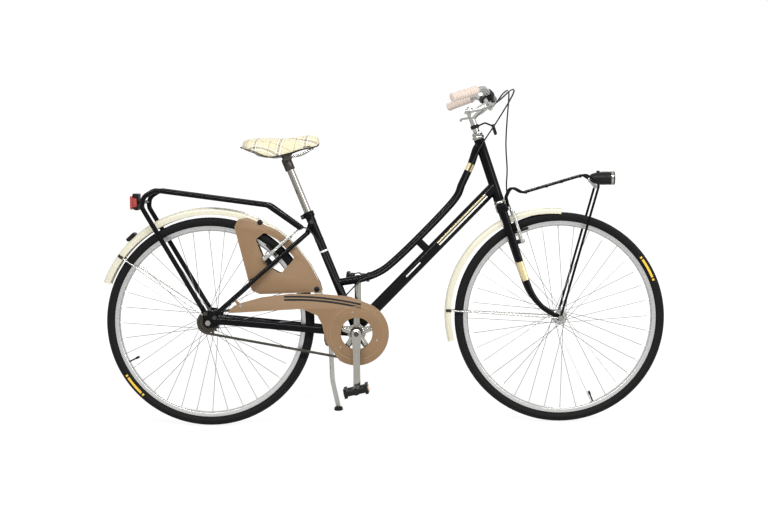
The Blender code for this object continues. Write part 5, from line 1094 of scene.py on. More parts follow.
# The front rack's rods, as (ahead, up, aside) from the front axle
RACK = [(-0.171, 0.397, 0.034), (-0.154, 0.433, 0.046), (-0.117, 0.411, 0.055), (0.087, 0.468, 0.058)]
RACK += [(0.131, 0.438, 0.059)]
RACK_FOOT_Y = 0.0568
RACK_BARS = (0.05, 0.38, 0.62, 0.92)
LAMP_PIVOT = at(1.28, 0, 0.775)
LAMP_RADIUS = 0.0225
LAMP_LENGTH = 0.082
# The rear carrier's tubes, as (ahead, up, aside) from the rear axle
CARRIER = [(-0.02, 0.052, 0.069), (-0.21, 0.383, 0.066), (-0.205, 0.416, 0.063), (-0.168, 0.438, 0.06)]
CARRIER += [(0.202, 0.383, 0.06), (0.305, 0.307, 0.0375)]
CARRIER_TUBE = 0.008
CARRIER_BARS = (0.1, 0.52, 0.95)
CARRIER_BAR = 0.0048
REAR_LAMP_BAR = at(-0.208, 0, 0.746)


def fork_piece():
    parts = [rod(0.0127, steer(0.026), steer(-0.2364), 32)]
    crown = put_at(steer(0.0263)) @ HEAD_TILT
    parts.append(block((0.036, 0.09, 0.028), crown, 0.006, 4))
    bands = []
    for side in (LEFT, RIGHT):
        blade = smooth([steer(down, ahead, side * y) for down, ahead, y in BLADE], 8)
        count = len(blade)
        shares = [1 - BLADE_TAPER * i / (count - 1) for i in range(count)]
        parts.append(pipe(blade, BLADE_RADIUS, 28, shares, BLADE_OVAL))
        tip = blade[-1]
        inside = tip - (tip - blade[-3]).normalized() * 0.006
        hold = [link(flat(inside), flat(FRONT_HUB), 0.007, 0.0105)]
        parts.append(plate(hold, DROPOUT_WALL, side_plane(side * FORK_END_Y), 0.0006))
        gold = [(p, share) for p, share in zip(blade, shares) if BLADE_GOLD[0] <= p.z <= BLADE_GOLD[1]]
        spots, sizes = zip(*gold)
        bands.append(band(spots, BLADE_RADIUS, BLADE_OVAL, sizes))
    piece("fork_blades", {BLACK_PAINT: parts, GOLD_BAND: bands}, "steering", "black_paint", "fork")


def guard_shell(centre, radius, width, depth, start, end, steps):
    """A mudguard's rolled section swept round the wheel, with a beaded edge."""
    inner = radius - GUARD_RISE - depth
    half = width / 2
    crown = [(rise + depth, share) for rise, share in GUARD_CROWN]
    top = [(inner, half)] + [(inner + rise, half * share) for rise, share in crown]
    bead = [(inner - 0.0014, half - 0.0016), (inner - 0.0012, half - 0.0002)]
    under = [(inner + 0.0002, -(half - 0.0022))]
    under += [(inner + rise - GUARD_WALL, -max(half * share - 0.0011, 0)) for rise, share in crown[1:]]
    beads = [(r, -y) for r, y in reversed(bead)]
    section = bead + both_sides(top) + beads + both_sides(under)
    first, last = math.radians(start), math.radians(end)
    return turned(section, axle_place(centre), steps, start=-last, end=-first)


def guard_stays(foot, centre, radius, width, angle, straight):
    """The wire stays from beside the axle to the guard's edges, and their black ends."""
    out = outward(math.radians(angle))
    wires = []
    ends = []
    for side in (LEFT, RIGHT):
        start = sided(foot, side)
        end = centre + out * (radius - STAY_INSET) + SIDE * side * (width / 2 + STAY_PROUD)
        wires.append(pipe(bent([start, start.lerp(end, straight), end], 0.03), STAY_WIRE, 14))
        ends.append(rod(0.0046, end - (end - start).normalized() * 0.014, end + out * 0.004, 14))
    return wires, ends


def axle_eye(y, thickness, edge, steps):
    """A flat ring round the front axle, at this distance from the middle."""
    rings = [circle(0.008, steps, flat(FRONT_HUB)), circle(0.005, 16, flat(FRONT_HUB))]
    return plate(rings, thickness, side_plane(y), edge)


def front_mudguard():
    shell = guard_shell(FRONT_GUARD, FRONT_GUARD_RADIUS, 0.046, 0.005, 84, 194.3, 110)
    eye_y = 0.0596
    foot = FRONT_HUB + SIDE * eye_y
    wires, ends = guard_stays(foot, FRONT_GUARD, FRONT_GUARD_RADIUS, 0.046, 177.2, 0.9)
    wires += [axle_eye(side * eye_y, 0.005, 0.0005, 20) for side in (LEFT, RIGHT)]
    post = steer(0.0406)
    lift = math.sqrt((FRONT_GUARD_RADIUS - 0.0004) ** 2 - (post.x - FRONT_GUARD.x) ** 2)
    ends.append(rod(0.006, post, at(post.x, 0, FRONT_GUARD.z + lift), 16))
    parts = {CREAM_PAINT: shell, SILVER: wires, BLACK_PLASTIC: ends}
    piece("front_guard", parts, "steering", "cream_paint", "front_mudguard")


def rear_mudguard():
    shell = guard_shell(REAR_GUARD, REAR_GUARD_RADIUS, 0.05, 0.008, 1.5, 158.3, 150)
    foot = REAR_HUB + at(-0.01, 0.0572, 0.02)
    wires, ends = guard_stays(foot, REAR_GUARD, REAR_GUARD_RADIUS, 0.05, 142.8, 0.92)
    parts = {CREAM_PAINT: shell, BLACK_PLASTIC: ends, SILVER: wires}
    piece("rear_guard", parts, FRAME, "cream_paint", "rear_mudguard")
    out = outward(math.radians(132))
    tilt = axes(out, SIDE, out.cross(SIDE), REAR_GUARD + out * (REAR_GUARD_RADIUS + 0.0053))
    holder = block((0.0106, 0.046, 0.036), tilt @ shifted(-0.0006), 0.003, 3)
    face = block((0.004, 0.04, 0.03), tilt @ shifted(0.0036), 0.0018, 3)
    parts = {BLACK_PLASTIC: holder, RED_REFLECTOR: face}
    piece("guard_reflector", parts, FRAME, "red_plastic", "mudguard_reflector")


def crossing(hub, first, second, share, drop=0):
    """The two ends, right and left, of a bar that joins both sides of a rack between two corners."""
    x, z, y = (a + (b - a) * share for a, b in zip(first, second))
    return [hub + at(x, side * y, z - drop) for side in (RIGHT, LEFT)]


def front_rack():
    """The small load rack over the front wheel, of bent rod, with the headlamp's bracket."""
    black = []
    for side in (LEFT, RIGHT):
        first = steer(0.026, 0.0222, side * 0.019)
        route = [first] + [FRONT_HUB + at(x, side * y, z) for x, z, y in RACK]
        foot = FRONT_HUB + SIDE * side * RACK_FOOT_Y
        above = foot + (route[-1] - foot).normalized() * 0.022
        above.y = foot.y
        black.append(pipe(bent([*route, above, foot], 0.022, 8), 0.004, 16))
        black.append(axle_eye(side * RACK_FOOT_Y, 0.0056, 0.0007, 24))
    for share in RACK_BARS:
        black.append(rod(0.0024, *crossing(FRONT_HUB, RACK[2], RACK[3], share, 0.004), 12))
    black.append(block((0.003, 0.052, 0.022), put_at(steer(0.026, 0.0198)) @ HEAD_TILT, 0.0012))
    across = FRONT_HUB + at(0.109, 0, 0.4525)
    black.append(rod(0.003, across - SIDE * 0.0585, across + SIDE * 0.0585, 14))
    cheek = [link((1.262, 0.796), flat(LAMP_PIVOT), 0.0075, 0.0075)]
    silver = [rod(0.0023, LAMP_PIVOT - SIDE * 0.007, LAMP_PIVOT + SIDE * 0.007, 12)]
    for side in (LEFT, RIGHT):
        silver.append(plate(cheek, 0.0022, side_plane(side * 0.0058), 0.0005))
        silver += cap_screw(LAMP_PIVOT + SIDE * side * 0.0069, SIDE * side, 0.0042, 0.0028)
    parts = {BLACK_PAINT: black, SILVER: silver}
    piece("front_rack_rods", parts, "steering", "black_paint", "front_rack")


def headlamp():
    """The lamp's tapered shell with its switch, its mirror and rim, and a domed lens."""
    back = at(1.26, 0, 0.801)
    place = aimed(back, back + at(1, 0, 0))
    radius = LAMP_RADIUS
    length = LAMP_LENGTH
    rear = [(0, 0), (0.45, 0.0008), (0.8, 0.014), (0.97, 0.036), (0.985, 0.06)]
    profile = [(p.x, p.y) for p in smooth([(radius * share, h, 0) for share, h in rear], 6)]
    profile += [(radius * 0.985, length - 0.016), (radius, length - 0.0155), (radius, length - 0.001)]
    profile += [(radius - 0.001, length), (radius - 0.0024, length), (radius - 0.0028, length - 0.008)]
    profile.append((0, length - 0.03))
    lug = [link(flat(LAMP_PIVOT), (LAMP_PIVOT.x + 0.002, 0.787), 0.0072, 0.011)]
    switch = [(0, -0.002), (0.005, -0.002), (0.0056, 0.004), (0, 0.004)]
    switch_at = back + at(0.028, 0, 0.021)
    shell = [
        turned(profile, place, 48, closed=False),
        plate(lug, 0.008, side_plane(0), 0.0008),
        turned(switch, aimed(switch_at, switch_at + at(0, 0, 1)), 16),
    ]
    mirror = [(0, 0.028), (0.006, 0.0275), (0.015, 0.018), (0.0192, 0.0085)]
    mirror = [(r, length - depth) for r, depth in mirror]
    rim = hoop(radius - 0.0006, radius + 0.0003, 0.004)
    bright = [turned(mirror, place, 40, closed=False), turned(rim, place @ shifted(z=length - 0.008), 48)]
    parts = {BLACK_PLASTIC: shell, CHROME: bright}
    piece("headlamp_shell", parts, "headlamp", "black_plastic", "headlamp_housing")
    dome = [(0, 0.0022), (0.01, 0.0026), (0.0165, 0.0036), (0.0195, 0.0052), (0.0195, 0.0072)]
    dome.append((0, 0.0056))
    glass = {CLEAR_LENS: turned([(r, length - depth) for r, depth in dome], place, 48)}
    piece("headlamp_front", glass, "headlamp", "clear_plastic", "headlamp_lens")


def carrier():
    """The rear carrier of stout tube, with its lamp cross and bolt tabs."""
    parts = []
    bolts = []
    low_cap = [(0, -0.0005), (0.0078, 0), (0.006, 0.006), (0, 0.0075)]
    high_cap = [(0, -0.002), (0.0078, -0.002), (0.0064, 0.005), (0, 0.0065)]
    for side in (LEFT, RIGHT):
        route = bent([REAR_HUB + at(x, side * y, z) for x, z, y in CARRIER], 0.032, 8)
        parts.append(pipe(route, CARRIER_TUBE, 22))
        parts.append(turned(low_cap, aimed(route[0], 2 * route[0] - route[1]), 22))
        parts.append(turned(high_cap, aimed(route[-1], 2 * route[-1] - route[-2]), 22))
        low = REAR_HUB + at(-0.008, side * STAY_PLANE, 0.031)
        tab = [link(flat(low), flat(REAR_HUB + at(-0.0205, 0, 0.054)), 0.009, 0.0085)]
        parts.append(plate(tab, LUG_PLATE, side_plane(low.y), 0.0006))
        bolts += hexagon_bolt(low + SIDE * side * LUG_PLATE / 2, SIDE * side, 0.005, 0.004)
    for share in CARRIER_BARS:
        parts.append(rod(CARRIER_BAR, *crossing(REAR_HUB, CARRIER[3], CARRIER[4], share), 18))
    parts.append(rod(CARRIER_BAR, REAR_LAMP_BAR - SIDE * 0.066, REAR_LAMP_BAR + SIDE * 0.066, 18))
    parts.append(block((0.02, 0.03, 0.012), put_at(REAR_LAMP_BAR) @ shifted(-0.008), 0.0025))
    whole = {BLACK_PAINT: parts, DARK_STEEL: bolts}
    piece("carrier_tubes", whole, FRAME, "black_paint", "rear_carrier")


def rear_lamp():
    shell = softened(block((0.017, 0.06, 0.056), shifted(-0.2368, 0, 0.746), 0.008, 3))
    cap = block((0.019, 0.0605, 0.012), shifted(-0.238, 0, 0.7685), 0.0045, 3)
    piece("rear_lamp_shell", {BLACK_PLASTIC: [shell, cap]}, FRAME, "black_plastic", "rear_lamp_housing")
    lens = softened(block((0.012, 0.054, 0.046), shifted(-0.251, 0, 0.744), 0.0045, 3))
    side_lens = block((0.014, 0.0612, 0.03), shifted(-0.239, 0, 0.744), 0.004, 3)
    piece("rear_lamp_glass", {RED_REFLECTOR: [lens, side_lens]}, FRAME, "red_plastic", "rear_lamp_lens")


fork_piece()
front_mudguard()
rear_mudguard()
front_rack()
headlamp()
carrier()
rear_lamp()

# Skirt guards and chain guard

# The skirt guard's outline and window, as (ahead, up) from the rear axle
PANEL = [(0.088, 0.313), (0.1, 0.338), (0.132, 0.343), (0.19, 0.318), (0.231, 0.2995)]
PANEL += [(0.2784, 0.2583), (0.2686, 0.2499), (0.2804, 0.2363), (0.2914, 0.2458)]
PANEL += [(0.335, 0.1866), (0.366, 0.125), (0.3745, 0.094), (0.169, 0.0895), (0.143, 0.101), (0.132, 0.131)]
NOTCH = slice(5, 9)
PANEL_WINDOW = [(0.157, 0.271), (0.187, 0.293), (0.23, 0.268), (0.286, 0.208), (0.238, 0.156)]
PANEL_WINDOW += [(0.191, 0.183)]
PANEL_KNOBS = ((0.173, 0.327), (0.357, 0.104))
PANEL_KNOB = [(0, 0.003), (0.0065, 0.0026), (0.009, 0.001), (0.009, -0.0019), (0, -0.0019)]
PANEL_Y = 0.0275
PANEL_WALL = 0.002
PANEL_EDGE = 0.0007
PANEL_FACE = 0.0009
# The chain guard's outline, from the rear axle at its tip and from the crank elsewhere
GUARD_TIP = [(0.067, 0.031), (0.071, 0.042), (0.087, 0.056), (0.112, 0.065)]
GUARD_TOP = [(-0.31, 0.123), (-0.216, 0.133), (-0.112, 0.131), (-0.02, 0.1215)]
GUARD_BELOW = [(-0.1, -0.03), (-0.113, 0.03), (-0.128, 0.06), (-0.176, 0.0826)]
GUARD_LAST = [(0.083, 0.0315)]
GUARD_RADIUS = 0.106
GUARD_WINDOW = 0.052
GUARD_Y = -0.0595
GUARD_FACE = -0.0605
# The rings pressed into the chain guard, as (radius, half width, how far they stand out)
GUARD_RINGS = ((0.0535, 0.0018, 0.0022), (0.0875, 0.0022, 0.0016), (0.096, 0.0012, 0.0012))
STRIPE = [(-0.236, 0.132), (-0.165, 0.1305), (-0.1, 0.1245), (-0.04, 0.115), (0.016, 0.103)]
STRIPE_RUNS = ((0.005, 0.0062), (0.015, 0.0066))
GUARD_TAB = REAR_HUB + at(0.106, -0.058, 0.054)
TAB_SHORT_OF_STAY = 0.0113


def lip(outline, place, radius, inset):
    """A rolled edge that follows a flat outline, just inside it."""
    pairs = zip(outline, outline[1:] + outline[:1])
    turn = 1 if sum(a[0] * b[1] - b[0] * a[1] for a, b in pairs) > 0 else -1
    loop = []
    for index, p in enumerate(outline):
        before = outline[index - 1]
        after = outline[(index + 1) % len(outline)]
        out = Vector((after[1] - before[1], before[0] - after[0])).normalized() * turn
        loop.append(place @ at(p[0] - out.x * inset, p[1] - out.y * inset, 0))
    return pipe([*loop, loop[0]], radius, 8)


def panel(outline, window, plane, bead, inset):
    """A moulded sheet with a window and a rolled outer edge."""
    return [plate([outline, window], PANEL_WALL, plane, PANEL_EDGE), lip(outline, plane, bead, inset)]


def skirt_guard(side, name):
    """A panel beside the rear wheel, with two black knobs and a post to the stay."""
    out = SIDE * side
    outline = rounded(spread(PANEL, REAR_HUB), 0.01, 6)
    window = rounded(spread(PANEL_WINDOW, REAR_HUB), 0.012, 6)
    unnotched = [p for p in PANEL if p not in PANEL[NOTCH]]
    groove = rounded(spread(unnotched, REAR_HUB), 0.01, 6)
    plane = side_plane(side * PANEL_Y)
    face = side * (PANEL_Y + PANEL_FACE)
    tan = panel(outline, window, plane, 0.0015, 0.0016)
    tan += [lip(window, plane, 0.0015, -0.0016), lip(groove, side_plane(face), 0.0007, 0.01)]
    black = []
    for x, z in PANEL_KNOBS:
        spot = REAR_HUB + at(x, face, z)
        black.append(turned(PANEL_KNOB, aimed(spot, spot + out), 24))
        black += cap_screw(spot + out * 0.0028, out, 0.0028, 0.0012)
    post = REAR_HUB + at(0.143, side * PANEL_Y, 0.136)
    black.append(rod(0.0063, post, at(post.x, side * 0.0455, post.z), 16))
    black += cap_screw(post - out * 0.0008, -out, 0.0046, 0.0022)
    parts = {TAN_PLASTIC: tan, BLACK_PLASTIC: black}
    piece(f"skirt_guard_{name}_panel", parts, FRAME, "tan_plastic", f"skirt_guard_{name}")


def guard_tab():
    """The short tab that holds the chain guard's tip to the right seat stay."""
    foot = sided(STAY_FOOT, RIGHT)
    rise = sided(STAY_TOP, RIGHT) - foot
    up = at(rise.x, 0, rise.z).normalized()
    back = at(-up.z, 0, up.x)
    end = GUARD_TAB + back * ((foot - GUARD_TAB).dot(back) - TAB_SHORT_OF_STAY)
    outline = link(flat(GUARD_TAB), flat(end), 0.006, 0.004)
    return plate([outline], PANEL_WALL, side_plane(GUARD_TAB.y), 0.0004)


def chain_guard():
    """The guard's sheet round the chainwheel, its pressed rings, stripes and screws."""
    arc = circle(GUARD_RADIUS, 54, (0, 0), math.radians(-123), math.radians(62))
    outline = spread(GUARD_TIP, REAR_HUB) + spread(GUARD_TOP + arc[::-1] + GUARD_BELOW, CRANK)
    outline = rounded(outline + spread(GUARD_LAST, REAR_HUB), 0.008, 4)
    window = spread(circle(GUARD_WINDOW, 60), CRANK)
    tan = panel(outline, window, side_plane(GUARD_Y), 0.0016, 0.0015)
    crank = shifted(y=GUARD_Y) @ axle_place(CRANK)
    for radius, width, rise in GUARD_RINGS:
        low, high = (radius - width, radius + width), (radius - width * 0.5, radius + width * 0.5)
        ring = [(low[0], -0.0008), (high[0], -rise), (high[1], -rise), (low[1], -0.0008)]
        tan.append(turned(ring, crank, 96))
    black = []
    for low, width in STRIPE_RUNS:
        run = smooth([CRANK + at(x, 0, z - low) for x, z in STRIPE], 5)
        shape = [flat(p) for p in run] + [(p.x, p.z - width) for p in reversed(run)]
        black.append(plate([shape], 0.0006, side_plane(-0.0607), 0.0001))
    silver = cap_screw(at(GUARD_TAB.x, GUARD_FACE, GUARD_TAB.z), -SIDE, 0.0042, 0.0022)
    for angle in (100, -20, 220):
        spot = CRANK + outward(math.radians(angle)) * 0.07
        silver += cap_screw(at(spot.x, GUARD_FACE, spot.z), -SIDE, 0.003, 0.0016)
    parts = {TAN_PLASTIC: tan + [guard_tab()], BLACK_BAND: black, SILVER: silver}
    piece("chain_guard_panel", parts, FRAME, "tan_plastic", "chain_guard")


for side, name in SIDES:
    skirt_guard(side, name)
chain_guard()

# Chain, cranks and pedals

# One tooth, as (share of its pitch, height over the pitch circle)
TOOTH = ((0, -0.0036), (0.12, -0.004), (0.24, -0.0036), (0.38, -0.0008), (0.5, 0.0019), (0.56, 0.0022))
TOOTH += ((0.68, 0.0022), (0.74, 0.0019), (0.86, -0.0008))
TOOTH_ROOT = 0.12
LINKS = 108
SPROCKET_WALL = 0.003
ARMS = 5
FIRST_ARM = 0.3
FREEWHEEL = [(0.0054, -0.0363), (0.02, -0.0363), (0.02, -0.044), (0.0185, -0.048)]
FREEWHEEL += [(0.017, -0.05), (0.0054, -0.05)]
CRANK_LENGTH = 0.175
CRANK_FLARE = 0.014
CRANK_CAP = [(0, 0.0915), (0.0085, 0.0912), (0.0105, 0.09), (0.0112, 0.087), (0, 0.087)]
CRANK_BOSS = [(0.0088, -0.044), (0.023, -0.044), (0.0225, -0.05), (0.0165, -0.056)]
CRANK_BOSS += [(0.015, -0.085), (0.0088, -0.085)]
LEFT_BOSS = [(0.0088, 0.074), (0.015, 0.074), (0.0156, 0.08), (0.0088, 0.08)]
# The ridges down a crank's face: how far from its centre, and their share of the distance aside
CRANK_RIDGE = ((0.03, 1), (0.06, 0.95), (0.1, 0.85), (0.145, 0.7))
PEDAL_Y = 0.154
PEDAL_TILT = {LEFT: math.radians(3.6), RIGHT: math.radians(-12)}
PEDAL_LENGTH = 0.085
PEDAL_WIDTH = 0.092
PEDAL_TEETH = 9
STAND_PIVOT = at(0.395, 0.045, 0.283)
STAND_AXIS = at(0.15878, 0.86372, 0.47831).normalized()
STAND_KNEE = at(0.398, 0.062, 0.136)
STAND_FOOT = [(0, 0), (0.0135, 0), (0.015, 0.0016), (0.015, 0.008), (0.012, 0.0125)]
STAND_FOOT += [(0.0085, 0.014), (0, 0.014)]


def pitch_radius(teeth):
    return CHAIN_PITCH / (2 * math.sin(math.pi / teeth))


def toothed(teeth, centre):
    """A sprocket's outline with rounded roots and blunt tips."""
    points = []
    for index in range(teeth):
        for share, height in TOOTH:
            angle = TURN * (index + share - TOOTH_ROOT) / teeth
            reach = pitch_radius(teeth) + height
            points.append((centre.x + reach * math.cos(angle), centre.z + reach * math.sin(angle)))
    return points


def chain_run(count):
    """Evenly spaced pins along the chain's pitch line, seen from the side."""
    big = pitch_radius(CHAINRING_TEETH)
    small = pitch_radius(SPROCKET_TEETH)
    span = CRANK - REAR_HUB
    lean = math.atan2(span.z, span.x)
    opening = math.acos((big - small) / math.hypot(span.x, span.z))
    loop = circle(big, 160, flat(CRANK), lean - math.pi + opening, lean + math.pi - opening)
    loop += circle(small, 90, flat(REAR_HUB), lean + math.pi - opening, lean + math.pi + opening)
    points = [Vector(p) for p in loop] + [Vector(loop[0])]
    lengths = [0]
    for first, second in zip(points, points[1:]):
        lengths.append(lengths[-1] + (second - first).length)
    out = []
    index = 0
    for step in range(count + 1):
        goal = lengths[-1] * step / count
        while index < len(lengths) - 2 and lengths[index + 1] < goal:
            index += 1
        share = (goal - lengths[index]) / (lengths[index + 1] - lengths[index])
        out.append(points[index].lerp(points[index + 1], share))
    return out


def chain():
    """Inner and outer links with their rollers and pins."""
    pins = chain_run(LINKS)
    plates = []
    rollers = []
    for index, (first, second) in enumerate(zip(pins, pins[1:])):
        inner = index % 2 == 0
        outline = link(first, second, 0.0039, 0.0039, 6)
        for side in (1, -1):
            y = -CHAIN_LINE + side * (0.0026 if inner else 0.0036)
            plates.append(plate([outline], 0.0009, side_plane(y), 0.00015))
        if inner:
            for pin in (first, second):
                spot = at(pin.x, -CHAIN_LINE, pin.y)
                for radius, half, sides in ((0.0036, 0.0022, 10), (0.0017, 0.0042, 8)):
                    rollers.append(rod(radius, spot - SIDE * half, spot + SIDE * half, sides, 0.0002))
    piece("chain_links", {DARK_STEEL: plates + rollers}, FRAME, "dark_steel", "chain")


def five_arms():
    """The direction of each of the chainwheel's arms."""
    return [outward(TURN * index / ARMS + FIRST_ARM) for index in range(ARMS)]


def arm_plate(out, near, far, near_radius, far_radius, thickness, y, edge):
    """A flat arm from this distance from the crank's centre to that one."""
    ends = [flat(CRANK + out * reach) for reach in (near, far)]
    return plate([link(*ends, near_radius, far_radius)], thickness, side_plane(y), edge)


def cog(outer, bore, steps, centre):
    """A flat wheel with a round bore, on the chain's line."""
    hole = spread(circle(bore, steps), centre)
    return plate([outer, hole], SPROCKET_WALL, side_plane(-CHAIN_LINE), 0.0004)


def chainwheel():
    ring = cog(toothed(CHAINRING_TEETH, CRANK), 0.074, 72, CRANK)
    middle = cog(spread(circle(0.03, 40), CRANK), 0.0172, 24, CRANK)
    line = (SPROCKET_WALL, -CHAIN_LINE, 0.0005)
    arms = [arm_plate(out, 0.024, 0.076, 0.011, 0.008, *line) for out in five_arms()]
    piece("chainwheel", {CHROME: [ring, middle, *arms]}, "crank", "chrome", "chainring")
    teeth = cog(toothed(SPROCKET_TEETH, REAR_HUB), 0.0192, 36, REAR_HUB)
    body = turned(FREEWHEEL, axle_place(REAR_HUB), 40)
    piece("freewheel", {DARK_STEEL: [teeth, body]}, "sprocket", "dark_steel", "freewheel_sprocket")


def waisted(outline):
    """The crank's outline, narrower at its middle, with a slight bow down its long edges."""
    waist = []
    for x, z in outline:
        share = (abs(z - CRANK.z) / CRANK_LENGTH - 0.02) / 0.94
        narrow = 1 - 0.22 * max(0, math.sin(math.pi * min(max(share, 0), 1)))
        waist.append((CRANK.x + (x - CRANK.x) * narrow, z))
    steps = 10
    dense = []
    for p, after in zip(waist, waist[1:] + waist[:1]):
        dense.append(p)
        if abs(after[1] - p[1]) > 0.05:
            aside = -0.0026 if p[0] > CRANK.x else 0.0026
            for t in (step / steps for step in range(1, steps)):
                x = p[0] + (after[0] - p[0]) * t + aside * math.sin(math.pi * t)
                dense.append((x, p[1] + (after[1] - p[1]) * t))
    return dense


def crank_spider():
    """The boss on the right crank, with an arm and a bolt towards each arm of the chainwheel."""
    parts = [turned(CRANK_BOSS, axle_place(CRANK), 40)]
    for out in five_arms():
        root = CRANK + out * 0.014 - SIDE * 0.048
        tip = CRANK + out * 0.0585 - SIDE * 0.0461
        leg = smooth([root, root.lerp(tip, 0.5) + SIDE * 0.0004, tip], 4)
        parts.append(pipe(leg, 0.0024, 14))
        parts.append(arm_plate(out, 0.016, 0.056, 0.0095, 0.0062, 0.0036, -0.0458, 0.0012))
        parts += cap_screw(CRANK + out * 0.056 - SIDE * 0.0474, -SIDE, 0.0036, 0.0018)
    return parts


def crank_arm(side, name):
    """A forged arm with ridges down its face, flaring outwards to its pedal."""
    pedal_at = CRANK + at(0, 0, side * CRANK_LENGTH)
    flare = Matrix.Identity(4)
    flare[1][2] = CRANK_FLARE / CRANK_LENGTH
    skew = put_at(CRANK) @ flare @ put_at(-CRANK)
    outline = waisted(link(flat(CRANK), flat(pedal_at), 0.016, 0.012, 16))
    bore = circle(0.0063, 20, flat(pedal_at))
    forged = [plate([outline, bore], 0.0112, side_plane(side * CRANK_OFFSET), 0.0022)]
    face = side * (CRANK_OFFSET + 0.0052)
    for x in (-0.0052, 0.0052):
        ridge = [CRANK + at(x * share, face, side * z) for z, share in CRANK_RIDGE]
        forged.append(pipe(smooth(ridge, 4), 0.0015, 8))
    parts = [moved(one, skew) for one in forged]
    parts.append(turned([(r, side * h) for r, h in CRANK_CAP], axle_place(CRANK), 32))
    if side == RIGHT:
        parts += crank_spider()
    else:
        parts.append(turned(LEFT_BOSS, axle_place(CRANK), 36))
    piece(f"crank_arm_{name}", {CHROME: parts}, "crank", "chrome", f"crank_{name}")


def pedal(side, name):
    """A flat pedal: two toothed treads between end plates, round a barrel, with amber reflectors."""
    centre = CRANK + at(0, side * PEDAL_Y, side * CRANK_LENGTH)
    place = put_at(centre) @ Matrix.Rotation(PEDAL_TILT[side], 4, "Y")
    width = PEDAL_WIDTH
    black = []
    amber = []
    for end in (1, -1):
        black.append(block((0.012, width * 0.9, 0.02), place @ shifted(end * 0.033), 0.003, 3))
        amber.append(block((0.003, 0.056, 0.013), place @ shifted(end * 0.0396), 0.0012, 2))
        for top in (1, -1):
            for index in range(PEDAL_TEETH):
                y = width * 0.86 * (index / (PEDAL_TEETH - 1) - 0.5)
                spot = place @ shifted(end * 0.0345, y, top * 0.0122)
                black.append(block((0.01, 0.0052, 0.005), spot, 0.0012, 2))
    for share in (-0.5, 0.5):
        spot = place @ shifted(y=share * (width - 0.01))
        black.append(block((PEDAL_LENGTH * 0.93, 0.009, 0.018), spot, 0.003, 3))
    for y in (-0.017, 0.017):
        black.append(block((PEDAL_LENGTH * 0.8, 0.006, 0.015), place @ shifted(y=y), 0.002, 2))
    barrel = [(0.0064, -0.44), (0.0115, -0.46), (0.0135, -0.3), (0.012, 0), (0.0135, 0.3)]
    barrel += [(0.0115, 0.46), (0.0064, 0.44)]
    barrel = [(r, width * share) for r, share in barrel]
    black.append(turned(barrel, place @ Matrix.Rotation(-math.pi / 2, 4, "X"), 28))
    cap = [(0, 0), (0.009, 0), (0.0082, 0.0016), (0, 0.0022)]
    cap_at = place @ shifted(y=side * 0.044) @ Matrix.Rotation(-side * math.pi / 2, 4, "X")
    black.append(turned(cap, cap_at, 24))
    parts = {BLACK_PLASTIC: black, AMBER_REFLECTOR: amber}
    piece(f"pedal_{name}_body", parts, f"pedal_{name}", "black_plastic", f"pedal_{name}")


def kickstand():
    """The side stand's leg, its foot square to the leaned floor, and its pivot."""
    up = at(0, -math.sin(STAND_LEAN), math.cos(STAND_LEAN))
    floor = at(0.41, 0.19, (0.19 - 0.005) * math.tan(STAND_LEAN))
    leg = pipe(bent([STAND_PIVOT, STAND_KNEE, floor + up * 0.011], 0.06, 10), 0.008, 22)
    boss = hoop(0.0043, 0.012, 0.014, 0.0005, 0.0006)
    silver = [leg, turned(boss, aimed(STAND_PIVOT, STAND_PIVOT + STAND_AXIS), 32)]
    rubber = turned(STAND_FOOT, aimed(floor, floor + up), 32)
    parts = {SILVER: silver, BLACK_PLASTIC: rubber}
    piece("kickstand_tube", parts, "kickstand", "silver", "kickstand_leg")


chain()
chainwheel()
for side, name in SIDES:
    crank_arm(side, name)
    pedal(side, name)
kickstand()

# Saddle and seat post

POST_TOP = seat(SEAT_POST_TOP)
SADDLE_AT = POST_TOP + at(0, 0, 0.04)
# The saddle's sections: ahead, half width, lowest, highest, and the height of the flank's lower edge
SADDLE = [(-0.147, 0.066, 0.006, 0.032, 0.001), (-0.105, 0.092, 0, 0.041, -0.015)]
SADDLE += [(-0.052, 0.082, 0, 0.04, -0.038), (-0.002, 0.054, 0, 0.037, -0.025)]
SADDLE += [(0.04, 0.035, 0.001, 0.042, -0.005), (0.08, 0.027, 0.003, 0.049, 0.001)]
SADDLE += [(0.11, 0.02, 0.008, 0.04, 0.008)]
WELT_BACK = SADDLE_AT + at(-0.144, 0, 0.011)
WELT_NOSE = SADDLE_AT + at(0.1065, 0, 0.015)
RAILS = [(-0.112, 0.034, 0.0028), (-0.08, 0.028, -0.019), (0.03, 0.022, -0.02), (0.078, 0.011, 0.0005)]
RAILS += [(0.086, 0, 0.0032)]
RAIL_WIRE = 0.0035
CLAMP_DISCS = (-0.029, -0.0125, 0.0125, 0.029)
CLAMP_COLLAR = [(0.0128, -0.03), (0.016, -0.03), (0.0167, -0.029), (0.0167, 0.007)]
CLAMP_COLLAR += [(0.014, 0.0125), (0, 0.013)]
SEAT_POST = [(0, 0), (0.0127, 0), (0.0127, 0.288), (0.011, 0.289), (0, 0.289)]


def mirrored(points):
    """The points, back along the bicycle's other side."""
    return [sided(p, RIGHT) for p in reversed(points)]


def lofted(sections, levels):
    """A soft closed form through these half sections of (aside, up)."""
    shape = bmesh.new()
    rings = []
    for x, half in sections:
        whole = half + [(-y, z) for y, z in reversed(half[:-1])]
        rings.append([shape.verts.new(SADDLE_AT + at(x, y, z)) for y, z in whole])
    skin(shape, rings)
    return softened(loose(shape), levels)


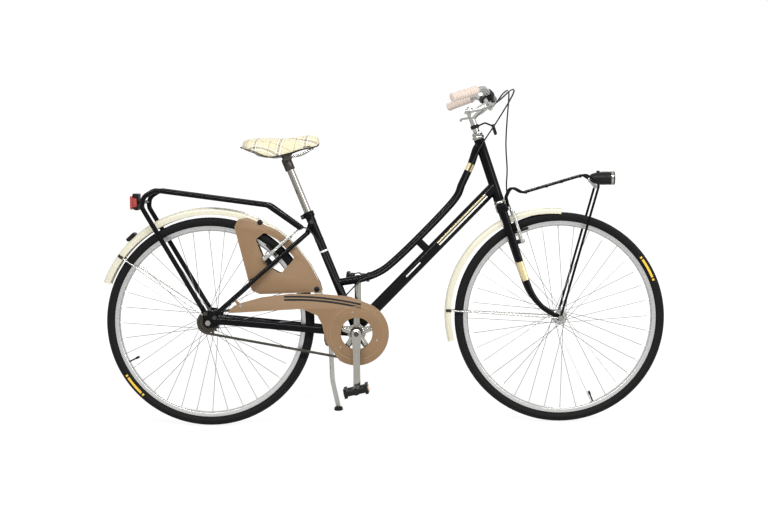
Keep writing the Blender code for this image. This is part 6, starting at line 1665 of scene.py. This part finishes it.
def saddle():
    """The padded cover with its welted lower edge, over a moulded base."""
    cover = []
    base = []
    edge = []
    for x, half, low, high, skirt in SADDLE:
        rise = high - skirt
        ring = [(0.3, low + 0.01), (0.72, low + 0.01), (0.86, skirt + rise * 0.1)]
        ring += [(0.975, skirt + rise * 0.08), (1, skirt + rise * 0.4), (0.9, high - rise * 0.22)]
        ring += [(0.6, high - rise * 0.02), (0, high - rise * 0.01)]
        cover.append((x, [(half * share, z) for share, z in ring]))
        ring = [(0.3, low + 0.003), (0.72, low + 0.003), (0.84, skirt), (0.93, skirt + rise * 0.1)]
        ring += [(0.9, skirt + rise * 0.34), (0.66, low + 0.014), (0.3, low + 0.014)]
        base.append((x * 0.99, [(half * share, z) for share, z in ring]))
        edge.append(SADDLE_AT + at(x * 0.985, half * 0.945, skirt + rise * 0.16))
    edge.pop()
    welt = pipe(smooth([WELT_BACK, *edge, WELT_NOSE, *mirrored(edge), WELT_BACK], 8), 0.0016, 8)
    top = {SADDLE_TARTAN: lofted(cover, 3)}
    obj = piece("saddle_cover", top, "seat_post", "saddle_cloth", "saddle")
    piece("saddle_base", {SADDLE_BASE: [lofted(base, 2), welt]}, "seat_post", "black_plastic")


def rails_and_clamp():
    """The saddle's rail wire, the clamp round it, and the post."""
    left = [POST_TOP + at(x, y, z + 0.038) for x, y, z in RAILS]
    wire = {CHROME: pipe(smooth([*left, *mirrored(left[:-1])], 8), RAIL_WIRE, 16)}
    piece("saddle_rail_wire", wire, "seat_post", "chrome", "saddle_rails")
    cross = POST_TOP + at(0, 0, 0.018)
    disc = hoop(0.0044, 0.016, 0.003, 0.001, 0.001)
    dark = [turned(disc, axle_place(cross + SIDE * y), 28) for y in CLAMP_DISCS]
    dark.append(rod(0.004, cross - SIDE * 0.0345, cross + SIDE * 0.0345, 16))
    for side in (RIGHT, LEFT):
        dark += hexagon_bolt(cross + SIDE * side * 0.032, SIDE * side, 0.0072, 0.0055, False)
    dark.append(turned(CLAMP_COLLAR, aimed(POST_TOP, POST_TOP + SEAT_UP), 36))
    piece("saddle_clamp_set", {DARK_STEEL: dark}, "seat_post", "dark_steel", "saddle_clamp")
    tube = {CHROME: turned(SEAT_POST, aimed(seat(0.32), POST_TOP), 40)}
    piece("seat_post_tube", tube, "seat_post", "chrome", "seat_post")


def seat_clamp():
    """The ring at the seat tube's top, with two ears and a bolt through them."""
    ring = turned(hoop(0.0146, 0.0183, 0.009, 0.0003, 0.0006), aimed(seat(0.42), seat(0.429)), 40)
    middle = seat(0.42, 0.0223)
    black = [ring]
    for side in (LEFT, RIGHT):
        ear = put_at(middle + SIDE * side * 0.0046) @ Matrix.Rotation(-SEAT_LEAN, 4, "Y")
        black.append(block((0.012, 0.0066, 0.015), ear, 0.0016))
    bolts = hexagon_bolt(middle - SIDE * 0.008, -SIDE, 0.005, 0.005, False)
    bolts += cap_screw(middle + SIDE * 0.008, SIDE, 0.005, 0.005)
    bolts.append(rod(0.0028, middle - SIDE * 0.0085, middle + SIDE * 0.0085, 12))
    parts = {BLACK_PAINT: black, DARK_STEEL: bolts}
    piece("seat_clamp_ring", parts, FRAME, "black_paint", "seat_clamp")


saddle()
rails_and_clamp()
seat_clamp()

# Handlebar, stem, grips and levers

BAR_CENTRE = at(0.93703, 0, 1.05193)
# The bar's corners, as (ahead, aside, up) from its clamp
BAR = [(0.006, 0.11, 0.008), (-0.035, 0.211, 0.037), (-0.129, 0.277, 0.006)]
BULGE = [(0.0105, -0.034), (0.0111, -0.031), (0.0114, -0.024), (0.0114, 0.024), (0.0111, 0.031)]
BULGE += [(0.0105, 0.034)]
QUILL_TOP = -0.322
QUILL_END = [(0.0122, 0.018), (0.013, 0.008), (0.0118, 0.0015), (0.0085, 0), (0, 0)]
QUILL_BOLT = [(0, 0), (0.0052, 0), (0.0052, 0.003), (0.004, 0.004), (0.0026, 0.004)]
QUILL_BOLT += [(0.0024, 0.0016), (0, 0.0016)]
GRIP_ROWS = 84
GRIP_STEPS = 48
GRIP_RADIUS = 0.0128
GRIP_LARGEST = 0.0145
GRIP_PATTERN = (0.12, 0.9)
LOZENGES = 6
LOZENGE_TWIST = 26
LEVER_CHEEK = 0.003
PIVOT_UNDER_BAR = 0.024
CABLE_STOP = [(0, 0), (0.0036, 0), (0.004, 0.001), (0.004, 0.005), (0.0032, 0.0058)]
CABLE_STOP += [(0.0032, 0.0086), (0, 0.0086)]
# The lever's blade, as (share of its length, height), after its first point
BLADE_PATH = ((0.18, -0.0105), (0.35, -0.013), (0.7, -0.01), (0.94, -0.004), (1, -0.008))


def bar_points(side):
    return [BAR_CENTRE + at(x, side * y, z) for x, y, z in BAR]


def lever_place(side):
    """The pivot's axes, with x along the lever and z towards the bar, then the lever's length,
    the middle of its clamp and the way along the bar there."""
    inner, corner, tip = bar_points(side)
    hand = (tip - corner).normalized()
    down = at(0.5, 0, -0.85)
    down = (down - hand * down.dot(hand)).normalized()
    on_bar = inner.lerp(corner, 0.44)
    pivot = on_bar + down * PIVOT_UNDER_BAR
    end = tip - hand * 0.02 + down * 0.052
    length = (end - pivot).length
    along = (end - pivot).normalized()
    up = (-down + along * down.dot(along)).normalized()
    return axes(along, up.cross(along), up, pivot), length, on_bar, (corner - inner).normalized()


def cable_stop(side):
    """Where the cable meets its lever's mount, the end of the stop there, and the way out of it."""
    place, _, _, bar_along = lever_place(side)
    start = place @ at(-0.008, 0, 0.006)
    return start, start - bar_along * 0.022, -bar_along


def handlebar():
    clamped = [BAR_CENTRE - SIDE * 0.024, BAR_CENTRE + SIDE * 0.024]
    route = [*bar_points(RIGHT)[::-1], *clamped, *bar_points(LEFT)]
    tube = pipe(bent(route, 0.035, 10), BAR_RADIUS, 28)
    sleeve = turned(BULGE, axle_place(BAR_CENTRE), 36, closed=False)
    piece("handlebar_tube", {SILVER: [tube, sleeve]}, "stem", "silver", "handlebar")


def quill():
    """The quill with its bolt, the arm forward to the bar, and the bar's clamp."""
    low = steer(-0.1464)
    top = steer(QUILL_TOP)
    length = (top - low).length
    shaft = [(0, 0), (0.0106, 0), (BAR_RADIUS, 0.001), (BAR_RADIUS, length - 0.03)]
    shaft += [(r, length - below) for r, below in QUILL_END]
    reach = steer(-0.306, 0.036)
    arm = [steer(-0.288), steer(-0.296, 0.014), reach, BAR_CENTRE.lerp(reach, 0.2), BAR_CENTRE]
    under = BAR_CENTRE + STEER_DOWN * 0.015 - STEER_AHEAD * 0.004
    parts = [
        turned(shaft, aimed(low, top), 36),
        turned(QUILL_BOLT, aimed(top, top - STEER_DOWN), 6),
        pipe(smooth(arm, 5), 0.0122, 28, [1.06 - 0.16 * i / 20 for i in range(21)]),
        turned(hoop(0.0116, 0.0161, 0.02, 0.0009, 0.0012), axle_place(BAR_CENTRE), 40),
        block((0.016, 0.026, 0.01), put_at(under) @ HEAD_TILT, 0.003, 3),
    ]
    parts += cap_screw(under + STEER_DOWN * 0.0045, STEER_DOWN, 0.0044, 0.0036)
    piece("quill_and_clamp", {SILVER: parts}, "stem", "silver", "quill_stem")


def bar_reflector():
    """The reflector ahead of the stem, on a wire arm from a ring round the quill."""
    ring = turned(hoop(0.0112, 0.0141, 0.006), aimed(steer(-0.256), steer(-1)), 32)
    arm = pipe(bent([steer(-0.256, 0.012), steer(-0.2585, 0.036), steer(-0.24, 0.057)], 0.012), 0.003, 14)
    turn = put_at(steer(-0.2276, 0.0575)) @ HEAD_TILT
    body = block((0.008, 0.052, 0.036), turn, 0.0025, 3)
    face = block((0.002, 0.046, 0.03), turn @ shifted(0.0036), 0.0009, 2)
    parts = {BLACK_PLASTIC: [ring, arm, body], CLEAR_LENS: face}
    piece("front_reflector_set", parts, "stem", "black_plastic", "front_reflector")


def swell(t, middle, width):
    """A hump round the grip at this share of its length."""
    return math.exp(-((t - middle) / width) ** 2)


def grip(side, name):
    """A soft sleeve with raised lozenges and a flange at its inner end."""
    _, corner, tip = bar_points(side)
    along = (tip - corner).normalized()
    end = tip + along * 0.004
    start = tip - along * 0.096
    length = (end - start).length
    shape = bmesh.new()
    rings = []
    for row in range(GRIP_ROWS + 1):
        t = row / GRIP_ROWS
        patterned = GRIP_PATTERN[0] < t < GRIP_PATTERN[1]
        humps = 0.001 * swell(t, 0.04, 0.05) + 0.0007 * swell(t, 0.95, 0.04)
        narrow = 1 - 0.22 * max(0, (t - 0.975) / 0.025) ** 2
        ring = []
        for step in range(GRIP_STEPS):
            angle = TURN * step / GRIP_STEPS
            twist = t * LOZENGE_TWIST
            wave = math.sin(angle * LOZENGES + twist) * math.sin(angle * LOZENGES - twist)
            raised = 0.0012 * (0.5 + 0.5 * wave) if patterned else 0.0008
            radius = min((GRIP_RADIUS + raised + humps) * narrow, GRIP_LARGEST)
            ring.append(shape.verts.new((radius * math.cos(angle), radius * math.sin(angle), t * length)))
        rings.append(ring)
    skin(shape, rings)
    sleeve = {BEIGE_RUBBER: loose(shape, aimed(start, end))}
    piece(f"grip_{name}_sleeve", sleeve, "stem", "beige_rubber", f"grip_{name}", sharp=60)


def lever_mount(side, name):
    """The clamp on the bar, the cheeks down to the lever's pivot, and the cable's stop."""
    place, _, on_bar, bar_along = lever_place(side)
    pivot = place.translation
    above = place.inverted() @ on_bar
    upright = place @ Matrix.Rotation(math.pi / 2, 4, "X")
    ring = hoop(0.0113, 0.0151, 0.012, 0.0008, 0.001)
    start, end, _ = cable_stop(side)
    cheek = link((0, 0), (above.x, above.z), 0.007, 0.009, 14)
    middle = at(above.x * 0.5, 0, above.z * 0.5)
    black = [
        turned(ring, aimed(on_bar, on_bar + bar_along), 36),
        rod(0.004, start, start.lerp(end, 0.45), 18),
        block((0.017, 0.0112, 0.016), place @ put_at(middle + at(-0.001, 0, 0.001)), 0.003, 3),
    ]
    for sign in (1, -1):
        shift = place.to_3x3() @ at(0, sign * 0.0058, 0)
        black.append(plate([cheek], LEVER_CHEEK, put_at(shift) @ upright, 0.0008))
    pin = place.to_3x3() @ at(0, 0.0073, 0)
    cover = place @ put_at(middle + at(-0.0015, -0.0076, 0.002))
    silver = [
        rod(0.0025, pivot - pin, pivot + pin, 16),
        turned(CABLE_STOP, aimed(start.lerp(end, 0.46), end), 20),
        block((0.013, 0.001, 0.011), cover, 0.0004, 1),
    ]
    silver += cap_screw(pivot - pin, -pin.normalized(), 0.0038, 0.0014)
    parts = {BLACK_PLASTIC: black, SILVER: silver}
    piece(f"lever_mount_{name}", parts, "stem", "black_plastic", f"brake_bracket_{name}")


def lever_blade(side, name):
    """The lever: a tab on its pivot and a curved blade that thickens at its end."""
    place, length, _, _ = lever_place(side)
    upright = place @ Matrix.Rotation(math.pi / 2, 4, "X")
    tab = link((0, 0), (0.016, -0.006), 0.0065, 0.006, 14)
    path = [(0.012, -0.0055)] + [(length * share, z) for share, z in BLADE_PATH]
    points = smooth([place @ at(x, 0, z) for x, z in path], 8)
    shares = []
    for index in range(len(points)):
        t = index / (len(points) - 1)
        shares.append(0.86 + 0.1 * math.sin(math.pi * t) + (0.12 if t > 0.93 else 0))
    whole = [plate([tab, circle(0.0028, 16)], 0.008, upright, 0.001)]
    whole.append(pipe(points, 0.0044, 20, shares, 1.14, place.to_3x3() @ SIDE))
    lever = f"brake_lever_{name}"
    piece(f"lever_{name}_blade", {SILVER: whole}, lever, "silver", lever)


handlebar()
quill()
bar_reflector()
for side, name in SIDES:
    grip(side, name)
    lever_mount(side, name)
    lever_blade(side, name)

# Brakes

# An arm lies along local x from its pivot, its pad towards y, and its middle at this height in z
ARM_Z = 0.029
ARM_LENGTH = 0.107
PAD_X = 0.034
PAD_Y = 0.0218
PAD_GROOVES = (0.022, 0.03, 0.044, 0.052)
PIVOT_CAP = [(0, 0), (0.0062, 0), (0.0062, 0.0008), (0.0045, 0.0012), (0.0045, 0.0046)]
PIVOT_CAP += [(0.0036, 0.0054), (0, 0.0054)]
PIVOT_WASHER = [(0.0034, -0.0052), (0.0068, -0.0052), (0.0068, -0.0044), (0.0034, -0.0044)]
PAD_DISH = [(0.0031, 0), (0.0064, 0), (0.0064, 0.0018), (0.005, 0.0034), (0.0031, 0.0034)]
PAD_NUT = [(0, 0), (0.0052, 0), (0.0052, 0.0042), (0, 0.0046)]
SPRING = [(-0.004, -0.007, 0.002), (0.02, -0.0092, -0.001), (0.052, -0.0082, -0.002)]
SPRING += [(0.06, -0.0056, -0.002)]
NOODLE = [(0.104, 0), (0.106, 0.012), (0.114, 0.02), (0.124, 0.022), (0.134, 0.022)]
NOODLE_SLEEVE = [(0.0026, 0), (0.0036, 0), (0.0036, 0.006), (0.0026, 0.006)]
STUD = [(0, -0.004), (0.0054, -0.004), (0.0054, 0.0237), (0.003, 0.0239), (0.003, 0.033)]
STUD += [(0, 0.0332)]
STUD_RADIUS = 0.0054
STAY_UP = at(0.75811, 0, 0.65213)
STAY_BACK = at(-0.65213, 0, 0.75811)


def front_brake_place(side):
    return axes(-STEER_DOWN, -SIDE, STEER_AHEAD, at(1.00673, side * 0.04, 0.59011))


def rear_brake_place(side):
    return axes(STAY_UP, SIDE, STAY_BACK, at(0.20657, side * 0.04, 0.53073))


def brake_arm(end, name, place, sign, has_noodle):
    """A linear-pull arm: a cast arm, its pad in a holder, washers, spring, and noodle or bolt."""
    outline = link((0, 0), (ARM_LENGTH, 0), 0.008, 0.005, 14)
    stem = at(PAD_X, 0, ARM_Z)
    pad = stem + SIDE * sign * PAD_Y
    away = SIDE * sign
    spring = [at(x, sign * y, ARM_Z + z) for x, y, z in SPRING]
    silver = [
        plate([outline, circle(0.0033, 16)], 0.0088, shifted(z=ARM_Z), 0.0018),
        turned(PIVOT_CAP, shifted(z=ARM_Z + 0.0044), 20),
        turned(PIVOT_WASHER, shifted(z=ARM_Z), 24),
        rod(0.003, stem, pad - away * 0.003, 14),
        turned(PAD_DISH, aimed(stem + away * 0.0085, stem + away * 0.02), 22),
        turned(PAD_NUT, aimed(stem - away * 0.006, stem - away * 0.02), 6),
        pipe(smooth(spring, 5), 0.0008, 8),
    ]
    for x in (0.02, 0.05, 0.08):
        silver.append(block((0.016, 0.0045, 0.001), shifted(x, 0, ARM_Z + 0.0046), 0.0004, 1))
    black = [block((0.009, 0.008, 0.05), shifted(PAD_X, pad.y, 0.037), 0.002, 3)]
    for z in PAD_GROOVES:
        rib = shifted(PAD_X, sign * (PAD_Y - 0.0022), z)
        black.append(block((0.0092, 0.003, 0.0016), rib, 0.0004, 1))
    if has_noodle:
        silver.append(pipe(smooth([at(x, sign * y, ARM_Z) for x, y in NOODLE], 6), 0.0025, 16))
        sleeve = shifted(0.1275, sign * NOODLE[-1][1], ARM_Z) @ Matrix.Rotation(math.pi / 2, 4, "Y")
        silver.append(turned(NOODLE_SLEEVE, sleeve, 18))
    else:
        silver += hexagon_bolt(at(0.1, 0, ARM_Z + 0.0044), at(0, 0, 1), 0.0042, 0.004)
    coats = {SILVER: silver, BLACK_PLASTIC: black}
    whole = {material: [moved(one, place) for one in meshes] for material, meshes in coats.items()}
    piece(f"{end}_brake_{name}", whole, f"{end}_arm_{name}", "silver", f"{end}_brake_arm_{name}")


def brake_studs(end, body, where):
    """The pivots that the arms turn on, brazed to the fork or to the seat stays."""
    studs = []
    for side in (LEFT, RIGHT):
        studs.append(turned(STUD, where(side), 28))
        if end == "rear":
            arm_at = where(side).translation
            share = (arm_at.x - STAY_FOOT.x) / (STAY_TOP.x - STAY_FOOT.x) / STAY_BEND_SHARE
            stay_y = side * (STAY_PLANE + (STAY_BEND_Y - STAY_PLANE) * share)
            studs.append(rod(STUD_RADIUS, arm_at, at(arm_at.x, stay_y, arm_at.z), 18))
    piece(f"{end}_brake_studs", {BLACK_PAINT: studs}, body, "black_paint")


brake_studs("front", "steering", front_brake_place)
brake_studs("rear", FRAME, rear_brake_place)
for side, name in SIDES:
    brake_arm("front", name, front_brake_place(side), side, side == LEFT)
    brake_arm("rear", name, rear_brake_place(side), -side, side == RIGHT)

# Brake cables

# Points of the routes, as (down, ahead, aside) from the head tube's lower end
FRONT_CABLE = [(0, 0.029, 0.018), (-0.045, 0.041, 0.014), (-0.09, 0.0577, 0.006)]
FRONT_CABLE += [(-0.168, 0.078, -0.01), (-0.242, 0.106, -0.016), (-0.305, 0.133, -0.004)]
FRONT_CABLE += [(-0.336, 0.144, 0.034), (-0.334, 0.128, 0.082), (-0.318, 0.106, 0.118)]
REAR_CABLE = [(-0.316, 0.112, -0.118), (-0.33, 0.142, -0.084), (-0.326, 0.156, -0.05)]
REAR_CABLE += [(-0.296, 0.128, -0.034), (-0.244, 0.066, -0.032), (-0.205, 0.016, -0.03)]
REAR_CABLE += [(-0.17, -0.022, -0.021)]
REAR_SPLIT = 5
BESIDE_NECK = at(0, -0.0172, -0.004)
# Then (up, back, aside) from the crank, and (x, y, z)
CABLE_BY_SEAT = [(0.128, -0.014, -0.021), (0.15, -0.002, -0.021), (0.25, 0.002, -0.0195)]
CABLE_BY_SEAT += [(0.318, 0.003, -0.0205)]
CABLE_TO_STAY = [(0.342, -0.033, 0.638), (0.326, -0.033, 0.652), (0.309, -0.024, 0.653)]
CABLE_RADIUS = 0.0025
FERRULE_RADIUS = 0.0033
NOODLE_MOUTH = at(0.1343, NOODLE[-1][1], ARM_Z)
BOOT_RIBS = 8
BOOT_PITCH = 0.0032
BOOT_NECK = 0.0024
BOOT_RIB = 0.0037


def cable(name, points, node_name, ferrules):
    """A brake cable in its black cover, with metal ferrules at these ends."""
    silver = []
    for first, second in ferrules:
        tip = points[first]
        along = (points[second] - tip).normalized()
        silver.append(rod(FERRULE_RADIUS, tip + along * 0.0004, tip + along * 0.011, 14, 0.0004))
    parts = {CABLE_COVER: pipe(points, CABLE_RADIUS, 14), SILVER: silver}
    obj = piece(name, parts, None, "black_plastic", node_name)
    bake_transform(obj)


def front_cable():
    """From the front brake's noodle up to the left lever."""
    noodle = front_brake_place(LEFT) @ NOODLE_MOUTH
    _, stop, ahead = cable_stop(LEFT)
    route = [noodle, *[steer(*p) for p in FRONT_CABLE], stop + ahead * 0.016, stop + ahead * 0.0006]
    cable("front_cable", smooth(route, 3),
          "front_brake_cable", ((0, 1), (-1, -2)))


def rear_cable():
    """From the right lever along the frame to the rear brake's noodle, in two lengths."""
    noodle = rear_brake_place(RIGHT) @ NOODLE_MOUTH
    _, stop, ahead = cable_stop(RIGHT)
    route = [stop + ahead * 0.0006, stop + ahead * 0.016] + [steer(*p) for p in REAR_CABLE]
    neck = [steer(*p) for p in NECK_FRONT[3:]] + [seat(*p) for p in NECK_BACK[:3]]
    route += [p + BESIDE_NECK for p in neck] + [seat(*p) for p in CABLE_BY_SEAT]
    route += [at(*p) for p in CABLE_TO_STAY] + [noodle + STAY_UP * 0.012, noodle + STAY_UP * 0.001]
    curve = smooth(route, 2)
    split = 2 * REAR_SPLIT
    cable("rear_cable_upper", curve[:split + 1],
          "rear_brake_cable", ((0, 1),))
    cable("rear_cable_lower", curve[split:],
          "rear_brake_cable", ((-1, -2),))


def cable_boot(end, place, body):
    """The ribbed boot over the inner wire, from the noodle to the other arm."""
    start = place @ at(NOODLE[0][0], 0, ARM_Z)
    along = place.to_3x3() @ SIDE
    profile = [(0, 0)]
    for rib in range(BOOT_RIBS):
        profile += [(BOOT_NECK, rib * BOOT_PITCH), (BOOT_RIB, (rib + 0.5) * BOOT_PITCH)]
    profile += [(BOOT_NECK, BOOT_RIBS * BOOT_PITCH), (0, BOOT_RIBS * BOOT_PITCH)]
    wire = rod(0.0009, start, start + along * 0.078, 8, 0.0002)
    boot = turned(profile, aimed(start + along * 0.02, start + along), 16)
    piece(f"{end}_cable_boot", {SPOKE_STEEL: wire, BLACK_PLASTIC: boot}, body, "black_plastic")


front_cable()
rear_cable()
cable_boot("front", front_brake_place(LEFT), "front_arm_left")
cable_boot("rear", rear_brake_place(RIGHT), "rear_arm_right")

# CAD nodes that stay in view

keep(CHROME, "front_axle", "rear_axle")
keep(DARK_STEEL, "crank_spindle", "pedal_axle_left", "pedal_axle_right", "kickstand_mount")

# Floor, light and camera

WHITE = (1, 1, 1, 1)
FLOOR_SIZE = 30
LIGHT_TARGET = (0, 0, 0.5)
# Each lamp's name, place, sides and power
LAMPS = [("key_light", (-0.4, -2.8, 3), (3.8, 0.14), 120)]
LAMPS += [("fill_light", (2.8, -2.4, 2), (1.1, 1.1), 34), ("rim_light", (0.6, 3.2, 3), (1.1, 1.1), 55)]
LENS = 70.723
SENSOR = 36
CAMERA_PLACE = (0.6951, -4.98746, 0.77858)
CAMERA_RIGHT = (0.9996258, 0.0224871, -0.0155723)
CAMERA_UP = (0.0145606, 0.044473, 0.9989045)
CAMERA_BACK = (0.023155, -0.9987575, 0.0441289)


def floor_finish():
    """A pale floor that the camera sees as nearly white, with the bicycle's shadow on it."""
    material, tree, shader, place = shader_of("pale floor")
    clouds = {"Place": place, "Colour": (*grey(0.8), 1), "Tint": (*grey(0.78), 1)}
    dusty = placed(tree, "mottling", {**clouds, "Scale": 3, "Amount": 0.6})["Colour"]
    wired(tree, shader, {"Base Color": dusty, "Roughness": 0.9, "Specular IOR Level": 0})
    reach = node(tree, "VectorMath", {0: place}, operation="LENGTH").outputs["Value"]
    far = node(tree, "MapRange", {"Value": reach, 1: 1.2, 2: 2.6, 3: 0.86, 4: 1}).outputs[0]
    glow = node(tree, "Emission", {"Color": WHITE, "Strength": far})
    pale = node(tree, "BsdfDiffuse", {"Color": (*grey(0.18), 1)})
    seen = node(tree, "AddShader", {0: glow.outputs[0], 1: pale.outputs[0]})
    camera_ray = node(tree, "LightPath").outputs["Is Camera Ray"]
    chosen = node(tree, "MixShader", {0: camera_ray, 1: shader.outputs[0], 2: seen.outputs[0]})
    tree.links.new(chosen.outputs[0], tree.nodes["Material Output"].inputs["Surface"])
    return material


def world_light():
    """Soft even light, which the camera, gloss and glass see as a white studio."""
    world = bpy.data.worlds.new("studio")
    bpy.context.scene.world = world
    world.use_nodes = True
    tree = world.node_tree
    ground = wired(tree, tree.nodes["Background"], {"Color": WHITE, "Strength": 0.5})
    white = node(tree, "Background", {"Color": WHITE, "Strength": 1})
    path = node(tree, "LightPath")
    seen = maths(tree, "MAXIMUM", path.outputs["Is Camera Ray"], path.outputs["Is Glossy Ray"])
    seen = maths(tree, "MAXIMUM", seen, path.outputs["Is Transmission Ray"])
    chosen = node(tree, "MixShader", {0: seen, 1: ground.outputs[0], 2: white.outputs[0]})
    tree.links.new(chosen.outputs[0], tree.nodes["World Output"].inputs["Surface"])


def lamp(name, place, sides, power):
    light = bpy.data.lights.new(name, "AREA")
    light.shape = "RECTANGLE"
    light.size, light.size_y = sides
    light.energy = power
    obj = linked(name, light)
    obj.location = place
    obj.rotation_euler = (Vector(LIGHT_TARGET) - Vector(place)).to_track_quat("-Z", "Y").to_euler()


def studio():
    shape = bmesh.new()
    bmesh.ops.create_grid(shape, x_segments=8, y_segments=8, size=FLOOR_SIZE)
    floor = linked("studio_floor", dressed(loose(shape), floor_finish()))
    world_light()
    for settings in LAMPS:
        lamp(*settings)


def photograph_view():
    camera = bpy.data.cameras.new("photograph_view")
    camera.lens = LENS
    camera.sensor_width = SENSOR
    obj = linked("photograph_view", camera)
    obj.matrix_world = LEANED @ axes(CAMERA_RIGHT, CAMERA_UP, CAMERA_BACK, CAMERA_PLACE)
    bpy.context.scene.camera = obj


studio()
photograph_view()
bpy.context.scene.view_settings.view_transform = "Standard"
